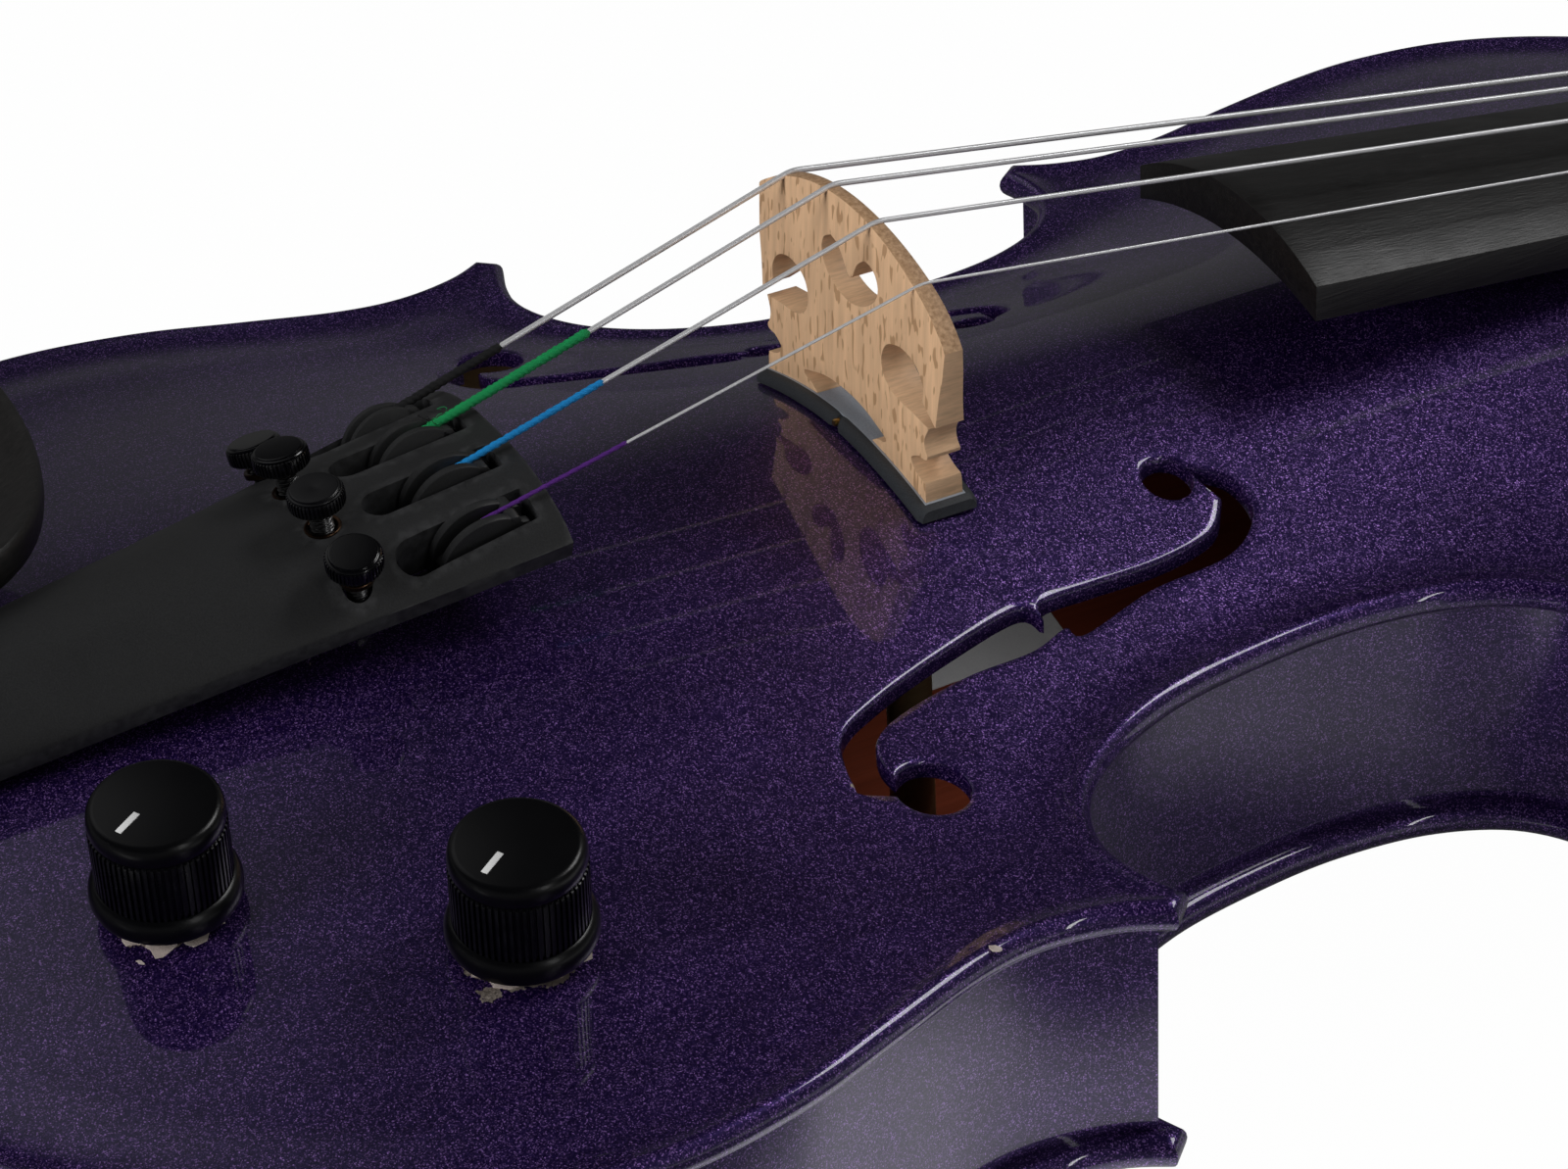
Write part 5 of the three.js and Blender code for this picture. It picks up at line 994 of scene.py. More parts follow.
def loft(name, rings, body_frame=True):
    """A closed solid through rings of as many points each, ends filled."""
    count, last = len(rings[0]), len(rings) - 1
    faces = quads(len(rings), count)
    faces += [tuple(range(count))[::-1], tuple(range(last * count, (last + 1) * count))]
    return cleaned(new_mesh(name, np.vstack(rings), faces, body_frame))


def tube(name, path, radius, sides=10, body_frame=True):
    """A round cord along a path. Its radius may change with the share of the way and the angle."""
    path = np.asarray(path, float)
    along = np.gradient(path, axis=0)
    along /= np.linalg.norm(along, axis=1, keepdims=True)
    side = np.cross(along[0], (0.0, 0.0, 1.0))
    if np.linalg.norm(side) < 0.1:
        side = np.cross(along[0], (0.0, 1.0, 0.0))
    run = np.r_[0, np.cumsum(np.linalg.norm(np.diff(path, axis=0), axis=1))]
    angle = np.linspace(0, 2 * math.pi, sides, endpoint=False)
    rings = []
    for k, (point, way) in enumerate(zip(path, along)):
        side = side - way * (side @ way)
        side /= np.linalg.norm(side)
        other = np.cross(way, side)
        reach = radius(run[k], angle) if callable(radius) else np.full(sides, radius)
        rings.append(point + reach[:, None] * (
            np.cos(angle)[:, None] * side + np.sin(angle)[:, None] * other))
    return loft(name, rings, body_frame)


def rounded(path, reach, steps=4):
    """A path whose corners are drawn as short bends."""
    path = [np.asarray(p, float) for p in path]
    out = [path[0]]
    for before, corner, after in zip(path, path[1:], path[2:]):
        near = min(reach, np.linalg.norm(corner - before) / 2.1, np.linalg.norm(after - corner) / 2.1)
        start = corner + (before - corner) / np.linalg.norm(before - corner) * near
        end = corner + (after - corner) / np.linalg.norm(after - corner) * near
        for k in range(steps + 1):
            t = k / steps
            out.append((1 - t) ** 2 * start + 2 * t * (1 - t) * corner + t * t * end)
    return np.array(out + [path[-1]])


def turned(name, profile, sides=64):
    """Spins a profile of (radius, height) pairs about Z, as on a lathe."""
    obj = new_mesh(name, [(r, 0, z) for r, z in profile], [], body_frame=False)
    bm = bmesh.new()
    bm.from_mesh(obj.data)
    bm.verts.ensure_lookup_table()
    for k in range(len(profile) - 1):
        bm.edges.new((bm.verts[k], bm.verts[k + 1]))
    bm.to_mesh(obj.data)
    bm.free()
    only(obj)
    bpy.ops.object.mode_set(mode="EDIT")
    bpy.ops.mesh.select_all(action="SELECT")
    bpy.ops.mesh.spin(steps=sides, angle=2 * math.pi, center=(0, 0, 0), axis=(0, 0, 1))
    bpy.ops.mesh.select_all(action="SELECT")
    bpy.ops.mesh.remove_doubles(threshold=0.000004)
    bpy.ops.mesh.normals_make_consistent(inside=False)
    bpy.ops.object.mode_set(mode="OBJECT")
    return obj


def stood(obj, matrix):
    """Puts a piece made at the origin into its place; the matrix is in millimetres."""
    mesh_matrix = matrix.copy()
    mesh_matrix.translation = matrix.translation * MM
    obj.data.transform(mesh_matrix)
    obj.data.update()
    return obj


def outline_prism(name, points, low, high, width=0.0, segments=2):
    """A prism over a flat outline along Z, its edges rounded."""
    points = np.asarray(points, float)
    rings = [level(points, z) for z in (low, high)]
    obj = loft(name, rings, body_frame=False)
    return bevelled(obj, width, segments) if width else obj


def disc_points(radius, count, depth=0.0, share=0.5):
    """A circle, or a gear-like outline whose notches are `depth` deep."""
    points, low = [], radius - depth
    for k in range(count):
        for at, reach in ((0, radius), (share * 0.86, radius), (share, low), (0.93, low)):
            angle = 2 * math.pi * (k + at) / count
            points.append((reach * math.cos(angle), reach * math.sin(angle)))
    return np.array(points)


def turn_matrix(place, *turns):
    """Place in millimetres from the body's end, then turns in degrees about X, Y, Z in that order."""
    x, y, z = place
    matrix = Matrix.Translation((x, y - REST_POINT, z))
    for axis, degrees in zip("XYZ", turns):
        matrix = matrix @ Matrix.Rotation(math.radians(degrees), 4, axis)
    return matrix


# Bridge, strip and strings


def strip_top(body, fit, x):
    x = np.atleast_1d(np.asarray(x, float))
    sides = [belly_height(body, x, fit.bridge_stop + side * 4.2) for side in (-1, 1)]
    return np.max(sides, axis=0) + 1.9


def bridge_base(body, fit):
    return float(strip_top(body, fit, BRIDGE_HALF * 0.68)[0]) + 0.15


def crown_height(body, fit, x):
    x = np.asarray(x, float)
    treble_fall = 1.4 * np.clip((x - 18.5) / 6, 0, 1) ** 2
    drop = CROWN_RADIUS - np.sqrt(CROWN_RADIUS**2 - x**2) + treble_fall
    return bridge_base(body, fit) + BRIDGE_CROWN - drop - 1.2 * x / (3 * fit.string_spacing)


def sunk(base, z):
    """The bridge's features sit lower than the even shares have them, all above the ankles alike."""
    share = np.clip((z - base - 1) / 10, 0, 1)
    return z - 2.0 * share * share * (3 - 2 * share)


def bridge_ring(body, fit):
    """The bridge's outline seen along the strings, as (x, z), anticlockwise."""
    base = bridge_base(body, fit)
    at = lambda rows: [(x * BRIDGE_HALF, sunk(base, base + z * BRIDGE_HEIGHT)) for x, z in rows]
    foot_x = np.linspace(7.3, 20.9, 10)
    foot = np.column_stack([foot_x, strip_top(body, fit, foot_x) + 0.05])
    parts = [foot]
    for rows in BRIDGE_SIDE_SHARES:
        line = at(rows)
        parts.append(smooth_line(line, 8 if len(rows) > 2 else 2)[1:])
    treble_top = np.array([[24.3, float(crown_height(body, fit, 24.3)) - 0.3]])
    crown_x = np.linspace(23.6, -23.6, 60)
    crown = np.column_stack([crown_x, crown_height(body, fit, crown_x)])
    bass_top = np.array([[-24.0, float(crown_height(body, fit, -24.0)) - 0.2]])
    right = np.vstack(parts)
    left = (right * (-1, 1))[::-1]
    arch_half = smooth_line(at(BRIDGE_ARCH_SHARES), 6)
    arch = np.vstack([(arch_half * (-1, 1))[::-1], arch_half[1:]])
    return np.vstack([right, treble_top, crown, bass_top, left, arch[1:-1]])


class VIOLIN_OT_bridge(bpy.types.Operator):
    """Carve the maple bridge: feet, ankles, kidneys and heart, thinned to its playing edge"""

    bl_idname = "violin.bridge"
    bl_label = "Bridge"

    def execute(self, context):
        body, fit = context.scene.violin_body, context.scene.violin_fittings
        ring = bridge_ring(body, fit)
        base = bridge_base(body, fit)
        heart = [(x, sunk(base, base + z - 16.3)) for x, z in HEART_POINTS]
        heart = even(smooth_line(heart, 8), 0.5, closed=True)
        notches = [
            round_ring(x, float(crown_height(body, fit, x)) + 0.35, 1.0 - 0.1 * k, 14)
            for k, x in enumerate(string_places(fit))
        ]
        flat, triangles = flat_net(ring, [heart, *notches], 2.4, (), ())
        share = np.clip((flat[:, 1] - base) / BRIDGE_HEIGHT, 0, 1)
        half = (fit.bridge_foot + (fit.bridge_top - fit.bridge_foot) * share) / 2
        half += 0.5 * (0.7 - np.clip(np.abs(flat[:, 0]) / 24, 0, 1) ** 4) * np.sin(math.pi * share)
        obj = shell("bridge", flat, triangles, half, -half, body_frame=False)
        for polygon in obj.data.polygons:
            slot = 0
            if abs(polygon.normal.z) < 0.7:
                middle = polygon.center / MM
                high = middle.y > float(crown_height(body, fit, min(max(middle.x, -24), 24))) - 1.2
                slot = 2 if high else 1
            polygon.material_index = slot
        obj.data.transform(Matrix.Rotation(math.radians(90), 4, "X"))
        obj.data.transform(Matrix.Translation((0, (fit.bridge_stop - REST_POINT) * MM, 0)))
        bevelled(obj, 0.16, 2, 42)
        coated(obj, "maple", "maple_cut", "maple_edge")
        dressed(obj, None, ROOT, "maple", "bridge", degrees=32)
        return {"FINISHED"}


class VIOLIN_OT_strip(bpy.types.Operator):
    """Bend the dark pickup strip over the belly, with its contact pin"""

    bl_idname = "violin.strip"
    bl_label = "Pickup strip"

    def execute(self, context):
        body, fit = context.scene.violin_body, context.scene.violin_fittings
        section = [(-4.3, 0.0), (4.3, 0.0), (4.35, 0.5), (3.9, 1.35), (3.3, STRIP_HEIGHT),
                   (-3.3, STRIP_HEIGHT), (-3.9, 1.35), (-4.35, 0.5)]
        halves = []
        for start, end in ((-22.2, -0.35), (0.35, 22.2)):
            rings = []
            for x in np.linspace(start, end, 26):
                low = float(strip_top(body, fit, x)[0]) - STRIP_HEIGHT
                shrink = 0.9 if x in (start, end) else 1.0
                rings.append(np.array([
                    (x, fit.bridge_stop + y * shrink, low + z * (1 if shrink == 1 else 0.92))
                    for y, z in section
                ]))
            halves.append(loft("strip", rings))
        low = float(strip_top(body, fit, 0)[0]) - STRIP_HEIGHT
        core = loft("core", [
            np.array([(x, fit.bridge_stop - 3.4, low), (x, fit.bridge_stop + 3.4, low),
                      (x, fit.bridge_stop + 3.4, low + 1.3), (x, fit.bridge_stop - 3.4, low + 1.3)])
            for x in (-0.6, 0.6)
        ])
        obj = joined(*halves, core)
        obj.name = "strip"
        dressed(obj, "rubber", ROOT, "rubber", "pickup_strip", degrees=40)
        rings = []
        for x in np.linspace(-21.2, 21.2, 44):
            top = float(strip_top(body, fit, x)[0])
            rings.append(np.array([(x, fit.bridge_stop + y, top + z) for y, z in (
                (-2.9, -0.2), (2.9, -0.2), (2.9, 0.03), (2.7, 0.06), (-2.7, 0.06), (-2.9, 0.03))]))
        band = loft("strip_band", rings)
        dressed(band, "band", ROOT, "rubber", degrees=40)
        pin = turned("contact_pin", [(0, -0.3), (0.5, -0.3), (0.5, 0.5), (0.42, 0.62), (0, 0.66)], 20)
        stood(pin, turn_matrix((0, fit.bridge_stop - 3.7, low + 0.75), 90))
        dressed(pin, "brass", ROOT, "steel", degrees=40)
        return {"FINISHED"}


def string_places(fit):
    return [(k - 1.5) * fit.string_spacing for k in range(4)]


def tuner_frame(k):
    """Frame of a fine tuner: origin on the tailpiece's top where the string ends."""
    angle = math.radians(TUNER_ANGLES[k])
    top = tail_crown(TUNER_STOP)
    place = (TAIL_RADIUS * math.sin(angle), TUNER_STOP, top - TAIL_RADIUS * (1 - math.cos(angle)))
    return turn_matrix(place, math.degrees(math.atan(TAIL_CROWN_SLOPE)), TUNER_ANGLES[k])


def board_half(fit, y):
    narrow, wide = BOARD_WIDTHS
    return (narrow + (wide - narrow) * (fit.nut_stop - y) / BOARD_LENGTH) / 2


def board_edge(fit, y):
    low, high = BOARD_HEIGHTS
    return low + (high - low) / BOARD_LENGTH * (fit.nut_stop - y)


def board_top(fit, x, y):
    half, square = board_half(fit, y), BOARD_RADIUS**2
    return board_edge(fit, y) + math.sqrt(square - x * x) - math.sqrt(square - half * half)


def peg_place(fit, k):
    """(y, z) of a peg, the G peg first from the nut."""
    y = fit.nut_stop + NUT_LENGTH + PEG_STEPS[k]
    return y, board_edge(fit, y) - 1 - 9.5


def pegbox_half(fit, y):
    wide, narrow = PEGBOX_WIDTHS
    return (wide + (narrow - wide) * (y - fit.nut_stop - NUT_LENGTH) / PEGBOX_LENGTH) / 2


def string_path(body, fit, k):
    """Corner points of a string: tuner, bridge, nut and the turns on its peg."""
    diameter = STRING_DIAMETERS[k]
    start = tuner_frame(k) @ Vector((0, -1.5, 0.2))
    start = np.array((start.x, start.y + REST_POINT, start.z))
    x = string_places(fit)[k]
    over = (x, fit.bridge_stop, float(crown_height(body, fit, x)) + diameter / 2)
    nut_x = (k - 1.5) * fit.nut_spacing
    nut_z = board_top(fit, nut_x, fit.nut_stop) + 1.05 + diameter / 2
    nut = [(nut_x, fit.nut_stop + 1.1, nut_z), (nut_x, fit.nut_stop + 5.5, nut_z - 1.8)]
    peg = (0, 2, 3, 1)[k]
    y, z = peg_place(fit, peg)
    side = PEG_SIDES[peg]
    radius = 4.1 + diameter / 2
    first = side * (pegbox_half(fit, y) - 4.7 - diameter - PEG_TURNS * TURN_PITCH)
    winding = [
        (first + side * TURN_PITCH * t / TURN_STEPS,
         y + radius * math.sin(2 * math.pi * t / TURN_STEPS),
         z + radius * math.cos(2 * math.pi * t / TURN_STEPS))
        for t in range(PEG_TURNS * TURN_STEPS + 1)
    ]
    return [start, over, *nut, *winding]


class VIOLIN_OT_strings(bpy.types.Operator):
    """Draw the four strings over bridge and nut, with silk at both ends"""

    bl_idname = "violin.strings"
    bl_label = "Strings"

    def execute(self, context):
        body, fit = context.scene.violin_body, context.scene.violin_fittings
        for k, name in enumerate("gdae"):
            corners = string_path(body, fit, k)
            bent = rounded(corners[:4], 1.3, 6)
            path = np.vstack([bent[:-1], corners[3:]])
            wire = tube(f"string_{name}_wire", path, STRING_DIAMETERS[k] / 2, 10)
            dressed(wire, "wire", ROOT, "string_steel", f"string_{name}", degrees=60)
            start, over = np.array(corners[0]), np.array(corners[1])
            way = (over - start) / np.linalg.norm(over - start)
            silk = np.array([start + way * s for s in np.arange(-1.2, SILK_LENGTHS[k], 0.22)])
            thread = tube(f"string_{name}_silk", silk, self.wound(k, SILK_LENGTHS[k]), 14)
            dressed(thread, f"silk_{name}", ROOT, "string_steel", degrees=70)
            far = even(np.array(corners[3:]), 0.22)
            far_thread = tube(f"string_{name}_peg_silk", far, self.wound(k, 1e6), 12)
            dressed(far_thread, f"silk_{name}", ROOT, "string_steel", degrees=70)
        self.fibres()
        return {"FINISHED"}

    def wound(self, k, length):
        """Radius of a wrapping of silk: ropelike, tapered at both ends."""
        base = (0.56, 0.6, 0.43, 0.27)[k]
        pitch = (0.9, 0.8, 1.0, 1.4)[k]

        def reach(run, angle):
            rope = 0.11 * base * np.cos(3 * angle - 2 * math.pi * run / pitch)
            knots = 0.07 * base * math.sin(run * 2.3 + k) * math.sin(run * 0.9)
            taper = min(1.0, (run + 0.25) / 2.2, (length + 1.2 - run) / 1.2 + 0.35)
            return (base + knots + rope) * max(taper, 0.3)
        return reach

    def fibres(self):
        """Loose fibres that stand off the D string's silk beside the tuners."""
        rng = np.random.default_rng(7)
        frame_here = tuner_frame(1)
        for n, (count, finish) in enumerate(((9, "silk_g"), (6, "silk_d"))):
            threads = []
            for _ in range(count):
                x, y, z = rng.uniform(-1.2, 1.2), rng.uniform(-1, 5.5), rng.uniform(0.3, 1.6)
                points = [np.array((x, y, z))]
                way = rng.normal(0, 1, 3)
                for _ in range(7):
                    way = 0.6 * way + rng.normal(0, 0.8, 3)
                    step = way / np.linalg.norm(way) * 0.55
                    new = points[-1] + step
                    new[2] = min(max(new[2], 0.35), 2.2)
                    points.append(new)
                line = smooth_line(points, 4)
                threads.append(tube("fibre", line, 0.035, 5, body_frame=False))
            obj = joined(*threads)
            obj.name = f"loose_fibres_{n + 1}"
            stood(obj, frame_here)
            dressed(obj, finish, ROOT, "string_steel", degrees=60)


# Tailpiece and fine tuners


def tail_crown(y):
    return TAIL_CROWN - TAIL_CROWN_SLOPE * (TAIL_END - y)


def tail_edge(y):
    return TAIL_EDGE - TAIL_EDGE_SLOPE * (TAIL_END - y)


def tail_half(y):
    shares, widths = zip(*TAIL_STATION_SHARES)
    along = (np.asarray(y, float) - TAIL_START) / (TAIL_END - TAIL_START)
    return TAIL_HALF * np.interp(along, shares, widths)


def tail_height(x, y):
    x, y = np.asarray(x, float), np.asarray(y, float)
    edge = tail_edge(y)
    rise = tail_crown(y) - edge
    share = np.clip(np.abs(x) / tail_half(y), 0, 1)
    return edge + rise * (1 - share**2.4) ** 0.75


def slot_ring(k):
    """Outline of a lever's slot on the tailpiece's top: round behind, square in front."""
    arc = [(SLOT_HALF * math.cos(a), -10.2 + SLOT_HALF * math.sin(a))
           for a in np.linspace(0, -math.pi, 21)]
    side = [(-SLOT_HALF, y) for y in np.linspace(-9.2, 4.6, 12)] + [(-2.45, 4.95), (-2.2, 5.05)]
    front = [(x, 5.05) for x in np.linspace(-1.2, 1.2, 4)]
    ring = arc + side + front + [(-x, y) for x, y in side[::-1]]
    frame_here = tuner_frame(k)
    points = [frame_here @ Vector((x, y, 0)) for x, y in ring]
    return np.array([(p.x, p.y + REST_POINT) for p in points])[::-1]


class VIOLIN_OT_tailpiece(bpy.types.Operator):
    """Mould the thin arched tailpiece, with four slots and the bushes of its screws"""

    bl_idname = "violin.tailpiece"
    bl_label = "Tailpiece"

    def execute(self, context):
        ways = np.r_[np.arange(TAIL_START, TAIL_END, 1.9), TAIL_END]
        sides = np.column_stack([tail_half(ways), ways])
        across = np.linspace(-1, 1, 24)[1:-1]
        outline = np.vstack([
            level(across * tail_half(TAIL_START), TAIL_START), sides,
            level(-across * TAIL_HALF, TAIL_END), (sides * (-1, 1))[::-1],
        ])
        slots = [slot_ring(k) for k in range(4)]
        screws = []
        for k in range(4):
            at = tuner_frame(k) @ Vector((0, -SCREW_BACK, 0))
            screws.append(round_ring(at.x, at.y + REST_POINT, 3.7, 28))
        flat, triangles = flat_net(outline, [*slots, *screws], 1.9, (0.12, 0.4, 0.9, 1.8), (0.35,))
        upper = tail_height(flat[:, 0], flat[:, 1])
        wall = 2.2
        bed = np.clip((flat[:, 1] - 90.8) / 0.8, 0, 1)
        plug = np.clip((16 - flat[:, 1]) / 0.8, 0, 1)
        crown = tail_crown(flat[:, 1])
        lower = upper - wall
        lower += bed * (np.minimum(lower, crown - 7.8) - lower)
        lower += plug * (np.minimum(lower, tail_edge(flat[:, 1]) - 0.3) - lower)
        obj = shell("tailpiece", flat, triangles, upper, lower, under=0)
        count = len(flat)
        points = np.empty((len(obj.data.vertices), 3))
        obj.data.vertices.foreach_get("co", points.ravel())
        points[count:, 0] *= 1 - (upper - lower) / TAIL_RADIUS
        obj.data.vertices.foreach_set("co", points.ravel())
        bevelled(obj, 0.2, 2, 58)
        dressed(obj, "plastic", ROOT, "black_plastic", "tailpiece", degrees=40)
        for k, name in enumerate("gdae"):
            bush = turned(f"screw_bush_{name}", [
                (1.82, -0.6), (2.25, -0.6), (2.32, 0.05), (2.22, 0.16), (1.95, 0.16), (1.82, 0.06),
                (1.82, -0.6),
            ], 32)
            stood(bush, tuner_frame(k) @ Matrix.Translation((0, -SCREW_BACK, 0)))
            dressed(bush, "bronze", ROOT, "steel", degrees=40)
        return {"FINISHED"}


def side_piece(name, outline, low, high, width=0.12):
    """A plate along X from a (y, z) outline, its edges rounded."""
    rings = [np.array([(x, y, z) for y, z in outline]) for x in (low, high)]
    return bevelled(loft(name, rings, body_frame=False), width, 2, 40)


class VIOLIN_OT_tuners(bpy.types.Operator):
    """Make each fine tuner: forked lever on its pin, threaded shank and knurled head"""

    bl_idname = "violin.tuners"
    bl_label = "Fine tuners"

    def execute(self, context):
        for k, name in enumerate("gdae"):
            here = tuner_frame(k)
            raised = TUNER_RAISES[k]
            pivot = Matrix.Translation(LEVER_PIN)
            tilt = pivot @ Matrix.Rotation(-raised / LEVER_REACH, 4, "X") @ pivot.inverted()
            lever = stood(self.lever(f"lever_{name}"), here @ tilt)
            dressed(lever, "plastic", f"tuner_lever_{name}", "black_plastic",
                    f"tuner_lever_{name}", degrees=38)
            screw = here @ Matrix.Translation((0, -SCREW_BACK, raised))
            shank = stood(self.shank(f"shank_{name}"), screw)
            dressed(shank, "dark_steel", f"tuner_shank_{name}", "steel", f"tuner_shank_{name}", degrees=70)
            head = stood(self.head(f"head_{name}", context.scene.violin_fittings.head_knurls, k), screw)
            dressed(head, "turned_gloss" if k == 2 else "gloss", f"tuner_screw_{name}", "black_gloss",
                    f"tuner_screw_{name}", degrees=38)
        return {"FINISHED"}

    def lever(self, name):
        arc = [(6.2 * math.cos(a) - 1.7, -4.6 + 6.2 * math.sin(a))
               for a in np.radians(np.linspace(52, 170, 26))]
        front = [(4.25, -3.0), (4.3, -1.6), (3.9, -0.95), (3.2, -0.72), (2.75, -0.3)]
        base = [(-8.4, -6.2), (-8.4, -8.6), (3.1, -8.6)]
        prong = [*front, *arc, *base]
        pieces = [side_piece(name, prong, side * 1.42 - 0.58, side * 1.42 + 0.58, 0.2) for side in (-1, 1)]
        ridge = [(2.7, -1.2), (2.95, -0.2), (2.6, 0.55), (1.9, 0.72), (1.35, 0.6), (1.1, -1.2)][::-1]
        core = [(3.9, -1.9), (3.9, -8.0), (-7.6, -8.4), (-7.6, -4.2), (-6.2, -3.4), (1.9, -3.4), (2.7, -1.9)]
        arm = [(-8.0, -6.4), (-8.0, -8.4), (-18.9, -8.2), (-20.1, -7.9), (-20.1, -6.4)]
        for part, outline, reach, round_by in (
            ("ridge", ridge, 2.0, 0.16), ("core", core, 1.3, 0.1), ("arm", arm, 1.8, 0.25),
        ):
            pieces.append(side_piece(part, outline, -reach, reach, round_by))
        pin = turned("pin", [(0, -3.7), (0.85, -3.7), (1.0, -3.5), (1.0, 3.5), (0.85, 3.7), (0, 3.7)], 20)
        pieces.append(stood(pin, Matrix.Translation(LEVER_PIN) @ Matrix.Rotation(math.radians(90), 4, "Y")))
        return joined(*pieces)

    def shank(self, name):
        """A screw thread of half a millimetre's pitch."""
        path = np.column_stack([np.zeros(72), np.zeros(72), np.linspace(-5.85, 0.88, 72)])

        def reach(run, angle):
            turn = (run / 0.5 - angle / (2 * math.pi)) % 1
            return 1.5 - 0.3 * np.abs(turn - 0.5) * 2
        return tube(name, path, reach, 20, body_frame=False)

    def head(self, name, knurls, k):
        circle = disc_points(3.55, knurls, 0.17)
        rings = [
            level(circle * scale, z)
            for scale, z in ((0.93, 1.5), (0.985, 1.72), (1, 1.9), (1, 3.2), (0.985, 3.4), (0.93, 3.5))
        ]
        band = loft(name, rings, body_frame=False)
        centre = 0.03 if k == 2 else 0.0
        disc = turned("disc", [
            (0, 1.2), (2.7, 1.2), (2.95, 1.3), (3.15, 1.6), (3.15, 3.45), (3.3, 3.52), (3.34, 3.62),
            (3.25, 3.72), (3.1, 3.74), (3.02, 3.8), (3.02, 3.9), (2.92, 3.99), (2.8, 4.0),
            (0.35, 4.0 - centre), (0, 4.0 - 2 * centre),
        ], 64)
        return joined(band, disc)


# Fingerboard, nut, neck and pegs


class VIOLIN_OT_fingerboard(bpy.types.Operator):
    """Plane the ebonised fingerboard: crowned above, scooped under its free end"""

    bl_idname = "violin.fingerboard"
    bl_label = "Fingerboard"

    def execute(self, context):
        fit = context.scene.violin_fittings
        end = fit.nut_stop - BOARD_LENGTH
        ways = [end, *np.arange(end + 4, BODY_END, 8), *np.arange(BODY_END, fit.nut_stop, 15), fit.nut_stop]
        rings = []
        for y in ways:
            half = board_half(fit, y)
            scoop = 4 * min((BODY_END - y) / BOARD_WIDTHS[1], 1) if y < BODY_END else 0
            shares = np.sin(np.linspace(-1, 1, 25) * math.pi / 2)
            top = [(s * half, y, board_top(fit, s * half, y)) for s in shares]
            low = board_edge(fit, y) - BOARD_EDGE
            under = [(s * half, y, low + scoop * (1 - s * s)) for s in shares[::-1]]
            rings.append(np.array(top + under))
        obj = loft("fingerboard", rings)
        bevelled(obj, 0.35, 3, 50)
        dressed(obj, "ebony", ROOT, "ebony", "fingerboard", degrees=40)
        return {"FINISHED"}


class VIOLIN_OT_nut(bpy.types.Operator):
    """Shape the nut, with a slot for each string"""

    bl_idname = "violin.nut"
    bl_label = "Nut"

    def execute(self, context):
        fit = context.scene.violin_fittings
        stop = fit.nut_stop
        rings = []
        for y, drop in ((stop + 0.3, 0.25), (stop + 0.6, 0), (stop + 1.7, 0), (stop + 3.2, 0.55),
                        (stop + 4.6, 1.3), (stop + 5.5, 1.9)):
            xs = np.linspace(-12, 12, 97)
            top = []
            for x in xs:
                z = board_top(fit, x, stop) + 0.9 - drop
                for k in range(4):
                    reach = abs(x - (k - 1.5) * fit.nut_spacing)
                    wide = STRING_DIAMETERS[k] / 2 + 0.22
                    if reach < wide:
                        z -= (0.35 if y < stop + 3 else 0.45) * math.sqrt(1 - (reach / wide) ** 2)
                top.append((x, y, z))
            low = board_edge(fit, stop) - BOARD_EDGE
            rings.append(np.array(top + [(x, y, low) for x in xs[::-1]]))
        obj = loft("nut", rings)
        dressed(obj, "ebony", ROOT, "ebony", "nut", degrees=35)
        return {"FINISHED"}


def pegbox_line(fit, y):
    """Top and depth of the pegbox at a place along it."""
    share = (y - fit.nut_stop - NUT_LENGTH) / PEGBOX_LENGTH
    return board_edge(fit, y) - 1, 19 + 5 * share


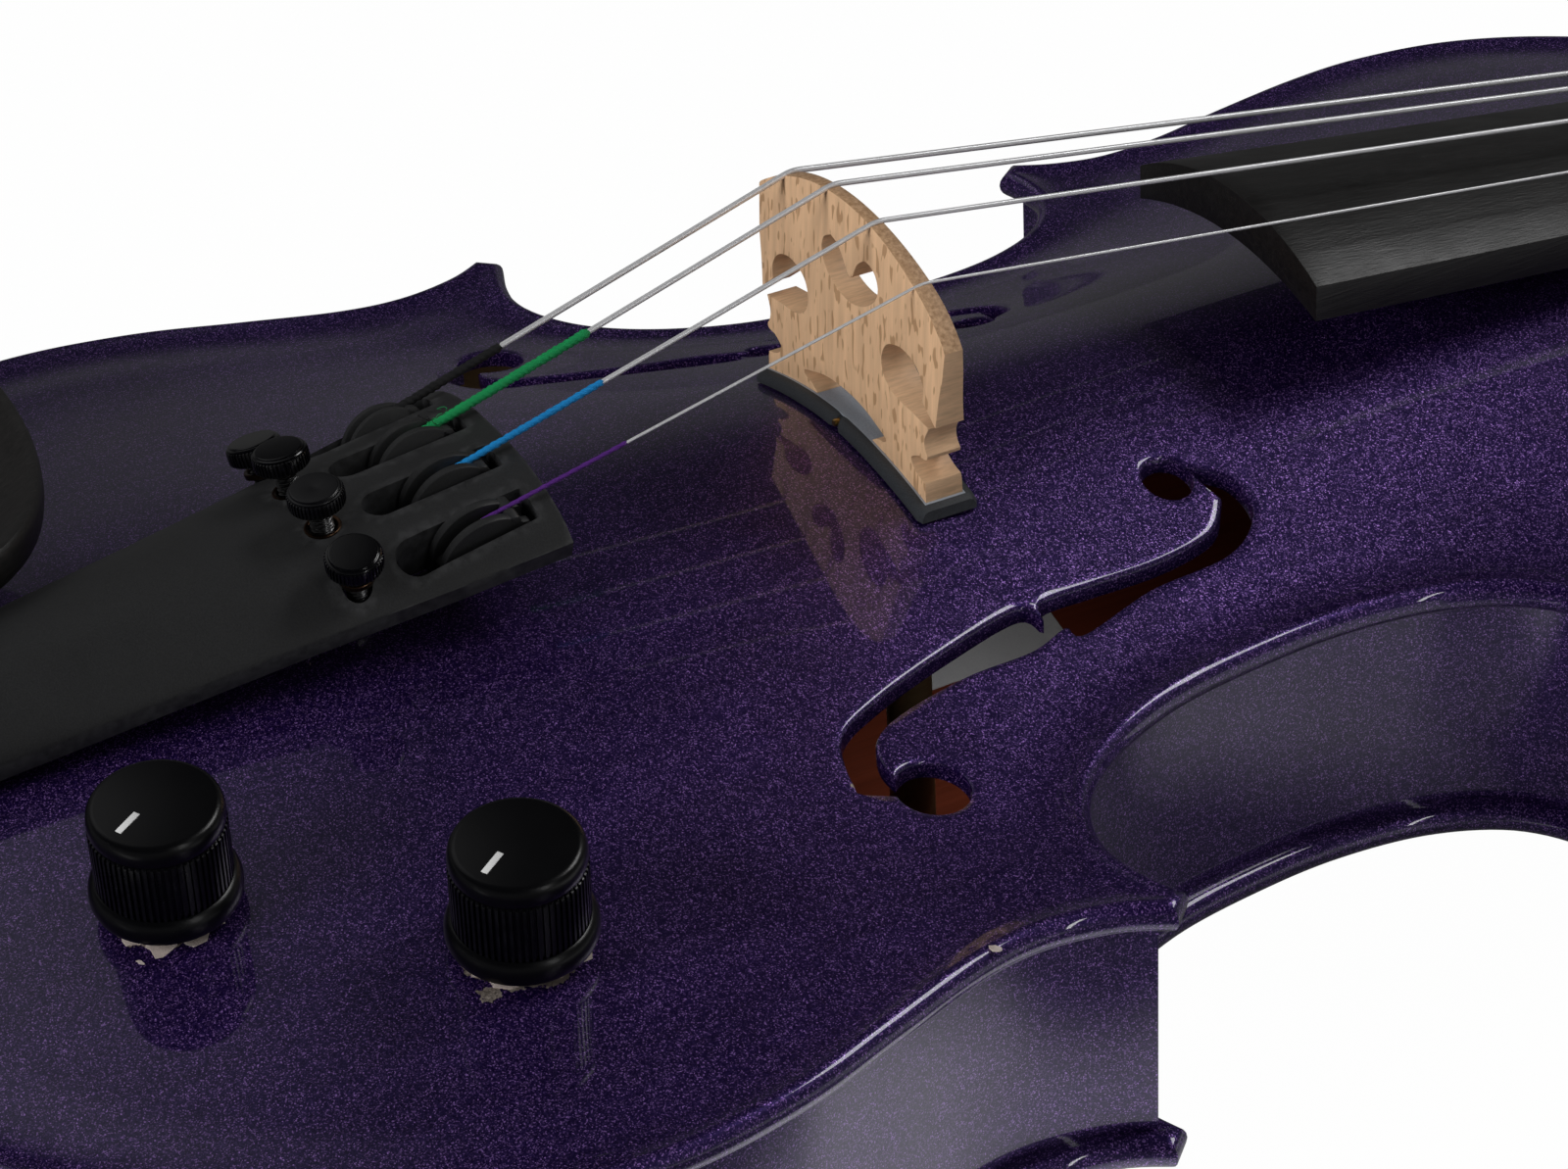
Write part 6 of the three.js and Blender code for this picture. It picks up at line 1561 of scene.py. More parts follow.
class VIOLIN_OT_neck(bpy.types.Operator):
    """Carve neck, heel, hollow pegbox and spiral scroll"""

    bl_idname = "violin.neck"
    bl_label = "Neck and scroll"

    def execute(self, context):
        fit = context.scene.violin_fittings
        pieces = [self.shaft(fit), self.heel(fit), *self.pegbox(fit), *self.scroll(fit)]
        obj = joined(*pieces)
        obj.name = "neck"
        dressed(obj, "lacquer", ROOT, "lacquer", "neck", degrees=45)
        return {"FINISHED"}

    def shaft(self, fit):
        rings = []
        for share in np.linspace(0, 1, 20):
            y = 362 + share * (fit.nut_stop + 5.5 - 362)
            half = board_half(fit, min(y, fit.nut_stop))
            depth = 16 - 2.5 * share
            top = board_edge(fit, y) - 5.3
            ring = [(-half, y, top), (half, y, top)]
            ring += [(half * math.cos(a), y, top - 1 - (depth - 1) * math.sin(a) ** 0.8)
                     for a in np.linspace(0, math.pi, 25)]
            rings.append(np.array(ring))
        return loft("shaft", rings)

    def heel(self, fit):
        low, high = 14.8, board_edge(fit, 362) - 6.3
        rings = []
        table = np.array(HEEL_SHARES)
        for share in np.linspace(0, 0.93, 22):
            reach = float(np.interp(share, table[:, 0], table[:, 1]))
            z = low + (high - low) * share
            half = (22 + 11 * min(share * 1.2, 1)) / 2
            front = BODY_END + 10 + reach * 24
            ring = [(-half, 343, z), (half, 343, z)]
            ring += [(half * math.cos(a), BODY_END + (front - BODY_END) * math.sin(a) ** 0.9, z)
                     for a in np.linspace(0, math.pi, 21)]
            rings.append(np.array(ring))
        cap = rings[-1].copy()
        cap[:, 0] *= 0.98
        cap[:, 2] = [board_edge(fit, y) - 5.3 for y in cap[:, 1]]
        return loft("heel", [*rings, cap])

    def pegbox(self, fit):
        """Two cheeks with the pegs' holes, a floor, and a block at each end."""
        start, throat = fit.nut_stop + 5.5, fit.nut_stop + 75.8
        ys = np.linspace(start, throat, 15)
        tops = [pegbox_line(fit, y) for y in ys]
        low = [top - depth for top, depth in tops]
        outline = [(y, l) for y, l in zip(ys, low)] + [(y, t[0]) for y, t in zip(ys[::-1], tops[::-1])]
        outline = even(np.array([*outline, outline[0]]), 1.6, closed=False)[:-1]
        holes = []
        for k in range(4):
            y, z = peg_place(fit, k)
            holes.append(round_ring(y, z, 8.2, 28))
        flat, triangles = flat_net(outline, holes, 2.6, (), ())
        pieces = []
        for side in (-1, 1):
            half = np.array([pegbox_half(fit, y) for y in flat[:, 0]])
            near_floor = np.clip((flat[:, 1] - np.interp(flat[:, 0], ys, low)) / 4, 0, 1)
            outer = half * (0.62 + 0.38 * np.sqrt(near_floor))
            cheek = shell("cheek", flat, triangles, outer, half - PEGBOX_WALL, under=0)
            points = np.empty((len(cheek.data.vertices), 3))
            cheek.data.vertices.foreach_get("co", points.ravel())
            turned_points = np.column_stack([
                side * points[:, 2], points[:, 0] - REST_POINT * MM, points[:, 1] + REST_POINT * MM,
            ])
            cheek.data.vertices.foreach_set("co", turned_points.ravel())
            cleaned(cheek)
            pieces.append(cheek)
        rings = []
        for y in ys:
            top, depth = pegbox_line(fit, y)
            half, floor = pegbox_half(fit, y) - 3.5, top - depth
            rings.append(np.array([
                (-half, y, floor + 4), (-half, y, floor + 1.2), (-half * 0.62, y, floor),
                (half * 0.62, y, floor), (half, y, floor + 1.2), (half, y, floor + 4),
            ]))
        pieces.append(loft("floor", rings))
        for a, b in ((start, start + 2.2), (throat - 4, throat + 0.5)):
            rings = []
            for y in (a, b):
                top, depth = pegbox_line(fit, y)
                half = pegbox_half(fit, y) - 3.5
                rings.append(np.array([(-half, y, top), (half, y, top), (half, y, top - depth + 2),
                                       (-half, y, top - depth + 2)]))
            pieces.append(loft("block", rings))
        return pieces

    def scroll(self, fit):
        """A spiral whose turns narrow in height and widen sideways towards the eye."""
        throat = fit.nut_stop + 75.8
        centre_y = throat + 11
        centre_z = board_edge(fit, throat) - 1 - 13.5
        rings = []
        steps = 96
        for k in range(steps + 1):
            share = k / steps
            angle = -0.75 * math.pi + 2 * 2 * math.pi * share
            outer = 20 + (5 - 20) * share**0.8
            inner_share = min((share + 0.5), 1)
            inner = min(20 + (5 - 20) * inner_share**0.8, outer - 2.5) if share < 0.5 else 0.5
            inner = max(inner - 1.0, 0.5)
            half = 7 + 12.9 * ((share * 2 + 0.35) / 2.35) ** 1.1
            ring = []
            for s, r in ((-1, inner), (-1, outer - 1.1), (-0.9, outer), (-0.45, outer - 0.7),
                         (0, outer - 0.9), (0.45, outer - 0.7), (0.9, outer), (1, outer - 1.1), (1, inner)):
                ring.append((s * half, centre_y + r * math.cos(angle), centre_z + r * math.sin(angle)))
            rings.append(np.array(ring))
        turns = loft("scroll", rings)
        eye = turned("eye", [(0, -19.6), (4.2, -19.6), (4.8, -19.0), (4.8, 19.0), (4.2, 19.6), (0, 19.6)], 40)
        stood(eye, turn_matrix((0, centre_y, centre_z), 0, 90))
        return [turns, eye]


class VIOLIN_OT_pegs(bpy.types.Operator):
    """Turn the four pegs and flatten their thumb pieces"""

    bl_idname = "violin.pegs"
    bl_label = "Pegs"

    def execute(self, context):
        fit = context.scene.violin_fittings
        for k, (name, side) in enumerate(zip("geda", PEG_SIDES)):
            y, z = peg_place(fit, k)
            half = pegbox_half(fit, y)
            collar = half + 12
            shaft = turned(f"peg_{name}", [
                (0, -half - 1), (3.4, -half - 1), (3.8, -half - 0.6), (3.8, half + 1), (4.0, half + 4),
                (4.6, collar - 2), (5.2, collar - 0.6), (5.5, collar), (5.5, collar + 0.8),
                (5.1, collar + 1.4), (5.3, collar + 1.9), (4.4, collar + 2.8), (3.8, collar + 3.2),
                (0, collar + 3.2),
            ], 40)
            thumb = self.thumb(collar)
            obj = joined(shaft, thumb)
            stood(obj, turn_matrix((0, y, z), 0, side * 90))
            dressed(obj, "ebony", f"peg_{name}", "ebony", f"peg_{name}", degrees=50)
        return {"FINISHED"}

    def thumb(self, collar):
        """A heart-shaped thumb piece, thinner in its middle, with a bead at its tip."""
        rings = []
        for share in np.linspace(0, 1, 30):
            z = collar + 1 + 23 * share
            wide = 8.5 * math.sin(math.pi * min(0.06 + share * 0.9, 1)) ** 0.6
            thick = 3.2 * math.sin(math.pi * min(0.1 + share * 0.86, 1)) ** 0.5
            angle = np.linspace(0, 2 * math.pi, 33)[:-1]
            dish = 1 - 0.25 * (1 - np.abs(np.cos(angle))) * math.sin(math.pi * share)
            rings.append(np.column_stack([
                wide * np.cos(angle), thick * np.sin(angle) * dish, np.full(32, z),
            ]))
        body = loft("thumb", rings, body_frame=False)
        bead = turned("bead", [
            (0, collar + 23.2), (0.9, collar + 23.3), (1.5, collar + 24.0), (1.2, collar + 24.8),
            (0, collar + 25.2),
        ], 20)
        return joined(body, bead)


# Knobs, chin rest and small fittings


def knob_frame(k):
    x, y = KNOB_PLACES[k]
    height = (53.846878, 51.897256)[k]
    return turn_matrix((x, y, height), 2.8, 9.6)


class VIOLIN_OT_knobs(bpy.types.Operator):
    """Turn the two skirted knobs, rib their waists and set their pointers"""

    bl_idname = "violin.knobs"
    bl_label = "Control knobs"

    def execute(self, context):
        ribs_here = context.scene.violin_fittings.knob_ribs
        for k, name in enumerate(("volume", "tone")):
            shell_piece = turned(f"knob_{name}", [
                (0, 11.5), (3.3, 11.5), (3.3, 1.75), (4.75, 1.75), (4.75, -0.6), (5.75, -0.6), (5.95, -0.4),
                (5.95, 1.45), (6.2, 1.6), (8.1, 1.6), (8.5, 1.85), (8.72, 2.4), (8.75, 3.0), (8.72, 3.5),
                (8.6, 3.95), (8.35, 4.4), (8.05, 4.7), (7.85, 4.8), (7.7, 4.72), (7.45, 4.72), (7.45, 12.9),
                (7.65, 13.05), (7.78, 13.25), (7.8, 13.9), (7.78, 14.35), (7.68, 14.8), (7.5, 15.15),
                (7.25, 15.4), (6.95, 15.55), (6.7, 15.6), (0, 15.62),
            ], 96)
            circle = disc_points(7.86, ribs_here, 0.3, share=0.55)
            band = loft("ribs", [
                level(circle * scale, z)
                for scale, z in ((0.975, 4.6), (1, 4.85), (1, 12.45), (0.99, 12.62), (0.96, 12.75))
            ], body_frame=False)
            obj = joined(shell_piece, band)
            stood(obj, knob_frame(k))
            dressed(obj, "knob", f"control_{name}", "black_gloss", f"knob_{name}", degrees=34)
            bar = outline_prism("bar", [(2.2, -1.12), (5.7, -1.12), (5.7, -0.3), (2.2, -0.3)], 15.45, 15.68,
                                0.06)
            bar.name = f"pointer_{name}"
            turn = Matrix.Rotation(math.radians((-59, -57)[k]), 4, "Z")
            stood(bar, knob_frame(k) @ turn)
            dressed(bar, "white", f"control_{name}", "black_gloss", degrees=40)
        return {"FINISHED"}


class VIOLIN_OT_chips(bpy.types.Operator):
    """Splinter the lacquer round the control holes and at the sound hole's tip"""

    bl_idname = "violin.chips"
    bl_label = "Lacquer chips"

    def execute(self, context):
        body = context.scene.violin_body
        rng = np.random.default_rng(11)
        shards = []
        for (x, y), spans in zip(KNOB_PLACES, CHIP_SPANS):
            for start, end, wide in spans:
                angle = np.radians(np.linspace(start, end, max(int((end - start) / 5), 4)))
                taper = np.sin(np.linspace(0.15, math.pi - 0.15, len(angle)))
                inner = np.full(len(angle), 6.4)
                outer = 6.7 + wide * taper * rng.uniform(0.2, 1.0, len(angle))
                ring = np.vstack([
                    np.column_stack([x + outer * np.cos(angle), y + outer * np.sin(angle)]),
                    np.column_stack([x + inner * np.cos(angle), y + inner * np.sin(angle)])[::-1],
                ])
                shards.append(self.shard(body, ring, 0.1, rng))
        for cx, cy, long, wide, turn in LOOSE_CHIPS:
            angle = np.linspace(0, 2 * math.pi, 12)[:-1]
            reach = rng.uniform(0.6, 1.0, 11)
            c, s = math.cos(math.radians(turn)), math.sin(math.radians(turn))
            u, v = long * reach * np.cos(angle), wide * reach * np.sin(angle)
            ring = np.column_stack([cx + u * c - v * s, cy + u * s + v * c])
            shards.append(self.shard(body, ring, 0.07, rng))
        obj = joined(*shards)
        obj.name = "lacquer_chips"
        dressed(obj, "bare", ROOT, "lacquer", degrees=20)
        return {"FINISHED"}

    def shard(self, body, ring, rise, rng):
        flat, triangles = flat_net(ring, [], 0.5, (), ())
        rim = distance_to(flat, body_ring(body, 3.0))
        top = belly_height(body, flat[:, 0], flat[:, 1]) - channel_fall(body, rim)
        upper = top + rng.uniform(0.02, rise, len(flat))
        obj = shell("shard", flat, triangles, upper, top - 0.25, under=0)
        return obj


def clamp_frame(body):
    """The clamp's own frame: X along the body's edge, Y inwards."""
    lower = body_curves(body)[0]
    edge = lower[int(np.argmin(np.abs(lower[:, 0] - 41)))]
    return turn_matrix((-edge[0], edge[1], 0), 0, 0, CLAMP_DEGREES)


def clamp_height(height, body, x, inwards):
    """Height of the belly or the back at a place in the clamp's frame."""
    at = clamp_frame(body) @ Vector((x, inwards, 0))
    return float(height(body, at.x, at.y + REST_POINT)[0])


class VIOLIN_OT_chin_rest(bpy.types.Operator):
    """Carve the dished chin rest and build the clamp that holds it"""

    bl_idname = "violin.chin_rest"
    bl_label = "Chin rest"

    def execute(self, context):
        body = context.scene.violin_body
        self.cup(body)
        self.clamp(body)
        return {"FINISHED"}

    def cup(self, body):
        rings = []
        for share, height in CUP_ROWS:
            angle = np.linspace(0, 2 * math.pi, 97)[:-1]
            c, s = np.cos(angle), np.sin(angle)
            reach = (np.abs(c) ** 2.5 + np.abs(s) ** 2.5) ** (-1 / 2.5)
            rings.append(np.column_stack([
                -52.5 + share * 49 * reach * c, 32 + share * 31 * reach * s, np.full(len(c), height),
            ]))
        cup = loft("chin_rest_cup", rings)
        rings = []
        for inwards in np.linspace(1.2, 13.5, 8):
            low = [clamp_height(belly_height, body, x, inwards) + 0.3 for x in (-CLAMP_HALF, CLAMP_HALF)]
            rings.append(np.array([
                (-CLAMP_HALF, inwards, low[0]), (CLAMP_HALF, inwards, low[1]),
                (CLAMP_HALF, inwards, 69.2), (-CLAMP_HALF, inwards, 69.2),
            ]))
        foot = loft("foot", rings, body_frame=False)
        stood(bevelled(foot, 0.5, 2, 40), clamp_frame(body))
        obj = joined(cup, foot)
        dressed(obj, "ebony", ROOT, "ebony", "chin_rest_cup", degrees=50)

    def clamp(self, body):
        here = clamp_frame(body)
        half = CLAMP_HALF
        shelf = outline_prism("bracket", box_ring(-half, half, -6.6, 0.65), 56, 58.2, 0.5, 3)
        skirt = outline_prism("skirt", box_ring(-half, half, -1.5, 0.65), 56, 65, 0.5, 3)
        bracket = joined(shelf, skirt)
        bracket.name = "chin_rest_bracket"
        stood(bracket, here)
        dressed(bracket, "steel", ROOT, "steel", "chin_rest_bracket", degrees=40)
        low = min(clamp_height(back_height, body, x, 13) - 0.3 for x in (-half, half)) - 3.7
        plate = outline_prism("foot", box_ring(-half, half, -6.6, 13), low, low + 2.2, 0.5, 3)
        stood(plate, here)
        plate.name = "chin_rest_foot"
        dressed(plate, "steel", ROOT, "steel", "chin_rest_foot", degrees=40)
        rings = []
        for inwards in np.linspace(1.2, 12.6, 7):
            high = [clamp_height(back_height, body, x, inwards) - 0.25 for x in (-16.6, 16.6)]
            rings.append(np.array([(-16.6, inwards, low + 2.1), (16.6, inwards, low + 2.1),
                                   (16.6, inwards, max(high[1], low + 2.4)),
                                   (-16.6, inwards, max(high[0], low + 2.4))]))
        cork = stood(loft("chin_rest_cork", rings, body_frame=False), here)
        dressed(cork, "cork", ROOT, "steel", degrees=40)
        middle = (low + 56) / 2
        for name, x in (("inner", 13), ("outer", -13)):
            barrel = turned(f"chin_rest_barrel_{name}", [
                (0, low), (1.35, low), (1.5, low + 0.3), (1.5, middle - 11), (2.6, middle - 10.7),
                (3.0, middle - 10.2), (3.0, middle - 8.2), (2.8, middle - 8.0), (2.8, middle - 7.6),
                (3.0, middle - 7.4), (3.0, middle - 1.8), (2.2, middle - 1.4), (2.2, middle + 1.4),
                (3.0, middle + 1.8), (3.0, middle + 7.4), (2.8, middle + 7.6), (2.8, middle + 8.0),
                (3.0, middle + 8.2), (3.0, middle + 10.2), (2.6, middle + 10.7), (1.5, middle + 11),
                (1.5, 57.9), (1.35, 58.2), (0, 58.2),
            ], 36)
            stood(barrel, here @ Matrix.Translation((x, -4, 0)))
            dressed(barrel, "steel", ROOT, "steel", f"chin_rest_barrel_{name}", degrees=40)


class VIOLIN_OT_tail_fittings(bpy.types.Operator):
    """Shape the saddle and the end button, and loop the tail gut over them"""

    bl_idname = "violin.tail_fittings"
    bl_label = "Saddle, button and gut"

    def execute(self, context):
        body = context.scene.violin_body
        base = body.back_arch + body.rib_height
        high = base + body.edge + 4.6
        profile = smooth_line([(0.7, base + 0.3), (0.7, high - 1.6), (1.2, high - 0.7), (2.4, high),
                               (4.4, high - 0.4), (6.0, high - 1.5), (6.5, high - 2.6), (6.5, base + 0.3)], 4)
        rings = [np.array([(x, y, z) for y, z in profile]) for x in np.linspace(-18, 18, 19)]
        saddle = bevelled(loft("saddle", rings), 0.3, 2, 50)
        dressed(saddle, "ebony", ROOT, "ebony", "saddle", degrees=45)
        button = turned("end_button", [
            (0, -14), (3.6, -14), (4.9, -13.7), (6.2, -12.8), (6.9, -11.6), (7.0, -10.6), (6.95, -8.6),
            (6.6, -7.2), (6.0, -6.0), (5.3, -5.0), (4.7, -4.2), (4.5, -3.6), (4.5, -0.3), (3.75, -0.3),
            (3.4, 20), (0, 20),
        ], 48)
        stood(button, turn_matrix((0, 3, END_BUTTON_HEIGHT), -90))
        dressed(button, "ebony", ROOT, "ebony", "end_button", degrees=45)
        reach = 4.5 + 0.3 + 1.1
        top = high + 0.3 + 1.1
        edge = tail_edge(TAIL_START)
        half = [(4, 13.6, edge + 2.6), (4, 6.9, edge + 2.6), (4.25, 3.6, top), (4.5, 0.8, top - 0.3),
                (4.75, -2.42, high - 1.8), (reach, -1.1, base - 2.2), (reach, 1, END_BUTTON_HEIGHT + reach)]
        loop = [(reach * math.cos(a), 1, END_BUTTON_HEIGHT - reach * math.sin(a))
                for a in np.linspace(0, math.pi, 17)]
        other = [(-x, y, z) for x, y, z in half][::-1]
        path = np.vstack([
            rounded([*half, loop[0]], 1.6, 5)[:-1], loop, rounded([loop[-1], *other], 1.6, 5)[1:],
        ])
        gut = tube("tail_gut", path, 1.1, 16)
        dressed(gut, "plastic", ROOT, "black_plastic", "tail_gut", degrees=60)
        return {"FINISHED"}


class VIOLIN_OT_socket(bpy.types.Operator):
    """Turn the output socket's flanged bush in the lower rib"""

    bl_idname = "violin.socket"
    bl_label = "Output socket"

    def execute(self, context):
        socket = turned("output_jack", [
            (0, -24), (3.2, -24), (3.2, 1.9), (3.6, 2.35), (4.1, 2.5), (4.6, 2.3), (4.9, 2.3), (5.3, 2.68),
            (7.6, 2.7), (8.3, 2.5), (8.85, 1.9), (9, 1.4), (9, 0.4), (8.9, 0.3), (5.5, 0.3), (5.5, -26),
            (0, -26),
        ], 64)
        out = Vector((0.552467, -0.833535, 0))
        turn = Vector((0, 0, 1)).rotation_difference(out).to_matrix().to_4x4()
        stood(socket, Matrix.Translation((68.3, -170.55, 29.5)) @ turn)
        dressed(socket, "black_metal", ROOT, "black_metal", "output_jack", degrees=40)
        return {"FINISHED"}


class VIOLIN_OT_inside(bpy.types.Operator):
    """Lay the blank paper label in the back and stand the spruce post"""

    bl_idname = "violin.inside"
    bl_label = "Label and sound post"

    def execute(self, context):
        body = context.scene.violin_body
        corners = [(-66, 137), (-18.4, 137), (-18.4, 203), (-66, 203)]
        ring = even(np.array([*corners, corners[0]], float), 3.0)[:-1]
        flat, triangles = flat_net(ring, [], 4.0, (), ())
        low = back_height(body, flat[:, 0], flat[:, 1]) + body.back_wall
        obj = shell("paper_label", flat, triangles, low + 0.22, low + 0.06, under=0)
        dressed(obj, "paper", ROOT, "maple", degrees=40)
        low, high = (list(c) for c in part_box("sound_post"))
        radius = 3.0
        x, y = (low[0] + high[0]) / 2 / MM, (low[1] + high[1]) / 2 / MM
        base, top = low[2] / MM, high[2] / MM
        post = turned("sound_post", [
            (0, base), (radius - 0.25, base), (radius, base + 0.3), (radius, top - 0.5),
            (radius - 0.25, top - 0.2), (0, top - 0.2),
        ], 36)
        stood(post, Matrix.Translation((x, y, 0)))
        dressed(post, "spruce", ROOT, "spruce", "sound_post", degrees=40)
        return {"FINISHED"}


# Solids carried over from the frame


class VIOLIN_OT_solids(bpy.types.Operator):
    """Give the solids that stay as they are their finishes"""

    bl_idname = "violin.solids"
    bl_label = "Solids"

    def execute(self, context):
        used = {
            "lacquer": ["top_plate", "back_plate", "lower_rib", "waist_rib_", "upper_rib_", "neck"],
            "spruce": ["corner_block_", "end_block", "top_block", "bass_bar", "sound_post"],
            "maple": ["bridge"],
            "ebony": ["fingerboard", "nut", "peg_", "saddle", "end_button", "chin_rest_cup"],
            "plastic": ["tailpiece", "tuner_lever_", "tail_gut"],
            "black_metal": ["tuner_screw_"],
            "steel": ["tuner_shank_", "chin_rest_bracket", "chin_rest_foot", "chin_rest_barrel_",
                      "pot_", "output_jack", "jack_nut"],
            "wire": ["string_"],
            "knob": ["knob_"],
            "rubber": ["pickup_strip", "pickup_lead", "output_lead"],
        }
        for finish, starts in used.items():
            for name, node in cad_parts.items():
                if any(name.startswith(start) for start in starts):
                    node.data.materials.clear()
                    coated(node, finish)
        return {"FINISHED"}


# Stage


class VIOLIN_OT_stage(bpy.types.Operator):
    """Put the violin on a pale floor whose reflections carry painted light and shade, in front of the camera,
    under soft lamps
    """

    bl_idname = "violin.stage"
    bl_label = "Stage"

    def execute(self, context):
        scene = context.scene
        scene.view_settings.view_transform = "Standard"
        self.camera(scene)
        self.floor()
        self.world(scene)
        for lamp in LAMPS:
            self.lamp(scene, *lamp)
        return {"FINISHED"}

    def camera(self, scene):
        data = bpy.data.cameras.new("camera")
        data.sensor_width = SENSOR_WIDTH
        data.lens = SENSOR_WIDTH * CAMERA_FOCAL_PIXELS / FRAME_WIDTH
        data.clip_start = 0.01
        camera = bpy.data.objects.new("camera", data)
        scene.collection.objects.link(camera)
        turn, rise, roll = (math.radians(v) for v in CAMERA_DEGREES)
        look = Vector((-math.sin(turn) * math.cos(rise), math.cos(turn) * math.cos(rise), -math.sin(rise)))
        right = look.cross(Vector((0, 0, 1))).normalized()
        up = right.cross(look)
        right2 = math.cos(roll) * right + math.sin(roll) * up
        up2 = -math.sin(roll) * right + math.cos(roll) * up
        matrix = Matrix((right2, up2, -look)).transposed().to_4x4()
        matrix.translation = Vector(CAMERA_PLACE)
        camera.matrix_world = matrix
        scene.camera = camera

    def floor(self):
        only()
        bpy.ops.mesh.primitive_plane_add(size=6.0, location=(0, 0, 0))
        floor = bpy.context.object
        floor.name = "floor"
        tree, shader = start_material("floor", {"Roughness": 0.9})
        mottle = placed_group(tree, "Mottle", {"Scale": 3.0, "Low": 0.86, "High": 0.9})
        shade = add(tree, "CombineColor", {0: mottle["Value"], 1: mottle["Value"], 2: mottle["Value"]})
        tree.links.new(shade.outputs[0], shader["Base Color"])
        path = add(tree, "LightPath").outputs
        seen = maths(tree, "MAXIMUM", path["Is Camera Ray"], path["Is Transmission Ray"])
        share = maths(tree, "MULTIPLY", seen, 0.985)
        share = maths(tree, "MAXIMUM", share, path["Is Glossy Ray"])
        # Painted light and shade for reflections: glossy rays see the floor glow by its place, not by the
        # lamps. There is a bright band just outside the body's treble edge, strongest towards the tail and
        # fading far out and towards the neck, and a second bright patch from the upper bout on. Under the
        # body and everywhere else there is painted shade (0.07).
        spot = add(tree, "SeparateXYZ", {0: add(tree, "TexCoord").outputs["Object"]}).outputs
        beside = spread(tree, spot[0], 0.0, 1.0, 0.078, 0.1, smooth_step=True)
        painted_light_fade_out = spread(tree, spot[0], 1.0, 0.08, 0.114, 0.138, smooth_step=True)
        along = spread(tree, spot[1], 1.0, 0.3, -0.035, 0.0, smooth_step=True)
        waist = spread(tree, spot[1], 0.0, 0.55, 0.008, 0.036, smooth_step=True)
        waist = maths(tree, "MULTIPLY", waist, spread(tree, spot[0], 0.0, 1.0, 0.06, 0.088))
        near = maths(tree, "MULTIPLY", maths(tree, "MULTIPLY", beside, along), painted_light_fade_out)
        near = maths(tree, "MAXIMUM", near, waist)
        near = maths(tree, "MAXIMUM", near, 0.07)
        # Camera rays see an even white floor; glossy rays see the painted light and shade above.
        floor_white_and_painted_light = add(tree, "Emission", {"Color": (1, 1, 1, 1), "Strength": maths(tree, "MAXIMUM", seen, near)})
        mixed = add(tree, "MixShader", {0: share, 1: tree.nodes["Principled BSDF"].outputs[0],
                                        2: floor_white_and_painted_light.outputs[0]})
        tree.links.new(mixed.outputs[0], tree.nodes["Material Output"].inputs[0])
        floor.data.materials.append(bpy.data.materials["floor"])

    def world(self, scene):
        world = bpy.data.worlds.new("studio")
        world.use_nodes = True
        scene.world = world
        tree = world.node_tree
        tree.nodes.clear()
        path = add(tree, "LightPath").outputs
        way = add(tree, "TexCoord").outputs["Generated"]
        height = add(tree, "SeparateXYZ", {0: way}).outputs[2]
        sky = spread(tree, height, 0.1, 0.01, 0.2, 0.5, smooth_step=True)
        feeds = {0: way, 1: (-0.6, -0.22, 0.77)}
        side = add(tree, "VectorMath", feeds, operation="DOT_PRODUCT").outputs["Value"]
        glossy = maths(tree, "ADD", sky, spread(tree, side, 0.0, 0.4, 0.88, 1.0, smooth_step=True))
        seen = maths(tree, "MAXIMUM", path["Is Camera Ray"], path["Is Transmission Ray"])
        lit, mirrored, white = (
            add(tree, "Background", {"Color": (1, 1, 1, 1), "Strength": strength}).outputs[0]
            for strength in (0.1, glossy, 1.0)
        )
        first = add(tree, "MixShader", {0: path["Is Glossy Ray"], 1: lit, 2: mirrored})
        last = add(tree, "MixShader", {0: seen, 1: first.outputs[0], 2: white})
        out = add(tree, "OutputWorld")
        tree.links.new(last.outputs[0], out.inputs[0])

    def lamp(self, scene, name, place, target, size, power, mirrored):
        data = bpy.data.lights.new(name, "AREA")
        data.shape = "RECTANGLE"
        data.size, data.size_y = size
        data.energy = power
        lamp = bpy.data.objects.new(name, data)
        scene.collection.objects.link(lamp)
        lamp.location = place
        lamp.visible_glossy = mirrored
        look = Vector(target) - Vector(place)
        lamp.rotation_euler = look.to_track_quat("-Z", "Y").to_euler()


class VIOLIN_PT_panel(bpy.types.Panel):
    """Sizes, colours and pieces of the violin"""

    bl_idname = "VIOLIN_PT_panel"
    bl_label = "Electric violin"
    bl_space_type = "VIEW_3D"
    bl_region_type = "UI"
    bl_category = "Violin"

    def draw(self, context):
        for holder in ("violin_body", "violin_fittings", "violin_looks"):
            values = getattr(context.scene, holder)
            box = self.layout.box()
            for key in values.__annotations__:
                box.prop(values, key)
        for operator in OPERATORS:
            self.layout.operator(operator.bl_idname)


PROPERTIES = (ViolinBodySizes, ViolinFittings, ViolinLooks)
OPERATORS = (
    VIOLIN_OT_stage, VIOLIN_OT_solids, VIOLIN_OT_belly, VIOLIN_OT_back, VIOLIN_OT_ribs,
    VIOLIN_OT_bridge, VIOLIN_OT_strip, VIOLIN_OT_strings, VIOLIN_OT_tailpiece, VIOLIN_OT_tuners,
    VIOLIN_OT_fingerboard, VIOLIN_OT_nut, VIOLIN_OT_neck, VIOLIN_OT_pegs, VIOLIN_OT_knobs,
    VIOLIN_OT_chips, VIOLIN_OT_chin_rest, VIOLIN_OT_tail_fittings, VIOLIN_OT_socket, VIOLIN_OT_inside,
)


def register():
    for kind in (*PROPERTIES, *OPERATORS, VIOLIN_PT_panel):
        bpy.utils.register_class(kind)
    bpy.types.Scene.violin_body = PointerProperty(type=ViolinBodySizes)
    bpy.types.Scene.violin_fittings = PointerProperty(type=ViolinFittings)
    bpy.types.Scene.violin_looks = PointerProperty(type=ViolinLooks)


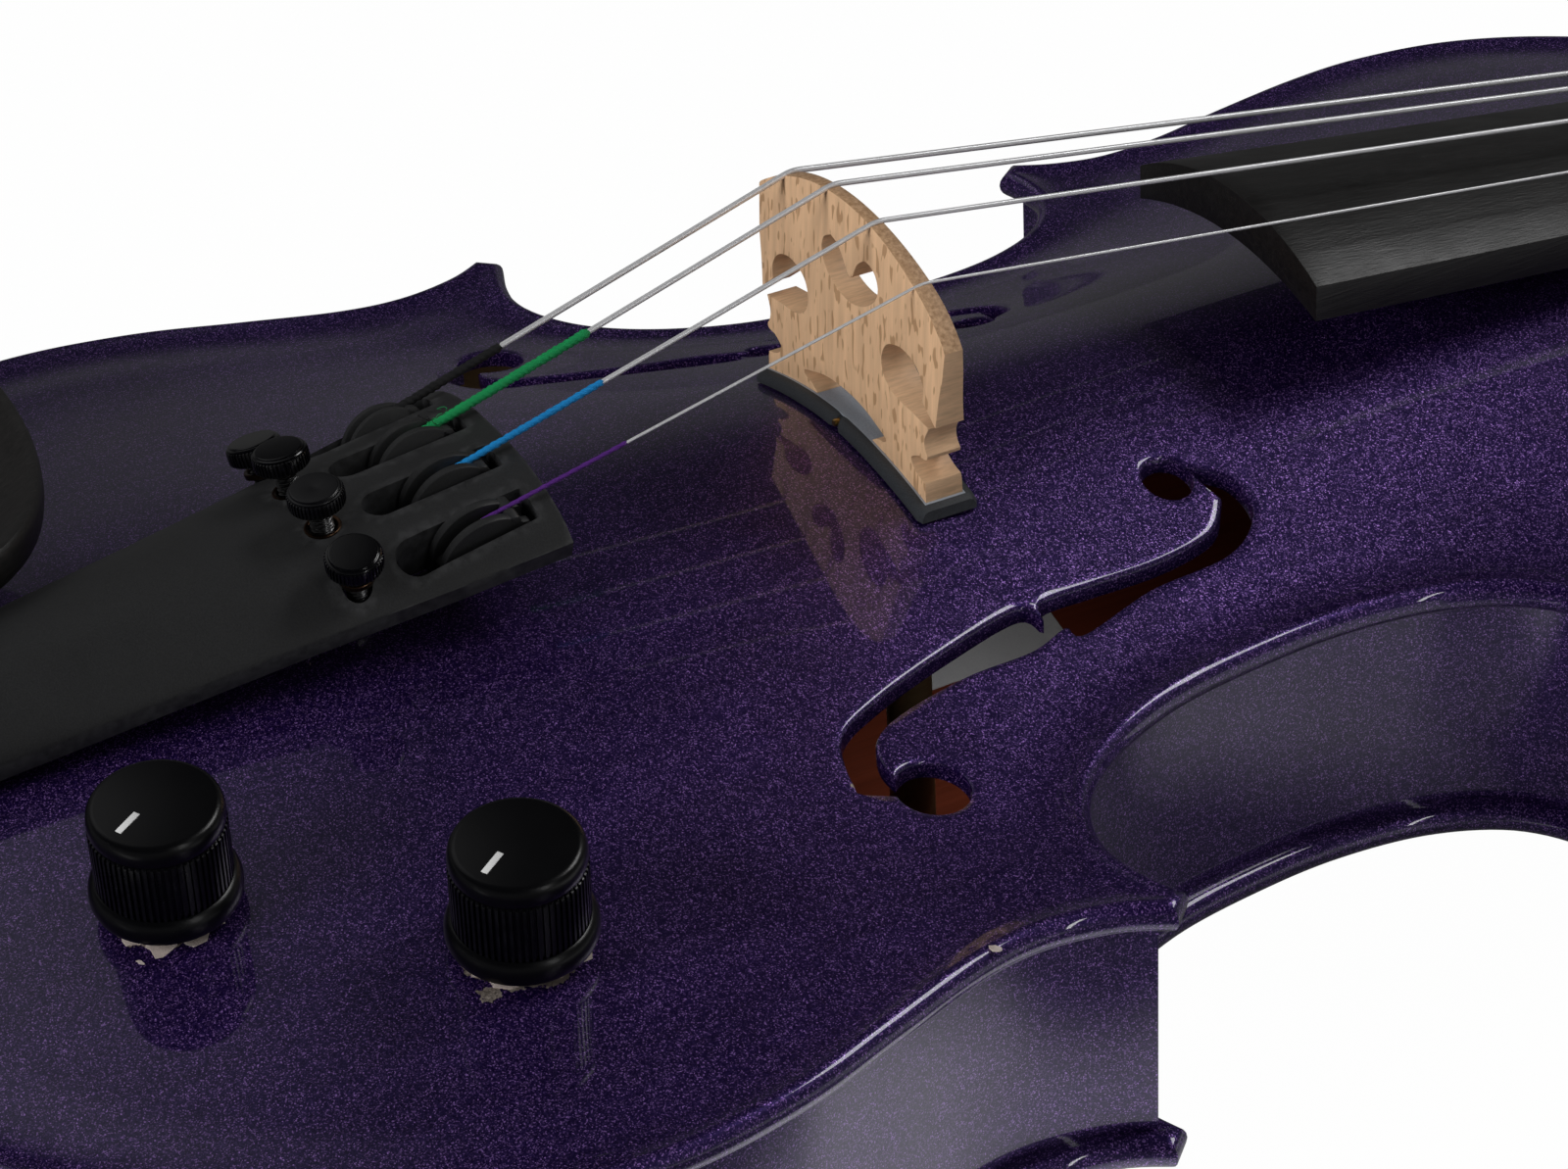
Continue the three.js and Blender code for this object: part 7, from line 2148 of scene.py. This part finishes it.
def unregister():
    del bpy.types.Scene.violin_body, bpy.types.Scene.violin_fittings, bpy.types.Scene.violin_looks
    for kind in reversed((*PROPERTIES, *OPERATORS, VIOLIN_PT_panel)):
        bpy.utils.unregister_class(kind)


def main():
    register()
    for operator in OPERATORS:
        piece = operator.bl_idname.split(".")[1]
        getattr(bpy.ops.violin, piece)()


if __name__ == "__main__":
    main()
